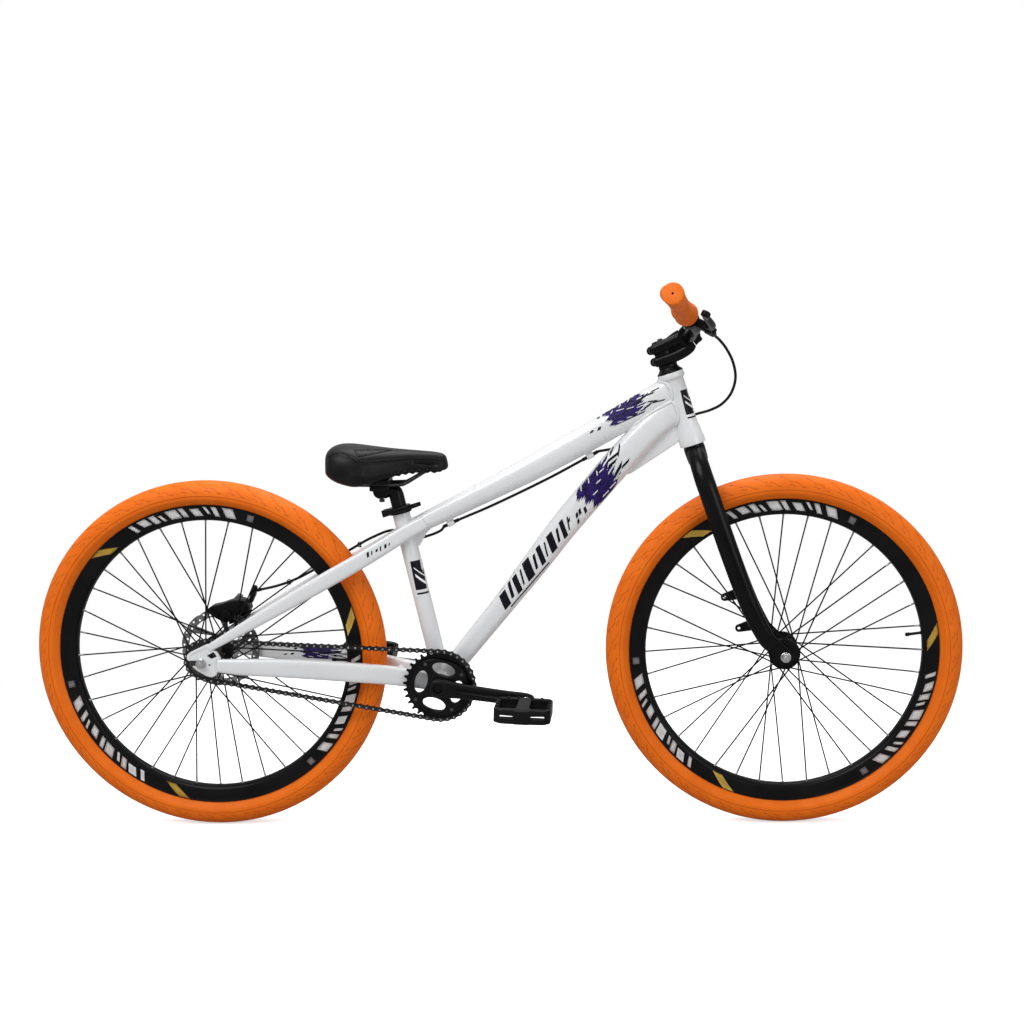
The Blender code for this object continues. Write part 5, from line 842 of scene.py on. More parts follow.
def make_stem():
    root = on_head((STEM_LOW + STEM_HIGH) / 2)
    ahead = (BAR_CENTRE - root).normalized()
    collar = lathe("collar", mm((14.6, 0), (17.5, 0), (18.5, 1), (18.5, 14.5), (17.6, 15.5), (17.6, 23), (18.5, 24),
                                (18.5, 37.5), (17.5, 38.5), (14.6, 38.5)), on_head(STEM_LOW), HEAD_UP, 72)
    reach = (BAR_CENTRE - root).length
    rows = [(root + ahead * reach * share, w, h) for share, w, h in STEM_ROWS]
    body = rings_mesh("body", tube_rings(smooth_rows(rows, 5), 3.4, 48))
    body = carve(body, *[box("waist", root + ahead * reach * 0.44 + SIDE * y, (0.0085, 0.014, 0.040), basis(ahead),
                             0.0038, 4) for y in (-0.0215, 0.0215)])
    clamp = lathe("clamp", eased(0.0131, 0.0205, -0.024, 0.024, 0.001), BAR_CENTRE, SIDE, 72)
    clamp = carve(clamp, box("split", BAR_CENTRE + ahead * 0.0305, (0.06, 0.08, 0.06), basis(ahead), 0))
    parts = [collar, body, clamp]
    lug = mm((0, 0), (6.8, 0), (7.4, 0.7), (7.4, 10.3), (6.6, 11.2), (0, 11.2))
    for up in CLAMP_BOLTS:
        for sign in (-1, 1):
            parts.append(lathe("lug", lug, on_head(up, -0.0215, sign * 0.0013), SIDE * sign, 40))
    for sign in (-1, 1):
        for line in STEM_RIBS:
            rib = [(place(x, sign * y, z), w, h) for (x, y, z), (w, h) in zip(line, RIB_SIZES)]
            parts.append(rings_mesh("rib", tube_rings(smooth_rows(rib, 6), 2.4, 36)))
    fine("stem", join("stem", parts), BLACK, "fork")
    bolts = [hex_bolt(on_head(up, -0.0215, -0.0118), -SIDE, 0.0043, 0.0038) for up in CLAMP_BOLTS]
    return bolts + make_faceplate(ahead) + make_stem_cap()


def make_faceplate(ahead):
    lift = SIDE.cross(ahead) * -1
    bolts = []
    face = lathe("face", mm((13.1, -23), (19.7, -23), (20.5, -22.2), (20.5, -9.5), (19.2, -8), (19.2, 8),
                            (20.5, 9.5), (20.5, 22.2), (19.7, 23), (13.1, 23)), BAR_CENTRE, SIDE, 72)
    back = box("back", BAR_CENTRE - ahead * 0.0285, (0.06, 0.08, 0.06), basis(ahead), 0)
    window = box("window", BAR_CENTRE + ahead * 0.018, (0.011, 0.010, 0.02), basis(ahead), 0.002)
    face = carve(face, back, window)
    boss = mm((0, 2), (4, 2), (4.4, 3), (4.4, 14), (3.8, 14.8), (0, 14.8))
    bosses = []
    for rise in (-0.0150, 0.0150):
        for y in (-0.0155, 0.0155):
            at = BAR_CENTRE + lift * rise + SIDE * y
            bosses.append(lathe("boss", boss, at, ahead, 28))
            bolts.append(hex_bolt(at + ahead * 0.0148, ahead, 0.0034, 0.0028))
    fine("stem_faceplate", join("face", [face, *bosses]), ALLOY, "fork")
    return bolts


def make_stem_cap():
    foot = STEM_HIGH + 0.0003
    cap = lathe("cap", mm((0, 0), (16, 0), (16.5, 0.5), (16.5, 1.8), (15.5, 3.4), (12, 4.2), (6.2, 4.4), (5.8, 3.6),
                          (0, 3.6)), on_head(foot), HEAD_UP, 64)
    fine("stem_cap", cap, ALLOY, "fork")
    return [hex_bolt(on_head(foot + 0.0036), HEAD_UP, 0.0045, 0.0034)]


def grip_ends(sign):
    return place(0.892, sign * 0.205, 0.953), place(0.868, sign * 0.330, 0.988)


def make_bar():
    inner, outer = grip_ends(1)
    along = (outer - inner).normalized()
    bends = mm((0, 0, 0), (0, 30, 0), (1.2, 48, 1.5), (5, 78, 10))
    half = [BAR_CENTRE + Vector(bend) for bend in bends]
    half += [inner - along * 0.088, inner - along * 0.060, inner, outer]
    sizes = [0.0127, 0.0127, 0.0117] + [0.0111] * 5
    points = [Vector((p.x, -p.y, p.z)) for p in half[:0:-1]] + half
    rows = smooth_rows([(p, r) for p, r in zip(points, sizes[:0:-1] + sizes)], 10)
    bar = wire("bar", [r[0] for r in rows], 0, 40, radii=[r[1] for r in rows])
    fine("handlebar", bar, BLACK, "fork")
    for side, sign in SIDES:
        inner, outer = grip_ends(sign)
        way = outer - inner
        n = way.length  # the length of the grip
        profile = list(mm((11.4, 0), (18, 0), (19.3, 0.6), (20.1, 2.2), (20.5, 5), (20.3, 8.5), (19.2, 15), (18, 24)))
        for i in range(1, 26):
            t = i / 26
            waist = 0.0168 - 0.0018 * math.sin(math.pi * min(t * 1.05, 1.0)) - 0.0004 * t
            profile.append((waist + 0.00022 * math.cos(i * math.pi), 0.026 + t * (n - 0.042)))
        profile += [(r, n + h) for r, h in mm((15.5, -13), (16.3, -9.5), (17.6, -6.2), (18.2, -4), (18.2, 2.2),
                                              (17.8, 3.3), (16.8, 3.8), (6, 3.8), (2.2, 3.6), (1.9, 3), (1.9, 0.3),
                                              (11.4, 0.3))]
        fine(f"{side}_grip", lathe("grip", profile, inner, way, 96), GRIP, "fork", 50)


def lever_frame():
    inner, outer = grip_ends(-1)
    out = (outer - inner).normalized()
    lean = Vector((0.80, 0, -0.42))
    ahead = (lean - out * lean.dot(out)).normalized()
    return inner - out * 0.030, out, ahead


def lever_point(out_by, ahead_by):
    centre, out, ahead = lever_frame()
    return centre + out * out_by + ahead * ahead_by


def lever_plate(pairs, half, bevel, per=5):
    """A plate in the lever's own plane, with a smooth outline."""
    centre, out, ahead = lever_frame()
    turn = Matrix((out, ahead, out.cross(ahead))).transposed().to_4x4()
    loop = [(p.x, p.y) for p in smooth_loop([Vector((a, b, 0)) for a, b in pairs], per)]
    return plate("blade", loop, -half, half, (), bevel, Matrix.Translation(centre) @ turn)


def make_lever():
    centre, out, ahead = lever_frame()
    up = ahead.cross(out)
    ring = lathe("ring", mm((11.4, -8.5), (15.2, -8.5), (16.2, -7.8), (16.4, -3), (16.4, 3), (16.2, 7.8),
                            (15.2, 8.5), (11.4, 8.5)), centre, out, 64)
    arm = lever_plate(mm((-7.5, 13), (7.5, 13), (6.2, 30), (3.5, 43), (-11, 44), (-25, 45), (-26.2, 39.5), (-25, 34),
                         (-12, 29)), 0.0075, 0.0018)
    mouth = box("mouth", lever_point(-0.003, 0.039), (0.024, 0.026, 0.0076), Matrix((ahead, out, up)).transposed(), 0)
    arm = carve(arm, mouth)
    boss = box("boss", centre - ahead * 0.0165, (0.010, 0.013, 0.013), Matrix((out, ahead, up)).transposed(), 0.0022,
               3)
    fine("brake_lever_perch", join("perch", [ring, arm, boss]), PLASTIC, "fork")
    adjuster = [(0, -0.0010), (0.0052, -0.0010)]
    for i in range(8):
        adjuster += [(0.0056, i * 0.0011), (0.0052, i * 0.0011 + 0.0005)]
    adjuster += mm((4.2, 9.5), (4, 10.5), (4.6, 11), (4.6, 15.8), (3.8, 16.4), (0, 16.4))
    foot = lever_point(-0.0205, 0.0395)
    small = [lathe("adjuster", adjuster, foot, lever_point(-0.0360, 0.0405) - foot, 32)]
    pivot = lever_point(-0.004, 0.036)
    small.append(hex_bolt(pivot + up * 0.0070, up, 0.0040, 0.0026))
    small.append(hex_bolt(pivot - up * 0.0070, -up, 0.0040, 0.0026))
    small.append(hex_bolt(centre - ahead * 0.0165 - up * 0.0062, -up, 0.0036, 0.0030))
    make("perch_fittings", join("small", small), DARK_STEEL, "fork")
    blade = lever_plate(mm((-8.5, 33), (-2, 30), (12, 33), (30, 42), (55, 45), (90, 43), (108.5, 44), (117, 43.2),
                           (121.5, 49), (118.5, 56), (109, 57), (98, 53), (85, 51.5), (50, 54.5), (25, 52.5),
                           (8, 45.5), (-6, 42)), 0.0052, 0.0022, 6)
    fine("brake_lever", blade, ALLOY, "brake_lever")


# Cables
FRONT_LOOP = mm((950, -124, 908), (962, -106, 893), (974.5, -86, 869), (980, -70, 840), (973.5, -50, 812),
                (958, -28, 791), (937, -4, 778), (915, 18, 770), (893, 30, 762), (860, 33.5, 746), (825, 33.5, 731),
                (795, 31, 720), (765, 28, 708), (746, 11, 706))
REAR_RUN = mm((438, 8, 560), (415, 23.5, 549), (385, 33, 542), (345, 44, 556), (300, 56, 540.5), (250, 62.5, 513),
              (200, 66, 486), (150, 72, 460), (110, 74, 445.5), (69.6, 72.5, 437))


def stop_end(name, sign):
    """The end of a cable stop, and the way along it."""
    (x, z), slope = CABLE_STOPS[name]
    along = Vector((slope[0], 0, slope[1])).normalized()
    return place(x, 0, z) + along * sign * 0.0068, along


def make_cables():
    front_end, front_way = stop_end("front", 1)
    mid_start, _ = stop_end("front", -1)
    mid_end, _ = stop_end("rear", 1)
    rear_start, rear_way = stop_end("rear", -1)
    lever_end = lever_point(-0.0368, 0.0405)
    _, out, _ = lever_frame()
    sag = Vector((0, 0, -0.004))
    routes = {"front": [lever_end, lever_end - out * 0.012, *[place(*r) for r in FRONT_LOOP],
                        front_end + front_way * 0.010, front_end],
              "middle": [mid_start, mid_start.lerp(mid_end, 0.3) + sag, mid_start.lerp(mid_end, 0.7) + sag, mid_end],
              "rear": [rear_start, rear_start - rear_way * 0.008, *[place(*r) for r in REAR_RUN]]}
    fittings = []
    ferrule = mm((0, 0), (3, 0), (3.3, 0.4), (3.3, 8.5), (2.9, 9.2), (0, 9.2))
    for name, route in routes.items():
        points = smooth_path(route, 9)
        for end, start in ((points[0], points[2]), (points[-1], points[-3])):
            fittings.append(lathe("ferrule", ferrule, end, start - end, 24))
        mesh = wire("cable", points, 0.0025, 16)
        if name == "front":
            housing = fine("brake_cable_front", mesh, CABLE, None, 0)
            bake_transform(housing)
        else:
            fine(f"brake_cable_{name}", mesh, CABLE)
    make("lever_ferrule", fittings.pop(0), CABLE, "fork")
    make("cable_ferrules", join("ferrules", fittings), CABLE, FRAME)
    ties = []
    for x, y, z in mm((275, 59.6, 527), (200, 66.4, 486.2), (133, 73.3, 453.5)):
        spot = place(x, y, z)
        ring = [spot + Vector((0.0034 * math.cos(a), -0.0026 + 0.0036 * math.sin(a), 0.0040 * math.sin(a)))
                for a in (2 * math.pi * i / 24 for i in range(24))]
        ties.append(wire("tie", ring, 0.0009, 8, True))
        ties.append(box("tie_head", spot + Vector((0.001, 0.0012, -0.0046)), (0.0034, 0.0032, 0.0034), bevel=0.0006))
    make("cable_ties", join("ties", ties), PLASTIC, FRAME)


make_fork()
make("stem_bolts", join("stem_bolts", make_stem()), DARK_STEEL, "fork")
make_bar()
make_lever()
make_cables()


# Wheels
TYRE_RADIUS = 0.330
TYRE_HALF = 0.0255
TYRE_STEPS = 1100, 72
TREAD_PITCHES = 44
TREAD_DEPTH = 0.0009
PRINT_BAND = 0.2650, 0.2825
SPOKES = 18
SPOKE_RADIUS = 0.00138
SPOKE_HOLES = 0.0255
NIPPLE_SEAT = 0.2555


def radial(angle, radius, y=0.0):
    return Vector((math.cos(angle) * radius, y, math.sin(angle) * radius))


TREAD = ((0.0, 0.64, -0.15, 0.08, 0.66), (0.5, 0.44, -0.17, 0.10, 0.70), (0.12, 0.22, -0.13, 0.12, 0.64),
         (0.68, 0.68, 0.09, 0.20, 0.52), (0.30, 0.10, 0.07, 0.30, 0.66))


def grooved(angle, share):
    """Depth of the tread's short wavy strokes at a wheel angle and a place across the tyre from 0 to 1."""
    pitch = 2 * math.pi / TREAD_PITCHES
    side = abs(share - 0.5) * 2
    depth = 0.0
    if 0.05 < side < 0.80:
        for shift, at, slope, first, last in TREAD:
            wave = (angle / pitch + shift) % 1.0
            if first < wave < last:
                t = (wave - first) / (last - first)
                line = at + slope * (t - 0.5) + 0.050 * math.sin(2 * math.pi * t)
                depth = max(depth, (1 - abs(side - line) * 0.048 / 0.0014) * min(t / 0.14, (1 - t) / 0.14, 1))
    return TREAD_DEPTH * max(min(depth, 1.0), 0.0)


TYRE_INSIDE = mm((-13.6, 288.5), (-12.4, 286.5), (-12.4, 277.5), (-9.2, 277.5), (-9.2, 288.3), (0, 326.2),
                 (9.2, 288.3), (9.2, 277.5), (12.4, 277.5), (12.4, 286.5), (13.6, 288.5))


def make_tyre(end, centre):
    middle = TYRE_RADIUS - TYRE_HALF
    around, across = TYRE_STEPS
    bm = bmesh.new()
    groove_shade_layer = bm.verts.layers.float.new("groove")
    rows = []
    for i in range(around):
        angle = 2 * math.pi * i / around
        row = []
        for k in range(across + 1):
            share = k / across
            turn = math.radians(-18 + 216 * share)
            depth = grooved(angle, share)
            swell = TYRE_HALF - depth
            if 0.075 < share < 0.093 or 0.907 < share < 0.925:
                swell += 0.0004
            row.append(bm.verts.new(centre + radial(angle, middle + swell * math.sin(turn), swell * math.cos(turn))))
            edge_line = 0.064 < share < 0.078 or 0.922 < share < 0.936
            # The groove attribute holds painted shade: the tread strokes are darkened by their depth, and a dark line
            # is set at the foot of each sidewall ridge.
            row[-1][groove_shade_layer] = depth / TREAD_DEPTH + (0.8 if edge_line else 0.0)
        row += [bm.verts.new(centre + radial(angle, r, y)) for y, r in TYRE_INSIDE]
        rows.append(row)
    n = len(rows[0])
    for i in range(around):
        a, b = rows[i], rows[(i + 1) % around]
        for k in range(n):
            j = (k + 1) % n
            bm.faces.new((a[k], a[j], b[j], b[k]))
    fine(f"{end}_tyre", from_bmesh("tyre", bm), TYRE, f"{end}_wheel", 50)


def rim_side(radius):
    """Half the rim's width at a radius of its sidewall."""
    return 0.01305 + (radius - 0.263) / 0.023 * 0.00145


def rim_label(centre, sign, start, low, high, width, lean):
    """A thin block printed on the rim's side, from a start angle, between two radii, leaning along the rim."""
    bm = bmesh.new()
    around, across = max(int(width / 0.004), 3), 4
    grid = []
    for i in range(around + 1):
        row = []
        for k in range(across + 1):
            radius = low + (high - low) * k / across
            angle = start + (width * (i / around - 0.5) + lean * (k / across - 0.5)) / 0.2745
            row.append(bm.verts.new(centre + radial(angle, radius, sign * (rim_side(radius) + 0.00035))))
        grid.append(row)
    add_quads(bm, grid)
    bmesh.ops.solidify(bm, geom=bm.faces[:], thickness=0.0002)
    return from_bmesh("label", bm)


def add_quads(bm, grid):
    """Faces between the rows of a grid of vertices, where none of the four is missing."""
    for a, b in zip(grid, grid[1:]):
        for i in range(len(a) - 1):
            quad = (a[i], b[i], b[i + 1], a[i + 1])
            if all(quad):
                bm.faces.new(quad)


RIM_HALF = mm((285.6, 14.5), (283.8, 14.5), (283.4, 14.1), (275.5, 13.85), (270, 13.5), (264, 13.1), (260.5, 11.9),
              (257.5, 9), (255.8, 5), (255.2, 0))
RIM_LIPS = mm((286, -14.1), (286, -13.1), (285.6, -12.7), (277, -12.7), (277, 12.7), (285.6, 12.7), (286, 13.1),
              (286, 14.1))
# Angle, width, and how far the block starts inside and ends short of the printed band
RIM_BLOCKS = ((-0.34, 0.020, 0, 0), (-0.245, 0.010, 0, 0), (-0.185, 0.006, 0.004, 0), (-0.115, 0.017, 0, 0.003),
              (-0.025, 0.010, 0, 0), (0.045, 0.021, 0, 0), (0.125, 0.006, 0, 0.004), (0.180, 0.012, 0, 0),
              (0.255, 0.017, 0.003, 0), (0.335, 0.008, 0, 0))
VALVE = mm((0, -1), (4.2, -1), (4.2, 1), (3, 2.2), (2.6, 3), (2.6, 21.5), (3.1, 22), (3.4, 22.6), (3.4, 29.2),
           (2.8, 30), (0, 30))


def make_rim(end, centre, valve, turn):
    body = f"{end}_wheel"
    profile = [*RIM_HALF, *[(r, -y) for r, y in RIM_HALF[-2::-1]], *RIM_LIPS]
    fine(f"{end}_rim", lathe("rim", profile, centre, SIDE, 220), RIM_PAINT, body, 40)
    prints = {"white": [], "grey": [], "yellow": []}
    low, high = PRINT_BAND
    for sign in (-1, 1):
        for third in range(3):
            base = turn + 2 * math.pi * third / 3
            blocks = [("white", angle, low + inside, high - short, width, 0.010)
                      for angle, width, inside, short in RIM_BLOCKS]
            blocks.append(("yellow", 0.60, low - 0.002, high + 0.002, 0.021, 0.032))
            blocks.append(("grey", -0.485, low + 0.0025, high - 0.0025, 0.013, 0))
            for ink, angle, start, stop, width, lean in blocks:
                prints[ink].append(rim_label(centre, sign, base - sign * angle, start, stop, width, -sign * lean))
    for ink, labels in prints.items():
        make(f"{end}_rim_print_{ink}", join("print", labels), PRINTS[ink], body, sharp=0)
    out = radial(valve, 1)
    make(f"{end}_valve", lathe("valve", VALVE, centre + out * 0.2565, -out, 24), PLASTIC, body)


FLANGE = mm((12.5, 3.4), (14, 2.2), (27.5, 2.2), (29, 1.3), (29, -1.3), (27.5, -2.2), (19.5, -3.4), (17, -6.6))
SPOKE_HEAD = mm((0, -0.6), (1.2, -0.5), (1.9, 0), (1.9, 0.6), (0, 0.6))
NIPPLE_SHAPE = mm((0, 0), (1, 0), (1.7, 0.8), (1.8, 10), (2.4, 10.8), (2.4, 13.5), (0, 13.5))


def hub_half(flange, end, out):
    """Profile from the hub's end over its flange; out is 1 or -1, the way out along the axle."""
    return [(0.0054, end), (0.0118, end), (0.0125, end - out * 0.0008)] + [(r, flange + out * y) for r, y in FLANGE]


def make_wheel_middle(end, centre, near, far, near_end, far_end):
    body = f"{end}_wheel"
    profile, other = hub_half(near, near_end, -1), hub_half(far, far_end, 1)
    foot, run = profile[-1][1], other[-1][1] - profile[-1][1]
    profile += [(0.0165 - 0.0022 * math.sin(math.pi * i / 9), foot + run * i / 9) for i in range(1, 9)]
    hub = lathe("hub", profile + other[::-1], centre, SIDE, 72)
    make(f"{end}_hub_fine", hub, ALLOY, body, [f"{end}_hub_and_spokes"])
    step = 2 * math.pi / SPOKES
    spokes, nipples = [], []
    for index, flange in enumerate((near, far)):
        for lean in (1, -1):
            for spoke in range(0, SPOKES, 2):
                hole = spoke * step + index * step / 2 + (0 if lean > 0 else step)
                head, heel, bend = [centre + radial(hole, SPOKE_HOLES, flange + lean * y)
                                    for y in (-0.0040, 0.0012, 0.0022)]
                tip = centre + radial(hole + lean * 3 * step, NIPPLE_SEAT,
                                      math.copysign(0.0025, flange) + lean * 0.0006)
                way = (tip - bend).normalized()
                points = [head, heel, bend + way * 0.0010, bend + way * 0.004, bend.lerp(tip, 0.35),
                          bend.lerp(tip, 0.7), tip - way * 0.010]
                spokes.append(wire("spoke", points, SPOKE_RADIUS, 8))
                spokes.append(lathe("head", SPOKE_HEAD, head, SIDE, 12))
                nipples.append(lathe("nipple", NIPPLE_SHAPE, tip - way * 0.0115, way, 10))
    make(f"{end}_spokes", join("spokes", spokes), SPOKE, body, sharp=0)
    make(f"{end}_nipples", join("nipples", nipples), NIPPLE, body)


WASHER = mm((5.2, 0), (9.5, 0), (9.5, 1.2), (9.1, 1.6), (5.2, 1.6))
NUT = mm((5.2, 1.6), (8.6, 1.6), (8.8, 2.6), (8.8, 7.8), (7.8, 9.1), (5.2, 9.1))
NUT_FLANGE = mm((5.2, 1.6), (9.4, 1.6), (9.4, 2.6), (8.4, 3.2), (5.2, 3.2))


def make_axle(end, centre, old, body):
    """Axle with its nuts; old is the width between the dropouts."""
    seat = old / 2 + 0.0063
    parts = [rod("axle", centre - SIDE * (seat + 0.0121), centre + SIDE * (seat + 0.0121), 0.0050, 32, 0.0008)]
    for sign in (-1, 1):
        for profile, steps in ((WASHER, 48), (NUT, 6), (NUT_FLANGE, 48)):
            parts.append(lathe("nut", profile, centre + SIDE * sign * seat, SIDE * sign, steps))
    fine(f"{end}_axle", join("axle", parts), STEEL, body, 30)


# Drive
PITCH = 0.0127
LINKS = 94
CHAINRING_TEETH, FREEWHEEL_TEETH = 32, 18
SPROCKET_HALF = 0.0014
CRANK_LENGTH = 0.165
SPIDER_BACK = CHAIN_LINE + 0.0017
ARM_TURN = math.radians(28)
CRANK_SLOPE = math.radians(-7.7)
CRANK_AHEAD = Vector((math.cos(CRANK_SLOPE), 0, math.sin(CRANK_SLOPE)))


def sprocket_radius(teeth):
    return PITCH / (2 * math.sin(math.pi / teeth))


def chain_path():
    rear, front = REAR_AXLE, BOTTOM_BRACKET
    small, large = sprocket_radius(FREEWHEEL_TEETH), sprocket_radius(CHAINRING_TEETH)
    between = front - rear
    heading = math.atan2(between.z, between.x)
    lean = math.asin((large - small) / between.length)
    top, bottom = heading + math.pi / 2 + lean, heading - math.pi / 2 - lean
    run = math.sqrt(between.length ** 2 - (large - small) ** 2)
    total = 2 * run + large * (top - bottom) + small * (2 * math.pi - (top - bottom))

    def at(distance):
        distance %= total
        if distance < run:
            return (rear + radial(top, small)).lerp(front + radial(top, large), distance / run)
        distance -= run
        if distance < large * (top - bottom):
            return front + radial(top - distance / large, large)
        distance -= large * (top - bottom)
        if distance < run:
            return (front + radial(bottom, large)).lerp(rear + radial(bottom, small), distance / run)
        return rear + radial(bottom - (distance - run) / small, small)

    return at, total


CHAIN_AT, CHAIN_LENGTH = chain_path()
PINS = [CHAIN_AT(CHAIN_LENGTH * i / LINKS) - SIDE * CHAIN_LINE for i in range(LINKS)]


def tooth_phase(centre, mean):
    towards = radial(mean, 1)
    pins = [pin + SIDE * CHAIN_LINE - centre for pin in PINS]
    nearest = max(pins, key=lambda pin: pin.normalized().dot(towards) - abs(pin.length - 0.05))
    return math.atan2(nearest.z, nearest.x)


TOOTH = mm((-2.1, 1.4), (-1, 2.7), (0, 3), (1, 2.7), (2.1, 1.4))


def tooth_outline(centre, teeth, phase):
    """Round roller seats with short, eased teeth between them."""
    radius = sprocket_radius(teeth)
    step = 2 * math.pi / teeth
    out = []
    for i in range(teeth):
        seat = phase + i * step
        for k in range(9):
            swing = math.radians(-62 + 15.5 * k)
            out.append(centre + radial(seat, radius) + radial(seat + math.pi - swing, 0.0040))
        out += [centre + radial(seat + step / 2 + turn / radius, radius + reach) for turn, reach in TOOTH]
    return out


CHAIN_PIN = mm((0, -5), (1.4, -5), (1.8, -4.7), (1.8, 4.7), (1.4, 5), (0, 5))


def link_shape(waist, end_radius):
    """A side plate's outline: two round ends and a waist between them."""
    loop = []
    for sign in (1, -1):
        for k in range(9):
            a = math.radians(-105 + 210 * k / 8)
            loop.append((sign * (PITCH / 2 + end_radius * math.cos(a)), sign * end_radius * math.sin(a)))
        loop += [(sign * 0.0018, sign * waist), (-sign * 0.0018, sign * waist)]
    return loop


def make_chain():
    plates, rollers, pins = [], [], []
    kinds = ((0.0026, link_shape(0.0027, 0.0043)), (0.0038, link_shape(0.0024, 0.0041)))
    for i in range(LINKS):
        a, b = PINS[i], PINS[(i + 1) % LINKS]
        along = (b - a).normalized()
        up = Vector((-along.z, 0, along.x))
        turn = Matrix((along, up, along.cross(up))).transposed().to_4x4()
        offset, shape = kinds[i % 2]
        for sign in (-1, 1):
            at = Matrix.Translation((a + b) / 2 + SIDE * sign * offset) @ turn
            plates.append(plate("link", shape, -0.0005, 0.0005, bevel=0.00018, frame_at=at))
        rollers.append(rod("roller", a - SIDE * 0.0020, a + SIDE * 0.0020, 0.0038, 16))
        pins.append(lathe("pin", CHAIN_PIN, a, SIDE, 12))
    make("chain_plates", join("plates", plates), CHAIN_METAL, FRAME, ["chain"], sharp=40)
    make("chain_pins", join("pins", pins), SILVER, FRAME)
    make("chain_rollers", join("rollers", rollers), DARK_STEEL, FRAME)


def sprocket(name, centre, teeth, mean, bore, steps, bevel):
    outline = tooth_outline(centre, teeth, tooth_phase(centre, mean))
    return plate(name, outline, -CHAIN_LINE - SPROCKET_HALF, -CHAIN_LINE + SPROCKET_HALF,
                 [circle(centre, bore, steps)], bevel)


def make_spider():
    """A waved disc with four oval windows."""
    outline = [BOTTOM_BRACKET + radial(a, 0.0530 + 0.0026 * math.cos(4 * (a - ARM_TURN)))
               for a in (2 * math.pi * i / 96 for i in range(96))]
    windows = []
    for index in range(4):
        out = radial(math.radians(73) + index * math.pi / 2, 1)
        around = Vector((-out.z, 0, out.x))
        windows.append([BOTTOM_BRACKET + out * (0.0342 + 0.0118 * math.cos(b)) + around * 0.0215 * math.sin(b)
                        for b in (2 * math.pi * k / 40 for k in range(40))])
    return plate("spider", outline, -SPIDER_BACK - 0.0085, -SPIDER_BACK, windows, 0.0022)


# Share of the crank's length, half width, half height, flare outwards
CRANK_ROWS = ((-0.090, 0.0052, 0.0070, 0.0), (-0.075, 0.0066, 0.0120, 0.0), (-0.040, 0.0078, 0.0158, 0.0),
              (0.080, 0.0080, 0.0165, 0.0), (0.300, 0.0068, 0.0140, 0.002), (0.700, 0.0062, 0.0128, 0.005),
              (0.960, 0.0062, 0.0135, 0.007), (1.045, 0.0058, 0.0115, 0.007), (1.075, 0.0053, 0.0080, 0.007),
              (1.088, 0.0044, 0.0040, 0.007))
CRANK_BOSS = mm((9.5, 45), (16, 45), (17.2, 46.5), (17.2, 60), (15, 66), (9.5, 66))
PEDAL_AXLE = mm((0, 78.5), (8.5, 78.5), (8.5, 80), (7, 80.8), (7, 93.5), (6.2, 94.5), (4.5, 95.2), (4.5, 169.5),
                (4, 170), (0, 170))


def make_crank_arm(side, sign):
    towards, out = CRANK_AHEAD * -sign, SIDE * sign
    rows = [(BOTTOM_BRACKET + towards * CRANK_LENGTH * share + out * (0.064 + flare), w, h)
            for share, w, h, flare in CRANK_ROWS]
    arm = rings_mesh("arm", tube_rings(smooth_rows(rows, 6), 3.0, 44))
    start = BOTTOM_BRACKET + towards * 0.034 + out * 0.0735
    way = towards * 0.106 + out * 0.0050
    n = way.length
    profile = [(0, 0), (0.0030, 0.0006), (0.0046, 0.0026), (0.0050, 0.006), (0.0046, n - 0.006),
               (0.0036, n - 0.0016), (0, n)]
    well = rod("well", BOTTOM_BRACKET + out * 0.0636, BOTTOM_BRACKET + out * 0.0850, 0.0092, 48)
    pieces = [carve(arm, lathe("groove", profile, start, way, 32), well),
              lathe("boss", CRANK_BOSS, BOTTOM_BRACKET, out, 64)]
    if sign < 0:
        pieces.append(make_spider())
    fine(f"{side}_crank_arm", join("arm", pieces), ALLOY, "crankset", 40)
    axle = lathe("pedal_axle", PEDAL_AXLE, BOTTOM_BRACKET + towards * CRANK_LENGTH, out, 32)
    make(f"{side}_pedal_axle", axle, STEEL, "crankset")


def make_cranks():
    ring = sprocket("ring", BOTTOM_BRACKET, CHAINRING_TEETH, 0.0, 0.0462, 96, 0.0006)
    lip = lathe("lip", mm((46, -2.6), (49, -2.6), (49.6, -1.6), (49.6, 1), (46, 1)),
                BOTTOM_BRACKET - SIDE * CHAIN_LINE, SIDE, 128)
    fine("chainring", join("ring", [ring, lip]), BLACK, "crankset")
    for side, sign in SIDES:
        make_crank_arm(side, sign)
    bolts = []
    for i in range(4):
        spot = BOTTOM_BRACKET + radial(ARM_TURN + i * math.pi / 2, 0.0490)
        bolts.append(hex_bolt(spot - SIDE * (SPIDER_BACK + 0.0083), -SIDE, 0.0031, 0.0012))
        bolts.append(hex_bolt(spot - SIDE * (CHAIN_LINE - 0.0012), SIDE, 0.0048, 0.0022))
    caps = [hex_bolt(BOTTOM_BRACKET + SIDE * sign * 0.0632, SIDE * sign, 0.0084, 0.0052) for sign in (-1, 1)]
    make("crank_caps", join("caps", caps), ALLOY, "crankset")
    make("crank_bolts", join("bolts", bolts), BOLT_METAL, "crankset")


SPINDLE = mm((0, -63), (6.6, -63), (6.6, -46.7), (8.5, -44.7), (8.5, 44.7), (6.6, 46.7), (6.6, 63), (0, 63))
CUP = mm((9.2, 34.3), (19, 34.3), (19.5, 34.8), (19.5, 37.8), (18.8, 38.4), (15, 38.4), (14.5, 37.2), (9.2, 37.2))
FREEWHEEL = mm((13.1, -37.5), (24, -37.5), (24.5, -38), (24.5, -49.2), (24, -49.7), (21.5, -49.8), (21.3, -50.6),
               (20.8, -50.8), (20.6, -52.5), (20, -53), (13.1, -53))


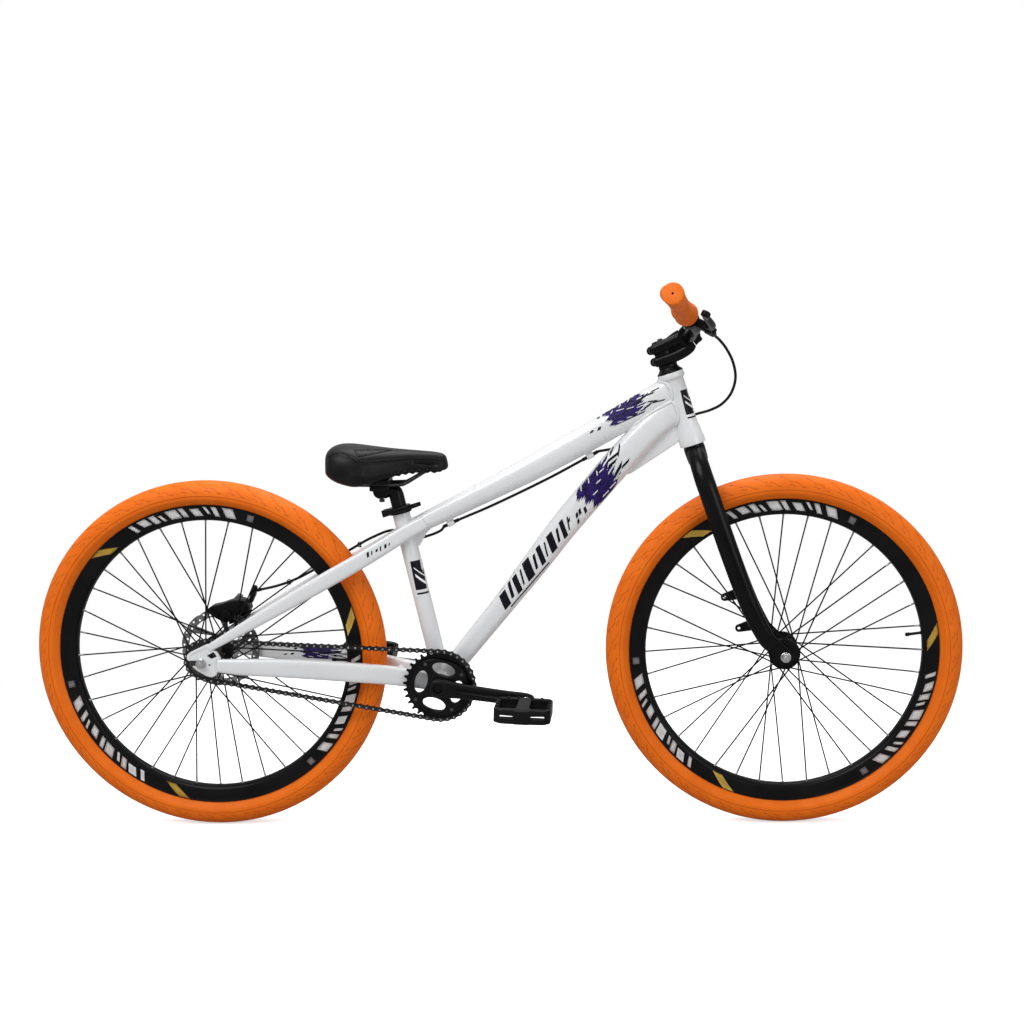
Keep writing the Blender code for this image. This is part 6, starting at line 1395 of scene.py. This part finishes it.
def make_bottom_bracket():
    fine("crank_spindle", lathe("spindle", SPINDLE, BOTTOM_BRACKET, SIDE, 40), STEEL, "crankset")
    cups = []
    for sign in (-1, 1):
        cups.append(lathe("cup", CUP, BOTTOM_BRACKET, SIDE * sign, 64))
        for a in (2 * math.pi * i / 8 for i in range(8)):
            at = BOTTOM_BRACKET + radial(a, 0.0178) + SIDE * sign * 0.0384
            cups.append(box("notch", at, (0.0024, 0.0012, 0.0048), Matrix.Rotation(-a, 3, "Y"), 0.0004))
    core = mm((9.2, -34.3), (16.8, -34.3), (16.8, 34.3), (9.2, 34.3))
    cups.append(lathe("core", core, BOTTOM_BRACKET, SIDE, 40))
    fine("bottom_bracket", join("cups", cups), DARK_STEEL)


def make_freewheel():
    cog = sprocket("cog", REAR_AXLE, FREEWHEEL_TEETH, math.pi, 0.0150, 48, 0.0005)
    body = lathe("body", FREEWHEEL, REAR_AXLE, SIDE, 72)
    fine("freewheel", join("freewheel", [cog, body]), DARK_STEEL, "freewheel")


PEDAL_IN, PEDAL_OUT = 0.0960, 0.1880
CORNER_SIGNS = ((-1, -1), (1, -1), (1, 1), (-1, 1))
PEDAL_PIN = mm((0, 0), (2.6, 0), (2.2, 2.2), (1.4, 2.4), (0, 2.4))
# Corners of the outer half, as (half length, distance from the bicycle's middle plane)
PEDAL_CORNERS = mm((42.5, 96), (50.5, 106), (50.5, 174), (40.5, 184), (15, 188))


def make_pedal(side, sign, tilt):
    corners = [(-x, y) for x, y in PEDAL_CORNERS[:1]] + list(PEDAL_CORNERS)
    corners += [(-x, y) for x, y in PEDAL_CORNERS[:0:-1]]
    loop = [(p.x, sign * p.y) for p in rounded([Vector((x, y, 0)) for x, y in corners], 0.004)]
    mid = sign * ((PEDAL_IN + PEDAL_OUT) / 2 - 0.004)
    windows = []
    for x in (-0.0272, 0.0272):
        ring = [Vector((x + a * 0.0155, mid + b * 0.031, 0)) for a, b in CORNER_SIGNS]
        windows.append([(p.x, p.y) for p in rounded(ring, 0.004)])
    body = plate("pedal", loop, -0.0125, 0.0125, windows, 0.0020, Matrix.Identity(4))
    slots = [box("slot", Vector((x, sign * PEDAL_OUT, 0)), (0.026, 0.050, 0.0065), bevel=0.002)
             for x in (-0.0275, 0.0275)]
    slots += [box("scoop", Vector((x, sign * (PEDAL_OUT + 0.006), z)), (0.030, 0.020, 0.006), bevel=0.0018)
              for x in (-0.0275, 0.0275) for z in (0.0125, -0.0125)]
    barrel = mm((4.9, 98), (9.8, 98), (10.4, 99), (10.4, 158), (9.8, 160), (4.9, 160))
    parts = [carve(body, *slots), lathe("barrel", barrel, Vector(), SIDE * sign, 40)]
    spots = [(x, y) for x in (-0.0455, 0.0455) for y in (0.112, 0.128, 0.144, 0.160)]
    spots += [(x, 0.1015) for x in (-0.030, -0.012, 0.012, 0.030)]
    for x, y in spots:
        for z in (-1, 1):
            parts.append(lathe("pin", PEDAL_PIN, Vector((x, sign * y, z * 0.0122)), Vector((0, 0, z)), 12))
    mesh = join("pedal", parts)
    at = Matrix.Translation(BOTTOM_BRACKET + CRANK_AHEAD * -sign * CRANK_LENGTH)
    mesh.transform(at @ Matrix.Rotation(-math.radians(tilt), 4, "Y"))
    fine(f"{side}_pedal", mesh, PLASTIC, f"{side}_pedal", 40)


for end, centre, valve, turn in (("front", FRONT_AXLE, 7, 91), ("rear", REAR_AXLE, -3, 99)):
    make_tyre(end, centre)
    make_rim(end, centre, math.radians(valve), math.radians(turn))
make_wheel_middle("front", FRONT_AXLE, -0.030, 0.028, -0.0465, 0.0465)
make_wheel_middle("rear", REAR_AXLE, -0.030, 0.0335, -0.0605, 0.0605)
make_axle("front", FRONT_AXLE, 0.100, "fork")
make_axle("rear", REAR_AXLE, 0.135, FRAME)
make_chain()
make_cranks()
make_bottom_bracket()
make_freewheel()
make_pedal("right", -1, -3)
make_pedal("left", 1, -8)


# Brake
ROTOR_ARMS = 6


def make_rotor():
    step = 2 * math.pi / ROTOR_ARMS
    outline = [REAR_AXLE + radial(a, 0.0755 - 0.0016 * max(math.cos(12 * a), 0.0) ** 3)
               for a in (2 * math.pi * i / 216 for i in range(216))]
    holes, bolts = [circle(REAR_AXLE, 0.0131, 48)], []
    for arm in range(ROTOR_ARMS):
        start = arm * step
        inner = arc(REAR_AXLE, 0.0265, start, start + step * 0.70, 14)
        outer = arc(REAR_AXLE, 0.061, start + step * 1.28, start + step * 0.52, 18)
        holes.append(rounded(inner + outer, 0.0016, 2))
        for hole in range(6):
            spot = radial(start + step * (hole + 0.5) / 6, 0.0655 + 0.0050 * (hole % 2))
            holes.append(circle(REAR_AXLE + spot, 0.0021, 16))
        spot = REAR_AXLE + radial(start + step * 0.85, 0.0220)
        bolts.append(hex_bolt(spot + SIDE * 0.0528, SIDE, 0.0034, 0.0018, 24))
    disc = plate("rotor", outline, 0.0511, 0.0529, holes, 0.0002)
    fine("brake_rotor", join("rotor", [disc, *bolts]), ROTOR_METAL, "rear_wheel", 30)


def make_bearings():
    for name, low, high in (("lower_headset_bearing", 0.0015, 0.0085),
                            ("upper_headset_bearing", HEAD_LENGTH - 0.0085, HEAD_LENGTH - 0.0008)):
        profile = eased(0.0150, 0.0200, low, high, 0.0006)
        profile[5:] = [(0.0180, high), (0.0176, high - 0.0005), (0.0156, high - 0.0005), (0.0150, high)]
        fine(name, lathe(name, profile, HEAD_FOOT, HEAD_UP, 64), STEEL)


CALIPER_OUTLINE = mm((-20, 403), (-13, 413), (6, 416.5), (26, 423.5), (48, 426.5), (60, 418), (64, 404), (48, 400),
                     (30, 393.5), (16, 380), (-4, 390))
PAD_SPOT = place(0.0175, 0, 0.3945)
ARM_PIVOT = place(0.0180, 0, 0.4020)


BRACKET = mm((15, 372), (48, 384), (60, 396), (60, 408), (30, 408), (15, 390))
CABLE_EAR = mm((53.5, 416.5), (60, 412), (69, 430), (69, 442), (62.5, 442))
CABLE_BARREL = mm((0, 0), (3.2, 0), (4.4, 1.2), (4.4, 6), (3.6, 7.2), (2.6, 7.8), (0, 7.8))
PAD_CAP = mm((0, 0), (10, 0), (10.8, -1), (10.8, -3), (9.6, -3.6), (0, -3.6))
PAD_PLATE = mm((0, 0), (9.3, 0), (9.5, 0.2), (9.5, 0.8), (9.3, 1), (0, 1))
# Distance across and along the arm from its pivot
ARM_OUTLINE = mm((9, -3), (9, 5), (5, 36), (-5, 36), (-9, 5), (-9, -3), (-4, -9), (4, -9))


def make_caliper():
    body = plate("caliper", rounded(side_points(CALIPER_OUTLINE), 0.006, 6), 0.0385, 0.0680, bevel=0.0022)
    slot = lathe("slot", mm((0, 47.6), (77.3, 47.6), (77.3, 57.3), (0, 57.3)), REAR_AXLE, SIDE, 120)
    well = rod("well", PAD_SPOT + SIDE * 0.0470, PAD_SPOT + SIDE * 0.0578, 0.0101, 40)
    body = carve(body, slot, well)
    bracket = plate("bracket", rounded(side_points(BRACKET), 0.003, 4), 0.0620, 0.0680, bevel=0.0012)
    ear = plate("ear", rounded(side_points(CABLE_EAR), 0.002, 3), 0.0640, 0.0760, bevel=0.0010)
    barrel = lathe("barrel", CABLE_BARREL, place(0.0655, 0.0700, 0.4400), Vector((0.55, 0, 0.83)), 24)
    cap = lathe("cap", PAD_CAP, PAD_SPOT + SIDE * 0.0386, SIDE, 48)
    fine("brake_caliper", join("caliper", [body, bracket, ear, barrel, cap]), ALLOY)
    nuts = [hex_bolt(place(x, 0.0679, z), SIDE, radius, height)
            for x, z, radius, height in mm((54.5, 400.5, 4.2, 3), (27, 385, 4.2, 3), (-9, 404, 3, 1.2))]
    make("caliper_bolts", join("bolts", nuts), BOLT_METAL, FRAME)


def make_pads():
    """Each pad is a plate and a lining; the linings face the disc."""
    for node, back, start, end, body in (("inner_brake_pad", 0.0479, 0.0488, 0.0505, FRAME),
                                         ("outer_brake_pad", 0.0560, 0.0544, 0.0561, "outer_pad")):
        lining = [(0, start), (0.0085, start), (0.0089, start + 0.0003), (0.0089, end), (0, end)]
        meshes = [lathe("backing", PAD_PLATE, PAD_SPOT + SIDE * back, SIDE, 48),
                  lathe("lining", lining, PAD_SPOT, SIDE, 48)]
        fine(node, join(node, meshes), PAD_METAL, body)


def make_caliper_arm():
    ahead = (place(0.0420, 0, 0.4330) - ARM_PIVOT).normalized()
    across = Vector((-ahead.z, 0, ahead.x))
    points = [ARM_PIVOT + across * a + ahead * b for a, b in ARM_OUTLINE]
    holes = [circle(ARM_PIVOT + ahead * b, 0.0022, 20) for b in (0.0165, 0.0235)]
    parts = [plate("arm", rounded(points, 0.003, 5), 0.0683, 0.0733, holes, 0.0009)]
    for spot, radius, height in ((ARM_PIVOT + ahead * 0.031, 0.0036, 0.0034), (ARM_PIVOT, 0.0056, 0.0030)):
        parts.append(hex_bolt(spot + SIDE * 0.0730, SIDE, radius, height))
    fine("caliper_arm", join("arm", parts), SILVER, "caliper_arm")


# Seat
COLLAR_BOLT = -0.0262
COLLAR_MID = SEAT_TUBE_LENGTH - 0.00425
LEVER_PATH = mm((-26.2, -20), (-15, -24.5), (0, -26.5), (16, -26.5), (32, -22.5), (42, -15))


def make_collar():
    low, high = SEAT_TUBE_LENGTH - 0.011, SEAT_TUBE_LENGTH + 0.0025
    profile = eased(0.0162, 0.0205, low, high, 0.0007)
    profile[5:] = [(0.0140, high), (0.0140, SEAT_TUBE_LENGTH + 0.0003), (0.0162, SEAT_TUBE_LENGTH + 0.0003)]
    turn = Matrix((SEAT_AHEAD, SIDE, SEAT_UP)).transposed()
    at = on_seat(COLLAR_MID, -0.0250)
    body = lathe("collar", profile, BOTTOM_BRACKET, SEAT_UP, 72)
    body = carve(body, box("lug", at, (0.014, 0.020, 0.0125), turn, 0.0015), operation="UNION")
    hole = rod("hole", on_seat(COLLAR_MID, COLLAR_BOLT, -0.03), on_seat(COLLAR_MID, COLLAR_BOLT, 0.03), 0.0029, 24)
    body = carve(body, box("slit", at, (0.024, 0.003, 0.030), turn, 0), hole)
    bolt = rod("bolt", on_seat(COLLAR_MID, COLLAR_BOLT, -0.0140), on_seat(COLLAR_MID, COLLAR_BOLT, 0.0150), 0.0025,
               24)
    nut = lathe("nut", mm((0, 0), (5.2, 0), (5.6, 0.6), (5.6, 4), (4.8, 5), (0, 5)),
                on_seat(COLLAR_MID, COLLAR_BOLT, 0.0108), SIDE, 32)
    fine("seat_collar", join("collar", [body, bolt, nut]), BLACK)


def make_seat_lever():
    rows = []
    for i, (ahead, side) in enumerate(LEVER_PATH):
        share = i / (len(LEVER_PATH) - 1)
        spot = on_seat(COLLAR_MID + 0.002 + 0.05 * max(ahead, 0), ahead, side)
        rows.append((spot, 0.0022 - 0.0004 * share, 0.0048 - 0.0010 * abs(share - 0.5) * 2))
    blade = rings_mesh("blade", tube_rings(smooth_rows(rows, 8), 3.0, 28))
    cam = lathe("cam", eased(0, 0.0048, -0.0062, 0.0062, 0.0006), on_seat(COLLAR_MID + 0.001, COLLAR_BOLT, -0.0192),
                SEAT_UP, 32)
    fine("seat_lever", join("lever", [blade, cam]), ALLOY, "seat_lever")


CLAMP = place(0.3350, 0, 0.6400)
CLAMP_MIDDLE = place(0.3320, 0, 0.6400)
POST_SHAPE = mm((11.2, 215), (13.2, 215), (13.6, 215.4), (13.6, 360), (13.4, 361.2), (0, 364), (0, 230), (11.2, 229))
CLAMP_BOLT = mm((0, -24), (4.6, -24), (5, -23.4), (5, -19), (3, -18.8), (3, 23.5), (0, 23.5))


def clamp_block(name, lift, size):
    """One half of the rail clamp, with a groove for each rail."""
    grooves = [rod("groove", CLAMP + Vector((-0.03, y, 0.0105)), CLAMP + Vector((0.03, y, 0.0105)), 0.0037, 24)
               for y in (-0.022, 0.022)]
    return carve(box(name, CLAMP_MIDDLE + Vector((0, 0, lift)), size, bevel=0.003, segments=4), *grooves)


def make_post():
    rows = [(on_seat(0.3605), 0.0130, 0.0130), (on_seat(0.3645, -0.001), 0.0125, 0.0125),
            (on_seat(0.3695, -0.010), 0.0130, 0.0095), (CLAMP + Vector((0.004, 0, -0.010)), 0.0160, 0.0075),
            (CLAMP + Vector((-0.008, 0, -0.008)), 0.0160, 0.0060)]
    tube = lathe("tube", POST_SHAPE, BOTTOM_BRACKET, SEAT_UP, 64, closed=False)
    head = rings_mesh("head", tube_rings(smooth_rows(rows, 6), 2.3, 44))
    dials = []
    for y in (-0.0180, 0.0148):
        profile = [(0, y), (0.0125, y), (0.0130, y + 0.0006), (0.0130, y + 0.0026), (0.0120, y + 0.0032),
                   (0, y + 0.0032)]
        dials.append(lathe("dial", profile, CLAMP_MIDDLE + Vector((0, 0, -0.0030)), SIDE, 40))
    lower = clamp_block("lower_clamp", 0.0040, (0.036, 0.054, 0.011))
    fine("seatpost", join("post", [tube, head, lower, *dials]), ALLOY, "seat")
    up = Vector((0, 0, 1))
    make("clamp_bolt", lathe("bolt", CLAMP_BOLT, CLAMP_MIDDLE, up, 32), BOLT_METAL, "seat")
    upper = clamp_block("upper_clamp", 0.0155, (0.034, 0.054, 0.0105))
    nut = hex_bolt(CLAMP_MIDDLE + up * 0.0206, up, 0.0060, 0.0024, 6)
    fine("rail_clamp_upper", join("upper", [upper, nut]), ALLOY, "seat")


RAIL = mm((433, 4, 684), (425, 11, 679), (408, 16, 669), (380, 20.8, 653), (365, 22, 650.5), (300, 22, 650.5),
          (285, 24, 654), (268, 29, 667), (260, 31, 674))
SADDLE_ROWS = mm((232.8, 26, 704, 690), (237.5, 50, 716.5, 674), (250, 66, 725, 664), (270, 73.5, 727, 655.5),
                 (295, 74, 724.5, 650.5), (320, 65, 721, 654), (350, 48, 717.5, 663), (385, 33, 714.5, 670),
                 (420, 25, 712, 672), (443, 21.5, 709, 671.5), (453, 16.5, 704.5, 674.5), (458, 9, 698.5, 681.5))
SADDLE_RING = ((0.78, 0.0), (0.90, 0.05), (0.97, 0.16), (1.0, 0.28), (1.0, 0.40), (0.98, 0.55), (0.93, 0.70),
               (0.84, 0.82), (0.72, 0.90), (0.56, 0.95), (0.40, 0.98), (0.22, 0.996), (0.0, 1.0))


def saddle_rows():
    rows = [(Vector((x, w, 0)), top, bottom) for x, w, top, bottom in SADDLE_ROWS]
    return [(p.x, p.y, top, bottom) for p, top, bottom in smooth_rows(rows, 6)]


def saddle_point(row, side, lift):
    x, width, top, bottom = row
    return place(x, side * width, bottom + (top - bottom) * lift)


SEAM_LINES = mm(
    ((250, 706), (260, 712), (272, 714), (286, 708.5), (302, 697)),
    ((302, 697), (320, 696.2), (342, 696.6), (366, 697.2), (385, 697), (402.2, 696.8), (431.2, 695.3), (450, 693)),
    ((293.2, 717.8), (298.5, 712), (303.6, 706)),
    ((303.6, 706), (322, 709.5), (342, 712.5), (356, 714)),
    ((293.2, 717.8), (310, 716.8), (330, 716), (356, 714)),
)
NOSE_SLOT = mm((399, 691.2), (411, 690.5), (424, 689.2), (436, 687.4))

COVER_VOXEL = 0.004
SWELL_FRAMES = 20
SWELL_LIMIT = 0.005


def saddle_form():
    """The lofted cushion, hollow underneath, drawn in a little where the cloth will swell."""
    rings = []
    for row in saddle_rows():
        x, width, top, bottom = row
        ring = [saddle_point(row, -s, l) for s, l in SADDLE_RING[:-1]]
        ring += [saddle_point(row, s, l) for s, l in reversed(SADDLE_RING)]
        roof, lifts = bottom, (0, 0, 0, 0)
        edge = min(x - 0.2325, 0.4560 - x)
        if edge > 0.008:
            share = min((edge - 0.008) / 0.012, 1.0)
            roof += (max(bottom + 0.018, min(top - 0.030, bottom + 0.030)) - bottom) * share
            lifts = (0, 0.55, 0.95, 1)
        inner = list(zip((0.66, 0.60, 0.50, 0.25), lifts))
        ring += [place(x, s * width, bottom + (roof - bottom) * l) for s, l in inner]
        ring += [place(x, -s * width, bottom + (roof - bottom) * l) for s, l in reversed(inner)]
        rings.append(ring)
    shape = rings_mesh("saddle_form", rings)
    bm = bmesh.new()
    bm.from_mesh(shape)
    bmesh.ops.recalc_face_normals(bm, faces=bm.faces)
    bm.normal_update()
    for v in bm.verts:
        if v.co.z > 0.672 and v.normal.z > -0.2:
            v.co -= v.normal * 0.0028
    bm.to_mesh(shape)
    bm.free()
    return shape


def hold_lower(obj):
    """Pins the lip and underside, which are stretched over the shell, so that only the cushion swells."""
    group = obj.vertex_groups.new(name="held")
    for vertex in obj.data.vertices:
        held = vertex.co.z < 0.668 or vertex.normal.z < -0.3
        group.add([vertex.index], 1.0 if held else 0.0, "REPLACE")
    return group.name


def apply_all(obj):
    mesh = evaluated(obj)
    obj.modifiers.clear()
    obj.data = mesh


def swell(cover):
    """Blows the cushion up as cloth, with its lower part held and each vertex moved by the limit at most."""
    before = [v.co.copy() for v in cover.data.vertices]
    cloth = cover.modifiers.new("cloth", "CLOTH")
    settings = cloth.settings
    settings.quality = 5
    settings.use_pressure = True
    settings.uniform_pressure_force = 4.0
    settings.effector_weights.gravity = 0.0
    settings.tension_stiffness = settings.compression_stiffness = 30
    settings.bending_stiffness = 8
    settings.vertex_group_mass = hold_lower(cover)
    cloth.collision_settings.use_collision = False
    cloth.point_cache.frame_start, cloth.point_cache.frame_end = 1, SWELL_FRAMES
    for frame_number in range(1, SWELL_FRAMES + 1):
        bpy.context.scene.frame_set(frame_number)
    apply_all(cover)
    bpy.context.scene.frame_set(1)
    for vertex, start in zip(cover.data.vertices, before):
        move = vertex.co - start
        if move.length > SWELL_LIMIT:
            vertex.co = start + move.normalized() * SWELL_LIMIT


def distance_to(point, path):
    best = 1.0
    for a, b in zip(path, path[1:]):
        if abs(point.x - a.x) > 0.02 or abs(point.y - a.y) > 0.03:
            continue
        way = b - a
        share = max(0.0, min(1.0, (point - a).dot(way) / max(way.length_squared, 1e-12)))
        best = min(best, (a + way * share - point).length)
    return best


def lines_on(tree, tables):
    """Smooth lines on both sides of the cover, through spots given by length along the saddle and height."""
    paths = []
    for side in (-1, 1):
        for line in tables:
            hits = [tree.ray_cast(place(x, side * 0.15, z), Vector((0, -side, 0)), 0.15)[0] for x, z in line]
            paths.append(smooth_path(hits, 5))
    return paths


def press(cover, *grooves):
    """Sinks the cover near grooves, each with its paths, its reach to either side and its depth."""
    for vertex in cover.data.vertices:
        for paths, reach, depth in grooves:
            near = min(distance_to(vertex.co, path) for path in paths)
            if near < reach:
                vertex.co -= vertex.normal * depth * (1 - near / reach)


def make_stitches(tree, settled):
    """A row of stitches on either side of a seam."""
    stitches = []
    for k in range(0, len(settled) - 4, 4):
        (p, n), (q, _) = settled[k], settled[k + 2]
        across = (q - p).cross(n).normalized()
        for side in (-1, 1):
            (a, up), (b, over) = [tree.find_nearest(spot + across * side * 0.0024)[:2] for spot in (p, q)]
            stitches.append(wire("stitch", [a - up * 0.0003, a + up * 0.00025, b + over * 0.00025,
                                            b - over * 0.0003], 0.00022, 5))
    return stitches


def nose_ribs():
    """The scalloped edge under the saddle's nose."""
    ribs = []
    rows = [row for row in saddle_rows() if 0.352 < row[0] < 0.448]
    for side in (-1, 1):
        path = resample([saddle_point(row, side * 0.93, 0.10) for row in rows], 0.0010, False)
        last = len(path) - 1
        radii = [(0.0036 + 0.0013 * math.sin(2 * math.pi * i / 13)) * min(1.0, (min(i, last - i) + 2) / 8)
                 for i in range(last + 1)]
        ribs.append(wire("rib", path, 0, 12, radii=radii))
    return ribs


def make_saddle():
    cover = add_object("saddle_cover_fine", saddle_form())
    remesh = cover.modifiers.new("remesh", "REMESH")
    remesh.mode, remesh.voxel_size, remesh.use_smooth_shade = "VOXEL", COVER_VOXEL, True
    apply_all(cover)
    swell(cover)
    smooth = cover.modifiers.new("smooth", "SMOOTH")
    smooth.factor, smooth.iterations = 0.5, 5
    sub = cover.modifiers.new("sub", "SUBSURF")
    sub.levels = sub.render_levels = 1
    apply_all(cover)
    tree = tree_of(cover.data)
    seams, slots = lines_on(tree, SEAM_LINES), lines_on(tree, [NOSE_SLOT])
    press(cover, (seams, 0.0045, 0.0010), (slots, 0.0060, 0.0026))
    cover.data.shade_smooth()
    cover.data.materials.clear()
    cover.data.materials.append(VINYL)
    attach(cover, "seat")
    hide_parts("saddle_cover")
    tree = tree_of(cover.data)
    beads, stitches = [], []
    for slot in slots:
        floor = [tree.find_nearest(p)[0] for p in resample(slot, 0.0015, False)]
        radii = [0.0022 * min(1.0, 0.25 + 0.15 * min(i, len(floor) - 1 - i)) for i in range(len(floor))]
        beads.append(wire("slot", floor, 0, 10, radii=radii))
    for path in seams:
        settled = [tree.find_nearest(p)[:2] for p in resample(path, 0.0012, False)]
        beads.append(wire("piping", [p + n * 0.0001 for p, n in settled], 0.0007, 8))
        stitches += make_stitches(tree, settled)
    make("saddle_seams", join("seams", beads + nose_ribs()), VINYL_DARK, "seat", sharp=0)
    make("saddle_stitches", join("stitches", stitches), THREAD, "seat", sharp=0)


def make_rails():
    points = smooth_path([place(*p) for p in RAIL], 6)
    other = [Vector((p.x, -p.y, p.z)) for p in points]
    path = other[::-1] + points
    fine("saddle_rail", wire("rail", path, 0.0035, 24), RAIL_METAL, "seat", 0)


make_rotor()
make_bearings()
make_caliper()
make_pads()
make_caliper_arm()
make_collar()
make_seat_lever()
make_post()
make_rails()
make_saddle()

# Printed decals: thin sheets laid on the tubes
INK = 0.00025
UPPER_INK = 0.00050
STROKES = 17
TUBE_BARS = (0.085, 0.035, 0.060, 0.020, 0.090, 0.030, 0.055, 0.018, 0.075, 0.028, 0.050, 0.016)
# A black block, two leaning light slashes and a stripe below: from, to, width, lean, ink, lift
PANEL = ((0.20, 1.00, 1.00, 0.05, "black", INK), (0.44, 0.52, 0.62, 0.80, "white", 0.00060),
         (0.66, 0.70, 0.62, 0.80, "white", 0.00060), (0.07, 0.12, 0.90, 0.05, "black", INK))
DECALS = {"indigo": [], "black": [], "white": []}


def decal(tree, corners, ink, facing=-1, nx=10, ny=5, lift=0.00025):
    """A four-cornered patch (x from the rear axle, z), carried straight across on to a tube and held just above it."""
    a, b, c, d = [Vector((x, 0, z)) for x, z in corners]
    bm = bmesh.new()
    grid = []
    for i in range(nx + 1):
        row = []
        for k in range(ny + 1):
            flat = a.lerp(b, i / nx).lerp(d.lerp(c, i / nx), k / ny)
            hit, normal, _, _ = tree.ray_cast(place(flat.x, facing * 0.2, flat.z), Vector((0, -facing, 0)), 0.4)
            row.append(bm.verts.new(hit + normal * lift) if hit is not None and normal.y * facing > 0.12 else None)
        grid.append(row)
    add_quads(bm, grid)
    bmesh.ops.delete(bm, geom=[v for v in bm.verts if not v.link_faces], context="VERTS")
    bmesh.ops.solidify(bm, geom=bm.faces[:], thickness=0.00012)
    DECALS[ink].append(from_bmesh("decal", bm))


def band(tree, line, first, last, width, skew, ink, facing=-1, nx=6, ny=3, lift=UPPER_INK):
    """A bar laid on a tube between two spots (share, across) of a line; its ends lean by skew."""
    start, end = along_line(line, *first), along_line(line, *last)
    along = (end - start).normalized()
    up, lean = Vector((-along.z, 0, along.x)) * width / 2, along * skew / 2
    corners = (start - up - lean, end - up - lean, end + up + lean, start + up + lean)
    decal(tree, [(p.x, p.z) for p in corners], ink, facing, nx, ny, lift)


def along_line(line, share, across=0.0):
    start, end = [Vector((x, 0, z)) for x, z in line]
    way = end - start
    return start + way * share + Vector((-way.z, 0, way.x)).normalized() * across


def splash(tree, line, width, facing=-1, seed=0.0):
    """A torn indigo block with light flecks, leaning dark strands at one end and small flecks beyond the other."""
    for k in range(STROKES):
        across = width * ((k + 0.5) / STROKES - 0.5)
        first = 0.30 - 0.07 * (k / STROKES - 0.5) + 0.035 * math.sin(5.1 * k + seed)
        last = 0.80 + 0.10 * (k / STROKES - 0.5) + 0.065 * math.sin(3.7 * k + 2 * seed)
        band(tree, line, (first, across), (last, across), width / STROKES * 1.16, width * 0.17, "indigo", facing, 18,
             2, INK + 0.00001 * (k % 3))
    for k in range(9):
        share, across = 0.36 + 0.045 * k, width * 0.40 * math.sin(4.3 * k + seed)
        tip = (share + 0.045 + 0.03 * (k % 3), across + width * 0.10 * math.cos(2.1 * k))
        band(tree, line, (share, across), tip, width * 0.032, width * 0.03, "white", facing, 5, 2, 0.00065)
    for i in range(7):
        share, across, size = 0.70 + 0.32 * i / 7, width * 0.34 * math.sin(2.3 * i + seed), width * (0.30 - 0.024 * i)
        tip = (share + 0.125 + 0.05 * (i % 2), across + width * 0.16 * math.sin(i + seed))
        band(tree, line, (share, across), tip, size * 0.34, size * 0.7, "black", facing)
    for i in range(5):
        share, across = 0.22 - 0.055 * i, width * 0.30 * math.cos(2.9 * i + seed)
        band(tree, line, (share, across), (share - 0.045, across), width * (0.16 - 0.02 * i), width * 0.12, "black",
             facing, 4)
    for share, across in ((0.36, 0.22), (0.50, -0.12), (0.60, 0.26)):
        tip = (share + 0.10, (across + 0.12) * width)
        band(tree, line, (share, across * width), tip, width * 0.035, width * 0.05, "black", facing, 5, 2)


def make_decals():
    top, down, head, seat = [tree_of(mesh) for mesh in TUBES]
    splash(top, ((0.715, 0.7500), (0.838, 0.8040)), 0.034, seed=0.4)
    splash(down, ((0.6880, 0.5790), (0.7720, 0.7020)), 0.052, seed=1.9)
    line = ((0.5500, 0.4310), (0.6870, 0.5870))
    share = 0.0
    for i, length in enumerate(TUBE_BARS):
        width = 0.0330 - 0.0005 * i - 0.008 * (i % 2)
        band(down, line, (share,), (share + length,), width, 0.016, "black", -1, 6, 8, INK)
        share += length + 0.034
    band(down, line, (0.02, -0.0205), (0.55, -0.0205), 0.0022, 0, "black", -1, 24, 2, INK)
    for tree, line, width in ((seat, ((0.4060, 0.4400), (0.3945, 0.5080)), 0.0240),
                              (head, ((0.9065, 0.7620), (0.8930, 0.8170)), 0.0200)):
        for low, high, wide, lean, ink, lift in PANEL:
            band(tree, line, (low,), (high,), width * wide, width * lean, ink, -1, 12, 10, lift)
    stay = tree_of(rings_mesh("stay", table_rings(SEATSTAY, 3.2, 40, -1)))
    line = ((0.3085, 0.5240), (0.3560, 0.5455))
    for i in range(6):
        share = i * 0.165
        band(stay, line, (share,), (share + (0.045 if i % 2 else 0.085),), 0.0085 - 0.002 * (i % 3), 0.003, "black",
             -1, 3, 4, INK)
    stay = tree_of(rings_mesh("stay", table_rings(CHAINSTAY, 4.0, 40, 1)))
    for facing in (-1, 1):
        splash(stay, ((0.1200, 0.3230), (0.2450, 0.3190)), 0.026, facing, seed=0.9)
    for ink, sheets in DECALS.items():
        make(f"frame_print_{ink}", join("print", sheets), PRINTS[ink], FRAME, sharp=0)


make_decals()
shell = bpy.data.objects.get("saddle_shell")
shell.data.materials.clear()
shell.data.materials.append(PLASTIC)
